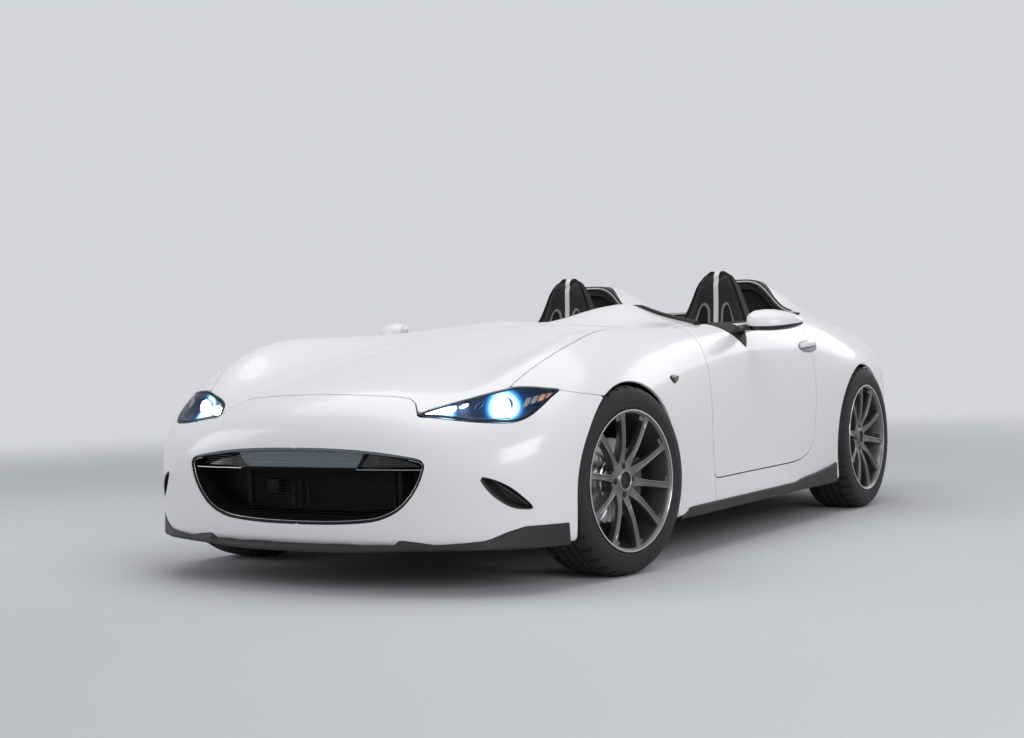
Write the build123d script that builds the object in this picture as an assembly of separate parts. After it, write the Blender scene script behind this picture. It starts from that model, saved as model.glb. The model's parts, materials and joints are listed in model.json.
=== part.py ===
"""Open two-seat roadster, built as an assembly of separate named pieces.

Millimetres. X points to the car's left, Y to its tail and Z up. The pieces are built with
Y measured from the front axle, and write() moves them into the part's own frame, whose
origin is on the ground under the middle of the car.
"""
import math
import os

from build123d import *

# Overall layout
WHEELBASE = 2310
FRONT_OVERHANG = 750        # front axle to the splitter's lip
REAR_OVERHANG = 860         # rear axle to the tail
HALF_WIDTH = 868            # the body's widest half width
LIP_REACH = 34              # the splitter stands this far ahead of the nose
LIP_Z = 131                 # underside of the splitter
LIP_THICK = 20

# Panels
PANEL = 40                  # depth of the outer panels
QUARTER_PANEL = 60          # depth of the rear quarters and tail
CHASSIS_GAP = 5             # between the outer panels and the structure behind them
SHUT_GAP = 5                # between two panels that move apart
DOOR_INNER_X = 700          # the door's inner face
COCKPIT_HALF = 690          # half width of the open cockpit
COWL_REAR = 925             # rear edge of the cowl panel, from the front axle
BONNET_REAR = 655           # rear edge of the bonnet
DOOR_FRONT = 668            # front edge of the doors
DOOR_REAR = 1745            # rear edge of the doors at the waist
DOOR_BOTTOM = 266
COCKPIT_REAR = 1985         # front face of the rear bulkhead
DECK_REAR = 2580            # where the boot lid starts
SEAM_Z = 600                # height of the rear bumper's top edge
FLOOR_Z = 150               # underside of the floor
FLOOR_THICK = 35

# Wheels
TYRE_RADIUS = 314.8
TYRE_WIDTH = 215
RIM_RADIUS = 235.3
RIM_WALL = 14
WHEEL_FACE_X = 866          # outer face of the tyres
DISC_RADIUS = 140
DISC_THICK = 24
HUB_RADIUS = 75
STUB_RADIUS = 28
ARCH_RADIUS = 345
ARCH_Z = 297
WELL_RADIUS = 376           # the arch opens out behind the panel's edge
WELL_INNER_X = 478
LIP_WALL = 11               # thickness of the arches' edges
REAR_WELL_INNER_X = 600
KINGPIN_X = 690
STEER_REST = -8.5           # degrees, the front wheels stand turned to the right
RUNNING_GAP = 3

# Tail
LID_FRONT_HALF = 575        # half widths of the boot lid at its hinge and at the tail
LID_REAR_HALF = 515
LID_GAP = 10                # beside the boot lid's front corners
TAIL_LAMP = (190, 84)       # width and height of the slot-shaped tail lamps
TAIL_LAMP_AT = (592, 655)
PLATE_BAY_HALF = 280
PLATE_BAY_Z = (395, 540)
PLATE_BAY_DEPTH = 14
PLATE_HOLES = (-130, 130)
PLATE_HOLE = 3.5            # radius of the number plate's two holes
PLATE_Z = 468
PIPES_X = (-430, -330)      # the two tail pipes
PIPE_RADIUS = 38
PIPE_Z = 262

# Cabin
SEAT_X = 370
SEAT_HALF = 235
SEAT_TOP = 1073
HELM_X = 365
HELM_Y = 1190
HELM_Z = 690
HELM_RADIUS = 180
HELM_RAKE = 22              # degrees, the column's slope
HELM_RATIO = 14             # turns of the steering wheel for one of the road wheels

NOSE = -(FRONT_OVERHANG - LIP_REACH)
TAIL = WHEELBASE + REAR_OVERHANG
REAR = WHEELBASE
FRAME_Y = -(TAIL - FRONT_OVERHANG) / 2
BIG = 4000

# The hull's cross sections. Columns: the station's datum, its offset along Y, then
# height and inset from HALF_WIDTH of the sill, the waist and the crest, and the heights
# of the valley and of the centre line.
STATION = {"nose": NOSE, "front": 0, "rear": REAR, "tail": TAIL}
VALLEY_X = 460
SECTIONS = (
    ("nose", -44, 152, 108, 300, 68, 380, 150, 470, 575),
    ("nose", 116, 152, 78, 330, 53, 440, 125, 545, 628),
    ("nose", 266, 153, 43, 390, 33, 575, 140, 615, 668),
    ("front", -250, 158, 21, 470, 8, 735, 140, 682, 706),
    ("front", 0, 168, 12, 520, 2, 822, 118, 737, 748),
    ("front", 350, 170, 15, 490, 12, 836, 82, 785, 797),
    ("front", 700, 170, 18, 470, 27, 838, 58, 828, 848),
    ("front", 1250, 172, 20, 460, 28, 842, 54, 868, 888),
    ("rear", -510, 174, 18, 490, 14, 872, 66, 889, 897),
    ("rear", 0, 182, 14, 520, 2, 862, 118, 890, 900),
    ("rear", 340, 190, 50, 550, 58, 800, 182, 862, 885),
    ("rear", 640, 200, 90, 550, 120, 745, 255, 830, 862),
    ("tail", 40, 215, 110, 550, 175, 705, 310, 795, 828),
)
SHOULDER = 60               # depth of the rounding between the body's side and its top
SIDE_POWER = 2.2            # how late the side turns in above its waist


def box(x0, x1, y0, y1, z0, z1):
    """Box between two corners."""
    size = (x1 - x0, y1 - y0, z1 - z0)
    middle = ((x0 + x1) / 2, (y0 + y1) / 2, (z0 + z1) / 2)
    return Pos(*middle) * Box(*size)


def rod(x0, x1, y, z, radius):
    """Cylinder along X."""
    return Pos((x0 + x1) / 2, y, z) * Rot(0, 90, 0) * Cylinder(radius, x1 - x0)


def bar(start, end, radius):
    """Round bar between two points."""
    line = Line(start, end)
    plane = Plane(origin=start, z_dir=line % 0)
    return extrude(plane * Circle(radius), line.length)


def plan(points, z0=0, z1=1500):
    """Prism over an outline of (x, y) points."""
    face = make_face(Polyline(*points, close=True))
    return Pos(0, 0, z0) * extrude(face, z1 - z0)


def side(points, x0, x1):
    """Prism across the car over an outline of (y, z) points."""
    face = make_face(Polyline(*[(x0, y, z) for y, z in points], close=True))
    return extrude(face, x1 - x0, dir=(1, 0, 0))


def front(points, y0, y1):
    """Prism along the car over an outline of (x, z) points."""
    face = make_face(Polyline(*[(x, y0, z) for x, z in points], close=True))
    return extrude(face, y1 - y0, dir=(0, 1, 0))


def mirrored(shape):
    """The same shape on the car's other side."""
    return mirror(shape, about=Plane.YZ)


def both(shape):
    """The shape and its mirror image."""
    return shape + mirrored(shape)


def main_solid(shape):
    """The largest solid of a shape, without slivers."""
    return max(shape.solids(), key=lambda solid: solid.volume)


def section(row, inset):
    """One cross section of the hull, moved inwards by inset."""
    datum, offset_y, z_sill, in_sill, z_waist, in_waist, z_crest, in_crest, z_valley, z_top = row
    y = STATION[datum] + offset_y
    x_sill = HALF_WIDTH - in_sill - inset
    x_waist = HALF_WIDTH - in_waist - inset
    x_crest = HALF_WIDTH - in_crest - inset
    low = z_sill - 3 * inset
    waist = z_waist - inset / 2
    crest = z_crest - inset
    drop = x_waist - x_crest
    rise = crest - waist
    upper = [(x_waist - drop * f**SIDE_POWER, waist + rise * f) for f in (0.35, 0.62, 0.82)]
    half = [
        (x_sill, low),
        (x_waist + 1, (low + waist) / 2),
        (x_waist, waist),
        *upper,
        (x_crest - SHOULDER / 3, crest - SHOULDER / 3),
        (x_crest - SHOULDER, crest - SHOULDER / 6),
        (VALLEY_X, z_valley - inset),
        (VALLEY_X / 2, z_top - inset - 3),
        (0, z_top - inset),
    ]
    points = half + [(-x, z) for x, z in reversed(half[:-1])]
    return make_face(Polyline(*[(x, y, z) for x, z in points], close=True))


def plan_outline():
    """The body's outline from above."""
    x = HALF_WIDTH
    edges = [
        ThreePointArc((-600, NOSE + 95), (0, NOSE), (600, NOSE + 95)),
        ThreePointArc((600, NOSE + 95), (775, NOSE + 222), (x, NOSE + 430)),
        Line((x, NOSE + 430), (x, TAIL - 395)),
        ThreePointArc((x, TAIL - 395), (760, TAIL - 205), (600, TAIL - 95)),
        ThreePointArc((600, TAIL - 95), (0, TAIL), (-600, TAIL - 95)),
        ThreePointArc((-600, TAIL - 95), (-760, TAIL - 205), (-x, TAIL - 395)),
        Line((-x, TAIL - 395), (-x, NOSE + 430)),
        ThreePointArc((-x, NOSE + 430), (-775, NOSE + 222), (-600, NOSE + 95)),
    ]
    return Face(Wire(edges))


def side_outline():
    """The body's outline from the side, open upwards."""
    edges = [
        Line((0, NOSE + 48, -300), (0, NOSE + 48, 120)),
        ThreePointArc((0, NOSE + 48, 120), (0, NOSE + 1, 330), (0, NOSE + 14, 520)),
        ThreePointArc((0, NOSE + 14, 520), (0, NOSE + 62, 600), (0, NOSE + 160, 678)),
        Line((0, NOSE + 160, 678), (0, NOSE + 160, 1200)),
        Line((0, NOSE + 160, 1200), (0, TAIL, 1200)),
        Line((0, TAIL, 1200), (0, TAIL, 780)),
        ThreePointArc((0, TAIL, 780), (0, TAIL - 12, 420), (0, TAIL - 115, 170)),
        Line((0, TAIL - 115, 170), (0, TAIL - 115, -300)),
        Line((0, TAIL - 115, -300), (0, NOSE + 48, -300)),
    ]
    return Face(Wire(edges))


def hull(inset=0):
    """The body's outer form as one block, every face moved inwards by inset."""
    block = loft([section(row, inset) for row in SECTIONS], ruled=True)
    outline = offset(plan_outline(), amount=-inset) if inset else plan_outline()
    profile = offset(side_outline(), amount=-inset) if inset else side_outline()
    block &= Pos(0, 0, -500) * extrude(outline, 2000)
    return block & extrude(profile, BIG, both=True, dir=(1, 0, 0))


def bonnet_outline(gap=0):
    """The bonnet's outline from above, grown by gap."""
    right = [(300, -541), (405, -583), (437, -505), (535, -404), (606, -388)]
    right += [(668, -240), (690, -80), (684, 150), (655, BONNET_REAR - 60)]
    shift = NOSE + 716
    right = [(x, y + (shift if y < -300 else 0)) for x, y in right]
    left = [(-x, y) for x, y in right]
    edges = [
        Polyline(*right),
        ThreePointArc(right[-1], (0, BONNET_REAR), left[-1]),
        Polyline(*left[::-1]),
        ThreePointArc(left[0], (0, right[0][1] - 31), right[0]),
    ]
    face = Face(Wire([e for edge in edges for e in edge.edges()]))
    if gap:
        face = offset(face, amount=gap)
    return Pos(0, 0, 300) * extrude(face, 900)


# The left headlamp's outline from the front, from its inner tip over the top
LAMP = ((409, 556), (434, 580), (472, 594), (535, 612), (605, 631), (640, 639), (690, 637), (790, 627),
        (748, 588), (712, 553), (668, 537), (562, 540), (474, 545))
MOUTH_TOP = 462
MOUTH_FLOOR = 213


def lamp_block(gap=0):
    """Prism of the left headlamp's outline from the front."""
    face = make_face(Polyline(*[(x, 0, z) for x, z in LAMP], close=True))
    if gap:
        face = offset(face, amount=gap)
    return Pos(0, NOSE - 60, 0) * extrude(face, 480, dir=(0, 1, 0))


def mouth_block(grow=0, depth=200):
    """Prism of the grille mouth, grown by grow."""
    edges = [
        ThreePointArc((-455, 0, 432), (0, 0, MOUTH_TOP), (455, 0, 432)),
        ThreePointArc((455, 0, 432), (474, 0, 415), (462, 0, 370)),
        Line((462, 0, 370), (408, 0, 287)),
        ThreePointArc((408, 0, 287), (345, 0, 240), (250, 0, 222)),
        ThreePointArc((250, 0, 222), (0, 0, MOUTH_FLOOR), (-250, 0, 222)),
        ThreePointArc((-250, 0, 222), (-345, 0, 240), (-408, 0, 287)),
        Line((-408, 0, 287), (-462, 0, 370)),
        ThreePointArc((-462, 0, 370), (-474, 0, 415), (-455, 0, 432)),
    ]
    face = Face(Wire(edges))
    if grow:
        face = offset(face, amount=grow)
    return Pos(0, NOSE - 60, 0) * extrude(face, depth + 60, dir=(0, 1, 0))


def duct_block():
    """Prism of the left bumper duct, a lens shape from the front."""
    edges = [
        ThreePointArc((624, 0, 366), (706, 0, 344), (775, 0, 268)),
        ThreePointArc((775, 0, 268), (696, 0, 282), (624, 0, 366)),
    ]
    return Pos(0, NOSE - 60, 0) * extrude(Face(Wire(edges)), 330, dir=(0, 1, 0))


def arch_cutter():
    """The four arch openings, wider behind the panels' edges."""
    front_arch = rod(HALF_WIDTH - 250, HALF_WIDTH + 60, -5, ARCH_Z, ARCH_RADIUS)
    rear_arch = rod(HALF_WIDTH - 250, HALF_WIDTH + 60, REAR - 12, ARCH_Z, ARCH_RADIUS + 4)
    low = box(HALF_WIDTH - 250, HALF_WIDTH + 60, -ARCH_RADIUS - 5, ARCH_RADIUS - 5, 0, ARCH_Z)
    front_arch += low
    return both(front_arch + rear_arch) + (wells() & hull(LIP_WALL))


def wells():
    """The space that the wheels need behind the panels' edges."""
    outer = HALF_WIDTH
    front_well = rod(WELL_INNER_X, outer, 0, TYRE_RADIUS, WELL_RADIUS)
    rear_well = rod(REAR_WELL_INNER_X, outer, REAR, TYRE_RADIUS, WELL_RADIUS - 22)
    return both(front_well + rear_well)


def door_outline(gap=0):
    """The door's outline from the side, grown by gap."""
    corner = REAR - 620
    edges = [
        Line((0, DOOR_FRONT, 1000), (0, DOOR_FRONT, DOOR_BOTTOM + 60)),
        ThreePointArc((0, DOOR_FRONT, DOOR_BOTTOM + 60), (0, DOOR_FRONT + 16, DOOR_BOTTOM + 18),
                      (0, DOOR_FRONT + 60, DOOR_BOTTOM)),
        Line((0, DOOR_FRONT + 60, DOOR_BOTTOM), (0, corner - 190, DOOR_BOTTOM)),
        ThreePointArc((0, corner - 190, DOOR_BOTTOM), (0, corner - 70, DOOR_BOTTOM + 32),
                      (0, corner, DOOR_BOTTOM + 104)),
        Line((0, corner, DOOR_BOTTOM + 104), (0, DOOR_REAR, 560)),
        Line((0, DOOR_REAR, 560), (0, DOOR_REAR + 20, 1000)),
        Line((0, DOOR_REAR + 20, 1000), (0, DOOR_FRONT, 1000)),
    ]
    face = Face(Wire(edges))
    if gap:
        face = offset(face, amount=gap)
    return extrude(face, 1000, dir=(1, 0, 0))


def door_left(body):
    """Door: the whole wall's thickness, with a slanted rear jamb and a handle."""
    block = body & door_outline() & box(DOOR_INNER_X, BIG, -BIG, BIG, 0, BIG)
    jamb = [(DOOR_INNER_X - 5, DOOR_REAR - 30), (HALF_WIDTH - 60, DOOR_REAR + 5)]
    jamb += [(HALF_WIDTH - 60, DOOR_REAR + 60), (DOOR_INNER_X - 5, DOOR_REAR + 60)]
    pocket = box(DOOR_INNER_X - 5, DOOR_INNER_X + 45, DOOR_FRONT + 150, DOOR_REAR - 170, 420, 640)
    return main_solid(block - plan(jamb) - pocket)


def wing_left(shell, arches):
    """Front wing: over the wheel and back to the door."""
    zone = [(-500, 634), (-500, 1000), (DOOR_FRONT - SHUT_GAP, 1000)]
    zone += [(DOOR_FRONT - SHUT_GAP, 100), (0, 100), (0, 596), (-150, 602)]
    piece = shell & side(zone, 1, 1000)
    piece -= bonnet_outline(SHUT_GAP)
    piece -= box(0, COCKPIT_HALF - 25, -BIG, BIG, 0, BIG)
    piece -= lamp_block(SHUT_GAP)
    return main_solid(piece - arches)


def front_bumper(shell, arches):
    """Nose panel: from the bonnet's edge down to the splitter and round to the arches."""
    zone = [(NOSE - 100, 100), (NOSE - 100, 700), (-440, 700), (-440, 624)]
    zone += [(-150, 598), (0, 592), (0, 100)]
    piece = shell & side(zone, -1000, 1000)
    piece -= bonnet_outline(SHUT_GAP)
    piece -= both(lamp_block(SHUT_GAP))
    piece -= mouth_block()
    piece -= both(duct_block())
    return main_solid(piece - arches)


def quarter_left(shell, arches):
    """Rear quarter with the sill under the door."""
    zone = [(DOOR_FRONT - SHUT_GAP + 3, 100), (DOOR_FRONT - SHUT_GAP + 3, 1000), (TAIL + 50, 1000)]
    zone += [(TAIL + 50, SEAM_Z + SHUT_GAP), (TAIL - 230, SEAM_Z + SHUT_GAP)]
    zone += [(REAR + 344, SEAM_Z - 40), (REAR + 331, 100)]
    piece = shell & side(zone, 1, 1000)
    piece -= door_outline(SHUT_GAP)
    lid = LID_FRONT_HALF + LID_GAP
    piece -= plan([(-10, -800), (COCKPIT_HALF + 6, -800), (COCKPIT_HALF + 6, COCKPIT_REAR),
                   (645, COCKPIT_REAR + 120), (lid, DECK_REAR), (lid - 3, DECK_REAR + 110),
                   (LID_REAR_HALF + SHUT_GAP, TAIL + 50), (-10, TAIL + 50)])
    piece -= tail_lamp_block(SHUT_GAP)
    return main_solid(piece - arches)


def tail_lamp_block(gap=0):
    """Prism of the left tail lamp's outline from behind."""
    x, z = TAIL_LAMP_AT
    slot = SlotOverall(TAIL_LAMP[0] + 2 * gap, TAIL_LAMP[1] + 2 * gap)
    face = Pos(x, TAIL - 330, z) * Rot(90, 0, 0) * slot
    return extrude(face, 400, dir=(0, 1, 0))


def rear_bumper(shell, arches):
    """Tail panel below the boot lid and the lamps, with a bay for the plate."""
    zone = [(REAR + 336, 100), (REAR + 350, SEAM_Z - 45), (TAIL - 230, SEAM_Z)]
    zone += [(TAIL + 50, SEAM_Z), (TAIL + 50, 100)]
    piece = shell & side(zone, -1000, 1000)
    piece -= box(-PLATE_BAY_HALF, PLATE_BAY_HALF, TAIL - PLATE_BAY_DEPTH, TAIL + 100, *PLATE_BAY_Z)
    piece -= box(PIPES_X[0] - 50, PIPES_X[1] + 50, TAIL - 400, TAIL + 100, 100, PIPE_Z + 40)
    for x in PLATE_HOLES:
        piece -= Pos(x, TAIL - 40, PLATE_Z) * Rot(90, 0, 0) * Cylinder(PLATE_HOLE, 80)
    return main_solid(piece - arches)


def cowl_panel(shell):
    """Scuttle between the bonnet and the cockpit, with the driver's hump."""
    x = COCKPIT_HALF - 30
    zone = plan([(-x, BONNET_REAR - 120), (x, BONNET_REAR - 120), (x, COWL_REAR - 40),
                 (VALLEY_X, COWL_REAR - 5), (-VALLEY_X, COWL_REAR - 5), (-x, COWL_REAR - 40)], 600)
    piece = shell & zone
    piece -= bonnet_outline(SHUT_GAP)
    hump = Pos(HELM_X, COWL_REAR - 130, 640) * Rot(96, 0, 0) * Cylinder(262, 500)
    hollow = Pos(HELM_X, COWL_REAR - 130, 640) * Rot(96, 0, 0) * Cylinder(262 - PANEL, 560)
    hump &= box(60, 660, BONNET_REAR + 40, COWL_REAR - 5, 790, 1000)
    return main_solid(piece + hump - hollow)


def fairing_section(y, x0, x1, top, low, inset=0):
    """One arched section of a fairing behind a seat."""
    mid = (x0 + x1) / 2
    a = (x0 + inset, y, low)
    b = (x1 - inset, y, low)
    arc = ThreePointArc(a, (mid, y, top - inset), b)
    return Face(Wire([arc, Line(b, a)]))


# The fairings' sections. Columns: offset from COCKPIT_REAR, inner and outer x, top height
FAIRING = ((42, 150, 622, 1030), (230, 165, 612, 1008), (420, 195, 590, 950), (590, 235, 560, 888))


def fairings():
    """Two humps behind the seats, open towards the front."""
    outer = loft([fairing_section(COCKPIT_REAR + y, a, b, top, 780) for y, a, b, top in FAIRING])
    hollow = loft([fairing_section(COCKPIT_REAR + y - 5, a, b, top, 800, 24)
                   for y, a, b, top in FAIRING[:2]])
    return both(outer), both(hollow)


def rear_deck(shell):
    """Deck behind the cockpit with the two fairings."""
    zone = plan([(-640, COCKPIT_REAR + 40), (640, COCKPIT_REAR + 40), (640, COCKPIT_REAR + 120),
                 (580, DECK_REAR - SHUT_GAP), (-580, DECK_REAR - SHUT_GAP),
                 (-640, COCKPIT_REAR + 120)], 500)
    outer, hollow = fairings()
    outer &= box(-BIG, BIG, 0, DECK_REAR - SHUT_GAP, 0, BIG)
    return main_solid((shell & zone) + outer - hollow)


def boot_lid(shell):
    """Boot lid: from the deck down over the tail's edge."""
    zone = plan([(-LID_FRONT_HALF, DECK_REAR), (LID_FRONT_HALF, DECK_REAR),
                 (LID_REAR_HALF, TAIL + 60), (-LID_REAR_HALF, TAIL + 60)])
    zone &= box(-1000, 1000, 0, BIG, SEAM_Z + SHUT_GAP, 1000)
    piece = shell & zone
    piece -= both(tail_lamp_block(SHUT_GAP))
    return main_solid(piece)


def floor_pan():
    """Flat floor with the centre tunnel and the sills."""
    start = BONNET_REAR - 60
    pan = box(-775, 775, 380, COCKPIT_REAR + 20, FLOOR_Z, FLOOR_Z + FLOOR_THICK)
    pan += box(-120, 120, start, COCKPIT_REAR, FLOOR_Z, 400)
    pan += both(box(640, 775, DOOR_FRONT - 10, COCKPIT_REAR, FLOOR_Z, DOOR_BOTTOM - 14))
    pan += box(-440, 440, NOSE + 196, 381, FLOOR_Z, FLOOR_Z + 15)
    pan += box(-520, 520, COCKPIT_REAR, TAIL - 250, FLOOR_Z + 40, FLOOR_Z + 55)
    pan -= box(-85, 85, start - 10, COCKPIT_REAR + 40, FLOOR_Z - 5, 365)
    return main_solid(pan)


def front_chassis(core):
    """Inner wings, firewall and crossmembers round the engine bay."""
    low = FLOOR_Z + FLOOR_THICK
    block = core & box(-1000, 1000, NOSE + 190, DOOR_FRONT - 12, low, 1000)
    block -= box(-440, 440, NOSE + 230, BONNET_REAR - 60, low - 5, 1000)
    block -= box(-440, 440, NOSE + 100, BONNET_REAR - 60, 500, 1000)
    block -= wells()
    block -= both(box(430, 500, -130, 130, low, 520))
    block -= box(-330, 330, NOSE + 150, NOSE + 260, 230, 480)
    block -= both(box(600, 900, -200, 320, 560, 740) - rod(500, 900, 0, TYRE_RADIUS, WELL_RADIUS + 16))
    block += box(-440, 440, NOSE + 198, NOSE + 225, low, 225)
    block -= box(-121, 121, 0, BIG, low - 5, 401)
    block -= both(lamp_block(SHUT_GAP))
    return main_solid(block)


def rear_chassis(core):
    """Rear bulkhead, inner arches and the boot's tub."""
    block = core & box(-1000, 1000, COCKPIT_REAR, TAIL - 90, FLOOR_Z + 58, 1000)
    block -= box(-500, 500, DECK_REAR + 25, TAIL - 130, 370, 1000)
    block -= box(-560, 560, COCKPIT_REAR + 40, DECK_REAR - 20, FLOOR_Z, 800)
    block -= box(-560, 560, COCKPIT_REAR - 10, DECK_REAR + 24, 800, 1000)
    block -= box(-500, 500, DECK_REAR - 30, TAIL - 130, FLOOR_Z, 340)
    block -= wells()
    block -= both(box(540, 640, REAR - 120, REAR + 120, FLOOR_Z, 520))
    block -= both(tail_lamp_block(8))
    block -= box(-480, 340, TAIL - 380, TAIL, 100, 330)
    block -= box(-650, 650, COCKPIT_REAR + 36, DECK_REAR + 24, 770, 1000)
    return main_solid(block)


def splitter():
    """Black lip under the nose, with an upright fence before each front wheel."""
    outline = offset(plan_outline(), amount=LIP_REACH)
    plate = Pos(0, 0, LIP_Z) * extrude(outline, LIP_THICK)
    plate &= box(-HALF_WIDTH, HALF_WIDTH, NOSE - 100, -385, 0, 400)
    plate -= box(-440, 440, NOSE + 190, 0, 0, 400)
    plate -= both(box(430, 780, NOSE + 190, 0, 0, 400))
    fence = side([(-470, LIP_Z), (-386, LIP_Z), (-386, 232), (-420, 205)], HALF_WIDTH - 22, HALF_WIDTH - 2)
    return main_solid(plate + both(fence))


def skirt_left():
    """Black side skirt with an upright winglet before the rear wheel."""
    y0 = ARCH_RADIUS + 30
    y1 = REAR - ARCH_RADIUS - 60
    blade = side([(y0, 146), (y1 + 15, 146), (y1 + 15, 166), (y0, 166)], HALF_WIDTH - 78, HALF_WIDTH - 2)
    fin = side([(y1 - 180, 150), (y1 + 15, 150), (y1 + 15, 235), (y1 - 40, 226)],
               HALF_WIDTH - 10, HALF_WIDTH - 1)
    return main_solid(blade + fin)


def grille_surround():
    """Dark frame inside the mouth with a cross bar."""
    ring = mouth_block(-2, 150) - mouth_block(-16, 170)
    ring &= box(-500, 500, NOSE + 12, NOSE + 130, 0, 600)
    shelf = box(-470, 470, NOSE + 40, NOSE + 90, 392, 404) & mouth_block(-6, 150)
    return main_solid(ring + shelf - box(-216, 216, NOSE, NOSE + 35, 403, 449))


def grille_bar():
    """Plain brushed bar across the top of the mouth."""
    return box(-215, 215, NOSE + 12, NOSE + 34, 404, 448)


def radiator():
    """Radiator core with its two tanks."""
    core = box(-290, 290, NOSE + 150, NOSE + 190, 236, 440)
    return core + both(box(290, 322, NOSE + 144, NOSE + 196, 230, 446))


def engine_block():
    """Engine as one plain block."""
    block = box(-170, 170, 20, 500, 250, 560)
    block += box(-125, 125, 10, 510, 560, 640)
    block += box(-95, 95, 500, BONNET_REAR - 62, 240, 360)
    return block + both(box(160, 300, 215, 265, 250, 290))


def front_suspension():
    """Front subframe with the lower and upper arms on both sides."""
    frame = box(-300, 300, -90, -30, 190, 225) + box(-300, 300, 200, 280, 190, 225)
    frame += both(box(250, 310, -90, 280, 190, 249))
    for y in (-60, 60):
        frame += both(bar((300, y, 215), (KINGPIN_X, 0, 196), 14))
        frame += both(bar((430, y, 455), (KINGPIN_X - 4, 0, 462), 11))
    frame += both(box(420, 440, -80, 80, 215, 470))
    return main_solid(frame)


def rear_suspension():
    """Rear subframe, arms and uprights with their stub axles."""
    face = WHEEL_FACE_X - TYRE_WIDTH / 2
    frame = box(-330, 330, REAR - 120, REAR - 60, 215, 265)
    frame += box(-330, 330, REAR + 60, REAR + 120, 215, 265)
    frame += both(box(290, 340, REAR - 120, REAR + 120, 215, 265))
    frame += box(-110, 110, REAR - 110, REAR + 110, 240, 400)
    for y in (-90, 90):
        frame += both(bar((320, REAR + y, 240), (face - 75, REAR + y / 3, 225), 14))
        frame += both(bar((320, REAR + y, 260), (face - 75, REAR + y / 3, 420), 11))
    frame += both(box(face - 95, face - 60, REAR - 45, REAR + 45, 195, 440))
    frame += both(rod(100, face + 20, REAR, TYRE_RADIUS, STUB_RADIUS))
    frame += both(caliper(face, REAR))
    return main_solid(frame)


def caliper(face, y):
    """Brake caliper over the disc's rear edge, joined to the upright."""
    ring = rod(face - 64, face + 24, y, TYRE_RADIUS, DISC_RADIUS + 26)
    ring -= rod(face - 70, face + 30, y, TYRE_RADIUS, DISC_RADIUS - 42)
    slot = rod(face - DISC_THICK / 2 - RUNNING_GAP, face + DISC_THICK / 2 + RUNNING_GAP, y,
               TYRE_RADIUS, DISC_RADIUS + 6)
    return (ring - slot) & side([(y, TYRE_RADIUS), (y + 300, TYRE_RADIUS - 130),
                                 (y + 300, TYRE_RADIUS + 130)], 0, 1000)


def knuckle():
    """Front knuckle for a wheel that points straight ahead, at the left kingpin."""
    face = WHEEL_FACE_X - TYRE_WIDTH / 2
    post = box(face - 92, face - 60, -42, 42, 212, 446)
    post += box(face - 90, face - 60, 0, 110, 270, 350)
    post += rod(face - 80, face + 20, 0, TYRE_RADIUS, STUB_RADIUS)
    return main_solid(post + caliper(face, 0))


def rim():
    """Wheel with ten curved spokes, its hub and the brake disc, centred on the axle."""
    half = TYRE_WIDTH / 2 - 2
    barrel = rod(-half, half, 0, 0, RIM_RADIUS) - rod(-half - 1, half + 1, 0, 0, RIM_RADIUS - RIM_WALL)
    bed = rod(-half + 14, half - 14, 0, 0, RIM_RADIUS + 1) - rod(-half, half, 0, 0, RIM_RADIUS - 9)
    barrel -= bed
    hub = rod(28, half - 22, 0, 0, HUB_RADIUS - 12)
    wheel = barrel + hub + rod(-DISC_THICK / 2, 30, 0, 0, HUB_RADIUS - 14)
    wheel += rod(-DISC_THICK / 2, DISC_THICK / 2, 0, 0, DISC_RADIUS)
    for turn in range(10):
        wheel += Rot(36 * turn, 0, 0) * spoke(half)
    wheel -= rod(-half - 1, 24, 0, 0, STUB_RADIUS + 1)
    return main_solid(wheel)


def spoke(half):
    """One spoke, flat sided and curved round the axle."""
    reach = RIM_RADIUS - RIM_WALL + 4
    arc = [(0, HUB_RADIUS - 25), (9, 120), (14, 170), (12, reach)]
    ahead = [(half - 42, y + 11, z) for y, z in arc]
    behind = [(half - 42, y - 11, z) for y, z in reversed(arc)]
    face = make_face(Polyline(*ahead, *behind, close=True))
    return extrude(face, 30, dir=(1, 0, 0))


def tyre():
    """Tyre with rounded shoulders, centred on the axle."""
    half = TYRE_WIDTH / 2
    outer = rod(-half, half, 0, 0, TYRE_RADIUS)
    outer = fillet(outer.edges().filter_by(GeomType.CIRCLE), 26)
    return outer - rod(-half - 1, half + 1, 0, 0, RIM_RADIUS + 0.5)


def front_place(side_sign, shape):
    """Move a shape from the left wheel's centre to a front wheel, turned as it stands."""
    lateral = WHEEL_FACE_X - TYRE_WIDTH / 2 - KINGPIN_X
    placed = Pos(lateral, 0, 0) * shape
    if side_sign < 0:
        placed = mirrored(placed)
    return Pos(side_sign * KINGPIN_X, 0, TYRE_RADIUS) * Rot(0, 0, STEER_REST) * placed


def rear_place(side_sign, shape):
    """Move a shape from the left wheel's centre to a rear wheel."""
    placed = Pos(WHEEL_FACE_X - TYRE_WIDTH / 2, REAR, TYRE_RADIUS) * shape
    return placed if side_sign > 0 else mirrored(placed)


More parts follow.
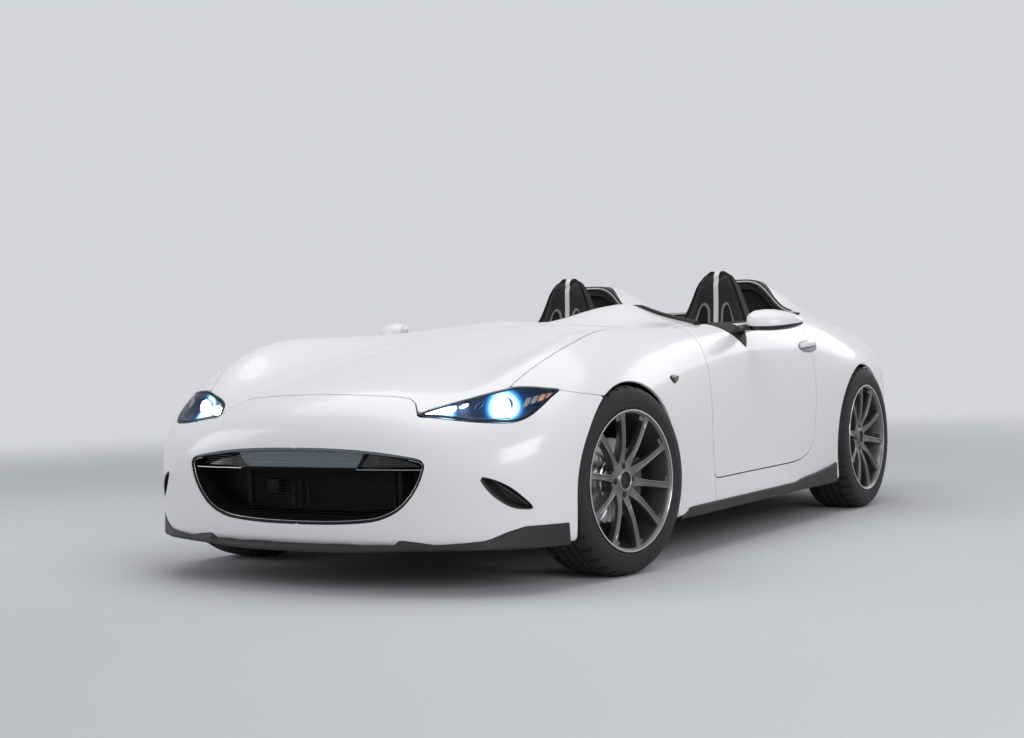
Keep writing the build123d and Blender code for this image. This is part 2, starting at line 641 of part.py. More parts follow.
def seat():
    """Bucket seat for the left side: cushion, raked back and head part."""
    base = side([(1290, 215), (1800, 215), (1830, 330), (1290, 392)], SEAT_X - SEAT_HALF, SEAT_X + SEAT_HALF)
    back = side([(1690, 260), (1820, 240), (1905, 900), (1858, SEAT_TOP), (1800, SEAT_TOP),
                 (1790, 900)], SEAT_X - SEAT_HALF, SEAT_X + SEAT_HALF)
    outline = [(-235, 200), (235, 200), (235, 560), (215, 700), (205, 760), (160, 840), (130, 910),
               (100, 985), (72, 1045), (45, SEAT_TOP + 1), (-45, SEAT_TOP + 1), (-72, 1045), (-100, 985),
               (-130, 910), (-160, 840), (-205, 760), (-215, 700), (-235, 560)]
    back &= front([(SEAT_X + x, z) for x, z in outline], 1000, 2200)
    wings = side([(1300, 380), (1700, 330), (1830, 800), (1740, 760), (1640, 480), (1330, 450)],
                 SEAT_X - SEAT_HALF, SEAT_X - SEAT_HALF + 45)
    wings += Pos(2 * SEAT_HALF - 45, 0, 0) * wings
    return main_solid(base + back + wings)


def roll_hoops():
    """Two covered hoops at the mouths of the fairings."""
    _, x0, x1, top = FAIRING[0]
    outer = fairing_section(COCKPIT_REAR + 10, x0 + 4, x1 - 4, top - 4, 860)
    inner = fairing_section(COCKPIT_REAR + 10, x0 + 4, x1 - 4, top - 4, 859, 34)
    return both(extrude(outer - inner, 24, dir=(0, 1, 0)))


def dashboard(core):
    """Dashboard under the cowl, with the instrument hood and the steering column."""
    block = core & box(-665, 665, 770, 960, 560, 784)
    block -= box(-700, 700, 760, 870, 500, 640)
    hood = Pos(HELM_X, 955, 730) * Rot(90, 0, 0) * Cylinder(105, 150)
    block += hood & box(200, 540, 880, 1030, 740, 880)
    rake = math.radians(HELM_RAKE)
    near = (HELM_X, HELM_Y - 46 * math.cos(rake), HELM_Z - 46 * math.sin(rake))
    far = (HELM_X, 900, HELM_Z - (HELM_Y - 900) * math.tan(rake))
    return main_solid(block + bar(far, near, 34))


def steering_wheel():
    """Steering wheel, turned as the road wheels stand."""
    ring = Torus(HELM_RADIUS, 15)
    boss = Cylinder(52, 50) + Pos(0, 0, -22) * Cylinder(30, 40)
    for angle in (0, 90, 180):
        boss += Rot(0, 0, angle) * Pos(110, 0, -4) * Box(150, 34, 12)
    wheel = Rot(0, 0, STEER_REST * HELM_RATIO) * (ring + boss)
    return Pos(HELM_X, HELM_Y, HELM_Z) * Rot(HELM_RAKE - 90, 0, 0) * wheel


def mirror_left(door):
    """Door mirror on its foot, which ends on the door's skin."""
    foot = bar((758, 1085, 775), (800, 1085, 812), 22)
    arm = bar((795, 1085, 812), (850, 1076, 822), 13)
    shell = plan([(808, 1026), (880, 1034), (958, 1076), (988, 1136), (986, 1178), (930, 1164), (812, 1116)],
                 801, 878)
    shell = fillet(shell.edges().filter_by(Axis.Z), 9)
    return main_solid(foot + arm + shell - door)


def headlamp_left(body, core):
    """Lamp unit filling the gap between bumper, bonnet and wing."""
    block = (body & lamp_block()) - core
    return main_solid(block - bonnet_outline(SHUT_GAP))


def tail_lamps(body):
    """Two lamp units at the tail."""
    block = body & both(tail_lamp_block())
    return block & box(-BIG, BIG, TAIL - 280, BIG, 0, BIG)


def exhaust():
    """Silencer with two tail pipes."""
    silencer = Pos(0, TAIL - 260, PIPE_Z) * Box(620, 200, 110)
    silencer = fillet(silencer.edges().filter_by(Axis.X), 40)
    for x in PIPES_X:
        silencer += bar((x, TAIL - 250, PIPE_Z), (x, TAIL - 25, PIPE_Z - 12), PIPE_RADIUS)
    link = box(PIPES_X[0] - 20, PIPES_X[1] + 30, TAIL - 275, TAIL - 225, PIPE_Z - 22, PIPE_Z + 22)
    return main_solid(silencer + link)


def write(name, shape):
    """Write one node, moved into the part's frame."""
    placed = Pos(0, FRAME_Y, 0) * shape
    export_step(placed, f"parts/{name}.step")


def body_nodes():
    """The panels and the structure behind them."""
    body = hull()
    shell = body - hull(PANEL)
    thick = body - hull(QUARTER_PANEL)
    front_core = hull(PANEL + CHASSIS_GAP)
    rear_core = hull(QUARTER_PANEL + CHASSIS_GAP)
    door = door_left(body)
    door_mirror = mirror_left(door)
    arches = arch_cutter()
    wing = wing_left(shell, arches)
    quarter = quarter_left(thick, arches)
    lamp = headlamp_left(body, front_core)
    nodes = {
        "bonnet": main_solid(shell & bonnet_outline()),
        "front_bumper": front_bumper(shell, arches),
        "front_wing_left": wing,
        "front_wing_right": mirrored(wing),
        "cowl_panel": cowl_panel(shell),
        "door_left": door,
        "door_right": mirrored(door),
        "mirror_left": door_mirror,
        "mirror_right": mirrored(door_mirror),
        "rear_quarter_left": quarter,
        "rear_quarter_right": mirrored(quarter),
        "rear_deck": rear_deck(thick),
        "boot_lid": boot_lid(thick),
        "rear_bumper": rear_bumper(thick, arches),
        "headlamp_left": lamp,
        "headlamp_right": mirrored(lamp),
        "tail_lamps": tail_lamps(body),
        "front_chassis": front_chassis(front_core),
        "rear_chassis": rear_chassis(rear_core),
        "dashboard": dashboard(front_core),
    }
    return nodes


def fitted_nodes():
    """What is fitted to the body."""
    nodes = {
        "floor_pan": floor_pan(),
        "front_splitter": splitter(),
        "side_skirt_left": skirt_left(),
        "side_skirt_right": mirrored(skirt_left()),
        "grille_surround": grille_surround(),
        "grille_bar": grille_bar(),
        "radiator": radiator(),
        "engine_block": engine_block(),
        "front_suspension": front_suspension(),
        "rear_suspension": rear_suspension(),
        "exhaust": exhaust(),
        "seat_left": seat(),
        "seat_right": mirrored(seat()),
        "roll_hoops": roll_hoops(),
        "steering_wheel": steering_wheel(),
    }
    return nodes


def wheel_nodes():
    """The four wheels with their tyres, and the front knuckles."""
    nodes = {}
    lateral = WHEEL_FACE_X - TYRE_WIDTH / 2
    upright = Pos(-lateral, 0, -TYRE_RADIUS) * knuckle()
    for name, sign in (("left", 1), ("right", -1)):
        nodes[f"wheel_front_{name}"] = front_place(sign, rim())
        nodes[f"tyre_front_{name}"] = front_place(sign, tyre())
        nodes[f"wheel_rear_{name}"] = rear_place(sign, rim())
        nodes[f"tyre_rear_{name}"] = rear_place(sign, tyre())
        nodes[f"knuckle_{name}"] = front_place(sign, upright)
    return nodes


def main():
    """Build every piece and write it."""
    os.makedirs("parts", exist_ok=True)
    for group in (body_nodes(), fitted_nodes(), wheel_nodes()):
        for name, shape in group.items():
            write(name, shape)


main()
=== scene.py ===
"""Looks of the open roadster: bodywork, wheels, lamps, cabin and trim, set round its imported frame.

Lengths are metres. Pieces are drawn in the body's measure, with y counted from the front axle;
Shop.from_arrays and Bench.place move them to the frame's.
"""

import json
import logging
import math
from dataclasses import dataclass, field
from enum import Enum
from typing import Callable, Iterable, Sequence

import bmesh
import bpy
import numpy as np
from mathutils.bvhtree import BVHTree
from mathutils import Matrix, Vector

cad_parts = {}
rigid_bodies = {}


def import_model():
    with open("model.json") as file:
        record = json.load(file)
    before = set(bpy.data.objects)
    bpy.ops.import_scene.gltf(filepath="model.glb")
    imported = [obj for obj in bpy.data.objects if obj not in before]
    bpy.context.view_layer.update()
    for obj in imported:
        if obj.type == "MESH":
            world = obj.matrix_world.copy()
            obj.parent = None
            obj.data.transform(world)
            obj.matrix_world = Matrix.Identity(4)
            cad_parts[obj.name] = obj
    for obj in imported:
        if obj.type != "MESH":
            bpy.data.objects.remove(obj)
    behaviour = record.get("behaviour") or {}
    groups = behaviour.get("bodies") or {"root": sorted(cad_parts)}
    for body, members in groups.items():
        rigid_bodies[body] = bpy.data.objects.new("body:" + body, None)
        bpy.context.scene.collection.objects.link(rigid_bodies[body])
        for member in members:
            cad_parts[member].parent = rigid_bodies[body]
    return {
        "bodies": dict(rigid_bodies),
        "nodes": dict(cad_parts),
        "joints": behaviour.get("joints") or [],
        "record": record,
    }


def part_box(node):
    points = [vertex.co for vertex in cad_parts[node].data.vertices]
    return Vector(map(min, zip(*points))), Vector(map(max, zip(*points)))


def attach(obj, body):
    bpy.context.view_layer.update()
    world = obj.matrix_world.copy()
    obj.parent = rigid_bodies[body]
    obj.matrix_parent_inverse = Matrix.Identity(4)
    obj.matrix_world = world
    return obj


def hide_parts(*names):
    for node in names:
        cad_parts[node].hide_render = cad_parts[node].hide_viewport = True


log = logging.getLogger("roadster")
Array = np.ndarray
Region = Callable[[Array], Array]
Point = tuple[float, float, float]
Pair = tuple[float, float]
Piece = bpy.types.Object
Socket = bpy.types.NodeSocket

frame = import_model()
bpy.ops.object.select_all(action="DESELECT")
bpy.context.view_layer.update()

WHEELBASE = 2.31
AXLE_Y = (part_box("tyre_rear_left")[0].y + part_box("tyre_rear_left")[1].y) / 2 - WHEELBASE
TYRE_RADIUS = (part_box("tyre_rear_left")[1].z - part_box("tyre_rear_left")[0].z) / 2
STEER = math.radians(-8.5)
KINGPIN_X = .69
WHEEL_FACE_X = .866


# --- The body's master surface -------------------------------------------------------------------

class Curve:
    """Natural cubic spline through (station, value) pairs, straight beyond its ends."""

    def __init__(self, pairs: Iterable[Pair]) -> None:
        """Fit the spline.

        Args:
            pairs: Stations and values, in any order.
        """
        table = np.array(sorted(pairs), float)
        self.at, self.value = table[:, 0], table[:, 1]
        count = len(table)
        self.gap = np.diff(self.at)
        left, right = np.eye(count), np.zeros(count)
        for i in range(1, count - 1):
            before, after = self.gap[i - 1], self.gap[i]
            left[i, i - 1:i + 2] = before, 2 * (before + after), after
            rise = (self.value[i + 1] - self.value[i]) / after
            right[i] = 6 * (rise - (self.value[i] - self.value[i - 1]) / before)
        self.bend = np.linalg.solve(left, right)

    def __call__(self, x: Array) -> Array:
        """Value of the curve.

        Args:
            x: Stations.

        Returns:
            The values there.
        """
        x = np.asarray(x, float)
        i = np.clip(np.searchsorted(self.at, x) - 1, 0, len(self.gap) - 1)
        gap = self.gap[i]
        a, b = (self.at[i + 1] - x) / gap, (x - self.at[i]) / gap
        cubic = (a ** 3 - a) * self.bend[i] + (b ** 3 - b) * self.bend[i + 1]
        inside = a * self.value[i] + b * self.value[i + 1] + cubic * gap * gap / 6
        first = (self.value[1] - self.value[0]) / self.gap[0] - self.gap[0] * self.bend[1] / 6
        last = (self.value[-1] - self.value[-2]) / self.gap[-1] + self.gap[-1] * self.bend[-2] / 6
        low = self.value[0] + first * (x - self.at[0])
        high = self.value[-1] + last * (x - self.at[-1])
        return np.where(x < self.at[0], low, np.where(x > self.at[-1], high, inside))


def soft_max(a: Array, b: Array, blend: float) -> Array:
    """Larger of two fields, rounded over a width of blend where they meet."""
    near = np.maximum(blend - np.abs(a - b), 0) / blend
    return np.maximum(a, b) + near ** 3 * blend / 6


def ease(x: Array, low: float, high: float) -> Array:
    """Smooth step from 0 at low to 1 at high."""
    t = np.clip((x - low) / (high - low), 0, 1)
    return t * t * t * (t * (6 * t - 15) + 10)


class BodySurface:
    """The outer surface as a field, negative inside: top, sides, nose and tail that blend."""

    STATIONS = (
        -.75, -.6, -.45, -.3, -.15, 0.0, .2, .45, .7, .95, 1.3, 1.7, 2.0, 2.31, 2.65, 2.95, 3.16)
    # height of the top at five half widths, for each station
    TOP = {
        0.0: (
            .575, .628, .668, .698, .724, .748, .778, .814, .848, .878, .89, .895, .9, .9, .885,
            .86, .83),
        .25: (
            .545, .608, .655, .69, .718, .742, .772, .808, .842, .872, .885, .895, .9, .9, .885,
            .86, .83),
        .46: (
            .47, .545, .615, .672, .712, .737, .764, .796, .828, .855, .87, .89, .9, .89, .862, .83,
            .8),
        .64: (
            .38, .475, .59, .695, .765, .805, .82, .824, .828, .838, .85, .875, .89, .865, .815,
            .765, .72),
        .76: (
            .3, .41, .54, .65, .725, .765, .79, .805, .812, .822, .828, .85, .86, .8, .72, .64,
            .58),
    }
    # widest half width, its height, and the half widths at the belt's and the sill's height
    WAIST = (
        .8, .815, .835, .85, .862, .868, .864, .852, .842, .836, .832, .846, .862, .868, .815, .745,
        .69)
    WAIST_Z = (.35, .38, .42, .46, .5, .52, .5, .48, .47, .46, .46, .48, .52, .55, .55, .55, .55)
    BELT = (
        .7, .7, .705, .715, .727, .745, .765, .785, .797, .802, .803, .797, .778, .735, .665, .6,
        .56)
    SILL = (
        .76, .79, .825, .845, .853, .858, .856, .852, .85, .848, .846, .845, .85, .855, .82, .78,
        .76)
    BELT_Z, SILL_Z = .82, .18
    NOSE_BY_Z = (
        (.1, -.685), (.15, -.7), (.25, -.712), (.35, -.716), (.45, -.714), (.52, -.705),
        (.57, -.68), (.62, -.635), (.68, -.56))
    NOSE_BY_X = (
        (0, 0), (.2, .006), (.35, .022), (.47, .045), (.6, .095), (.7, .16), (.78, .24), (.84, .34),
        (.88, .44))
    TAIL_BY_Z = ((.2, 3.06), (.35, 3.14), (.5, 3.165), (.65, 3.16), (.78, 3.17), (.9, 3.2))
    TAIL_BY_X = ((0, 0), (.2, -.008), (.4, -.035), (.6, -.1), (.72, -.17), (.8, -.26), (.86, -.38))
    BOTTOM = .152

    def __init__(self) -> None:
        """Fit the curves."""
        widths = sorted(self.TOP)
        self.widths = widths
        self.top = [Curve(zip(self.STATIONS, self.TOP[x])) for x in widths]
        self.waist, self.waist_z, self.belt, self.sill = (
            Curve(zip(self.STATIONS, row))
            for row in (self.WAIST, self.WAIST_Z, self.BELT, self.SILL))
        self.nose_z, self.nose_x = Curve(self.NOSE_BY_Z), Curve(self.NOSE_BY_X)
        self.tail_z, self.tail_x = Curve(self.TAIL_BY_Z), Curve(self.TAIL_BY_X)
        nodes = np.array([-x for x in widths[:0:-1]] + widths)
        count, gap = len(nodes), np.diff(nodes)
        left, right = np.eye(count), np.zeros((count, count))
        for i in range(1, count - 1):
            left[i, i - 1:i + 2] = gap[i - 1], 2 * (gap[i - 1] + gap[i]), gap[i]
            right[i, i - 1:i + 2] = 6 / gap[i - 1], -6 / gap[i - 1] - 6 / gap[i], 6 / gap[i]
        self.nodes, self.gap, self.solve = nodes, gap, np.linalg.solve(left, right)

    def crown(self, x: Array, y: Array) -> Array:
        """Height of the plain top, without the humps.

        Args:
            x: Half widths.
            y: Stations from the front axle.

        Returns:
            Heights.
        """
        value = np.stack([curve(y) for curve in self.top])
        value = np.concatenate([value[:0:-1], value])
        bend = np.tensordot(self.solve, value, axes=(1, 0))
        i = np.clip(np.searchsorted(self.nodes, x) - 1, 0, len(self.gap) - 1)
        gap = self.gap[i]
        a, b = (self.nodes[i + 1] - x) / gap, (x - self.nodes[i]) / gap

        def take(rows: Array, j: Array) -> Array:
            """Row j of each column."""
            return np.take_along_axis(rows, j[None], 0)[0]

        cubic = (a ** 3 - a) * take(bend, i) + (b ** 3 - b) * take(bend, i + 1)
        inside = a * take(value, i) + b * take(value, i + 1) + cubic * gap * gap / 6
        over = np.maximum(x - self.widths[-1], 0)
        slope = (value[-1] - value[-2]) / self.gap[-1] + self.gap[-1] * bend[-2] / 6
        return np.where(over > 0, value[-1] + slope * over - 1.5 * over * over, inside)

    def height(self, x: Array, y: Array) -> Array:
        """Height of the top with the driver's hump and the fairings.

        Args:
            x: Places across the car.
            y: Stations from the front axle.

        Returns:
            Heights.
        """
        half = np.abs(x)
        hump = .048 * np.exp(-((x - .33) / .22) ** 2 - ((y - .94) / .21) ** 2)
        along = ease(y, 1.75, 2.0) * (1 - ease(y, 2.1, 2.66))
        fairing = .135 * along * np.exp(-((half - .38) / .17) ** 4)
        crest = .014 * np.exp(-((x - .39) / .08) ** 2) - .021 * np.exp(-((x - .03) / .16) ** 2)
        crest *= np.exp(-((y - .93) / .19) ** 2)
        return self.crown(half, y) + hump + crest + fairing

    def flank(self, y: Array, z: Array) -> Array:
        """Half width of the side.

        Args:
            y: Stations from the front axle.
            z: Heights.

        Returns:
            Half widths.
        """
        waist, level = self.waist(y), self.waist_z(y)
        above = np.maximum(z - level, 0) / (self.BELT_Z - level)
        below = np.maximum(level - z, 0) / (level - self.SILL_Z)
        return waist - (waist - self.belt(y)) * above ** 2.2 - (waist - self.sill(y)) * below ** 2

    def field(self, p: Array) -> Array:
        """Signed field at points, near to a distance.

        Args:
            p: Points, one a row, with y from the front axle.

        Returns:
            Negative inside the body and positive outside.
        """
        x, y, z = p.T
        half = np.abs(x)
        out = soft_max(half - self.flank(y, z), (z - self.height(x, y)) * .9, .16)
        out = soft_max(out, (self.nose_z(z) + self.nose_x(half) - y) * .9, .14)
        out = soft_max(out, (y - self.tail_z(z) - self.tail_x(half)) * .9, .12)
        return soft_max(out, self.BOTTOM - z, .03)


BODY = BodySurface()


# --- Outlines and sheet metal --------------------------------------------------------------------

class View(Enum):
    """The direction in which an outline is drawn, as the two axes that it uses."""

    PLAN = (0, 1)
    SIDE = (1, 2)
    FRONT = (0, 2)


@dataclass(frozen=True)
class Outline:
    """Closed outline in one view, with a signed distance that is negative inside."""

    view: View
    points: tuple[Pair, ...]
    symmetric: bool = False

    def __call__(self, p: Array) -> Array:
        """Signed distance of points from the outline.

        Args:
            p: Points, one a row.

        Returns:
            Distances in the outline's view.
        """
        a, b = self.view.value
        q = np.stack([p[:, a], p[:, b]], 1)
        if self.symmetric:
            q[:, 0] = np.abs(q[:, 0])
        ring = np.array(self.points)
        best = np.full(len(q), 1e9)
        inside = np.zeros(len(q), bool)
        for start, end in zip(ring, np.roll(ring, -1, axis=0)):
            run = end - start
            t = np.clip(((q - start) @ run) / (run @ run + 1e-12), 0, 1)
            best = np.minimum(best, np.hypot(*(q - start - t[:, None] * run).T))
            crosses = (start[1] > q[:, 1]) != (end[1] > q[:, 1])
            with np.errstate(divide="ignore", invalid="ignore"):
                where = start[0] + (q[:, 1] - start[1]) / (end[1] - start[1] + 1e-12) * run[0]
            inside ^= crosses & (q[:, 0] < where)
        return np.where(inside, -best, best)


def turned_point(r: float, t: float, angle: float, z: float) -> Point:
    """Point at r along and t across a direction from the origin, for a piece made about it."""
    return (
        r * math.cos(angle) - t * math.sin(angle),
        r * math.sin(angle) + t * math.cos(angle) - AXLE_Y, z)


def top_at(x: float, y: float) -> float:
    """Height of the body's top at one place."""
    return float(BODY.height(np.array([x]), np.array([y]))[0])


def smooth(points: Sequence[Pair], parts: int = 6, closed: bool = False) -> list[Pair]:
    """Round curve through a few points.

    Args:
        points: The points that it passes.
        parts: Pieces between two points.
        closed: Whether it returns to its start.

    Returns:
        The curve's points.
    """
    ring = [Vector(p) for p in points]
    count = len(ring)
    out = []
    for i in range(count if closed else count - 1):
        before = ring[i - 1] if closed or i else ring[0] * 2 - ring[1]
        a, b = ring[i], ring[(i + 1) % count]
        after = ring[(i + 2) % count] if closed or i + 2 < count else b * 2 - a
        for k in range(parts):
            t = k / parts
            out.append(tuple(.5 * (
                2 * a + (b - before) * t + (2 * before - 5 * a + 4 * b - after) * t * t
                + (3 * a - before - 3 * b + after) * t ** 3)))
    if not closed:
        out.append(tuple(ring[-1]))
    return out


def disc(view: View, centre: Pair, radius: float) -> Region:
    """Round region in one view."""
    a, b = view.value
    return lambda p: np.hypot(p[:, a] - centre[0], p[:, b] - centre[1]) - radius


def keep(*inside: Region) -> Region:
    """Region that lies inside all of the given ones."""
    return lambda p: np.max([region(p) for region in inside], axis=0)


def without(region: Region, gap: float) -> Region:
    """Outside of a region that is grown by gap."""
    return lambda p: gap - region(p)


def behind(axis: int, value: float) -> Region:
    """Half space where a coordinate is over a value."""
    return lambda p: value - p[:, axis]


def before(axis: int, value: float) -> Region:
    """Half space where a coordinate is under a value."""
    return lambda p: p[:, axis] - value


class Aim(Enum):
    """How a panel's grid meets the surface."""

    DOWN = "from above"
    ACROSS = "from the left"
    AHEAD = "from the front"
    BEHIND = "from behind"
    ROUND = "from round a line along the car"
    TURNING = "as ROUND, and turning backwards behind a station"
    OVER = "from round a line across the car"
    FAN = "from all round a point, forwards"
    FAN_BACK = "from all round a point, backwards"


@dataclass(frozen=True)
class Grid:
    """A grid of sight lines onto the surface."""

    aim: Aim
    u: Pair
    v: Pair
    step: Pair
    centre: Point = (0, 0, 0)

    TURN_RADIUS = 0.62      # of the path that TURNING follows
    FAN_REACH = 1.5         # where a fan's sight lines start
    STRIDE, STRIDES, LAST_STRIDES = .8, 26, 4

    def lines(self, u: Array, v: Array) -> tuple[Array, Array]:
        """Sight lines from outside.

        Args:
            u: First grid coordinate.
            v: Second grid coordinate.

        Returns:
            Start points and unit directions.
        """
        zero = np.zeros_like(u)
        if self.aim is Aim.DOWN:
            return np.stack([u, v, zero + 1.2], 1), np.stack([zero, zero, zero - 1], 1)
        if self.aim is Aim.ACROSS:
            return np.stack([zero + 1.05, u, v], 1), np.stack([zero - 1, zero, zero], 1)
        if self.aim is Aim.AHEAD:
            return np.stack([u, zero - 1.1, v], 1), np.stack([zero, zero + 1, zero], 1)
        if self.aim is Aim.BEHIND:
            return np.stack([u, zero + 3.6, v], 1), np.stack([zero, zero - 1, zero], 1)
        cx, cy, cz = self.centre
        if self.aim in (Aim.ROUND, Aim.TURNING):
            past = np.maximum(u - cy, 0) if self.aim is Aim.TURNING else zero
            turn = past / self.TURN_RADIUS
            out = np.stack([np.cos(v) * np.cos(turn), np.sin(turn), np.sin(v) * np.cos(turn)], 1)
            middle = np.stack([zero + cx, u - past, zero + cz], 1)
            return middle + (.75 + .4 * np.sin(turn))[:, None] * out, -out
        if self.aim is Aim.OVER:
            out = np.stack([zero, np.sin(v), np.cos(v)], 1)
            return np.stack([u, zero + cy, zero + cz], 1) + out, -out
        back = 1 if self.aim is Aim.FAN_BACK else -1
        out = np.stack([np.sin(u) * np.cos(v), back * np.cos(u) * np.cos(v), np.sin(v)], 1)
        return np.array(self.centre) + self.FAN_REACH * out, -out

    def meet(self, u: Array, v: Array) -> Array:
        """Points where the sight lines meet the body.

        Args:
            u: First grid coordinate.
            v: Second grid coordinate.

        Returns:
            Points, one a row.
        """
        start, way = self.lines(u, v)
        reach = np.zeros(len(u))
        # sight lines that miss the body run off, and no panel uses their points
        with np.errstate(over="ignore", invalid="ignore"):
            for stride in [self.STRIDE] * self.STRIDES + [1] * self.LAST_STRIDES:
                reach += stride * BODY.field(start + way * reach[:, None])
            return start + way * reach[:, None]


class SheetMetal:
    """Cuts panels out of the master surface along exact outlines."""

    SNAP = .34

    def __init__(self, grid: Grid, region: Region) -> None:
        """Lay the grid on the surface and measure each point's distance from the panel's edge.

        Args:
            grid: Sight lines.
            region: Signed distance from the panel's edge, negative inside.
        """
        self.grid, self.region = grid, region
        count = [
            max(2, int(round((hi - lo) / step)) + 1)
            for (lo, hi), step in zip((grid.u, grid.v), grid.step)]
        us, vs = np.linspace(*grid.u, count[0]), np.linspace(*grid.v, count[1])
        self.shape = tuple(count)
        u, v = (a.ravel() for a in np.meshgrid(us, vs, indexing="ij"))
        p = grid.meet(u, v)
        s = region(p)
        u, v, p, s = self.snap(u, v, p, s, us[1] - us[0], vs[1] - vs[0])
        self.u, self.v, self.p, self.s = u, v, p, s

    def snap(
            self, u: Array, v: Array, p: Array, s: Array, du: float,
            dv: float) -> tuple[Array, ...]:
        """Move the points that are near the edge onto it, so that no slivers are left.

        Args:
            u: First grid coordinates.
            v: Second grid coordinates.
            p: Points on the surface.
            s: Signed distances from the edge.
            du: Grid step along u.
            dv: Grid step along v.

        Returns:
            The four arrays with the near points moved.
        """
        near_by = s.copy()
        gu, gv = (g.ravel() for g in np.gradient(near_by.reshape(self.shape), du, dv))
        slope = gu * gu + gv * gv
        move = np.abs(s) < self.SNAP * np.sqrt(slope) * min(du, dv) + 1e-9
        move &= slope > 1e-9
        u2, v2, s2 = u.copy(), v.copy(), s.copy()
        p2 = p.copy()
        idx = np.flatnonzero(move)
        for _ in range(3):
            du_ = np.clip(-s2[idx] * gu[idx] / slope[idx], -.45 * du, .45 * du)
            dv_ = np.clip(-s2[idx] * gv[idx] / slope[idx], -.45 * dv, .45 * dv)
            u2[idx] = np.clip(u2[idx] + du_, u[idx] - .49 * du, u[idx] + .49 * du)
            v2[idx] = np.clip(v2[idx] + dv_, v[idx] - .49 * dv, v[idx] + .49 * dv)
            p2[idx] = self.grid.meet(u2[idx], v2[idx])
            s2[idx] = self.region(p2[idx])
        done = idx[np.abs(s2[idx]) < 4e-4]
        u, v, p, s = u.copy(), v.copy(), p.copy(), s.copy()
        u[done], v[done], p[done], s[done] = u2[done], v2[done], p2[done], 0.0
        return u, v, p, s

    def crossings(self, a: Array, b: Array) -> Array:
        """Points where grid edges cross the panel's edge.

        Args:
            a: Indices of the inner ends.
            b: Indices of the outer ends.

        Returns:
            Points, one a row.
        """
        low, high = np.zeros(len(a)), np.ones(len(a))
        s_low, s_high = self.s[a], self.s[b]
        for _ in range(9):
            t = np.clip(
                low + (high - low) * s_low / (s_low - s_high), low + .05 * (high - low),
                high - .05 * (high - low))
            p = self.grid.meet(
                self.u[a] + t * (self.u[b] - self.u[a]), self.v[a] + t * (self.v[b] - self.v[a]))
            s = self.region(p)
            inner = s < 0
            low, s_low = np.where(inner, t, low), np.where(inner, s, s_low)
            high, s_high = np.where(inner, high, t), np.where(inner, s_high, s)
        return p

    def mesh(self) -> tuple[Array, list[tuple[int, ...]]]:
        """The panel's outer skin.

        Returns:
            Points and faces.
        """
        rows, columns = self.shape
        index = np.arange(rows * columns).reshape(rows, columns)
        inside = self.s <= 0
        pairs = [
            np.stack([index[:-1].ravel(), index[1:].ravel()], 1),
            np.stack([index[:, :-1].ravel(), index[:, 1:].ravel()], 1)]
        pairs = np.concatenate(pairs)
        first, second = self.s[pairs[:, 0]], self.s[pairs[:, 1]]
        pairs = pairs[((first < 0) & (second > 0)) | ((first > 0) & (second < 0))]
        inner = np.where(self.s[pairs[:, 0]] < 0, pairs[:, 0], pairs[:, 1])
        outer = np.where(self.s[pairs[:, 0]] < 0, pairs[:, 1], pairs[:, 0])
        cut = self.crossings(inner, outer)
        number = {(int(i), int(j)): len(self.p) + k for k, (i, j) in enumerate(zip(inner, outer))}
        corners = np.stack([
            index[:-1, :-1], index[1:, :-1], index[1:, 1:], index[:-1, 1:]], -1).reshape(-1, 4)
        count = inside[corners].sum(1)
        strictly = (self.s[corners] < 0).sum(1)
        faces = [tuple(int(i) for i in c) for c in corners[(count == 4) & (strictly > 0)]]
        for corner in corners[(count < 4) & (strictly > 0)]:
            ring = []
            for i, j in zip(corner, np.roll(corner, -1)):
                i, j = int(i), int(j)
                if inside[i]:
                    ring.append(i)
                key = (i, j) if self.s[i] < 0 else (j, i)
                if key in number and (self.s[i] < 0) != (self.s[j] < 0):
                    ring.append(number[key])
            if len(ring) > 2:
                faces.append(tuple(ring))
        points = np.concatenate([self.p, cut]) if len(cut) else self.p
        used = np.unique(np.concatenate([np.array(f) for f in faces]))
        renumber = np.full(len(points), -1)
        renumber[used] = np.arange(len(used))
        return points[used], [tuple(int(renumber[i]) for i in f) for f in faces]


# --- Finishes ------------------------------------------------------------------------------------

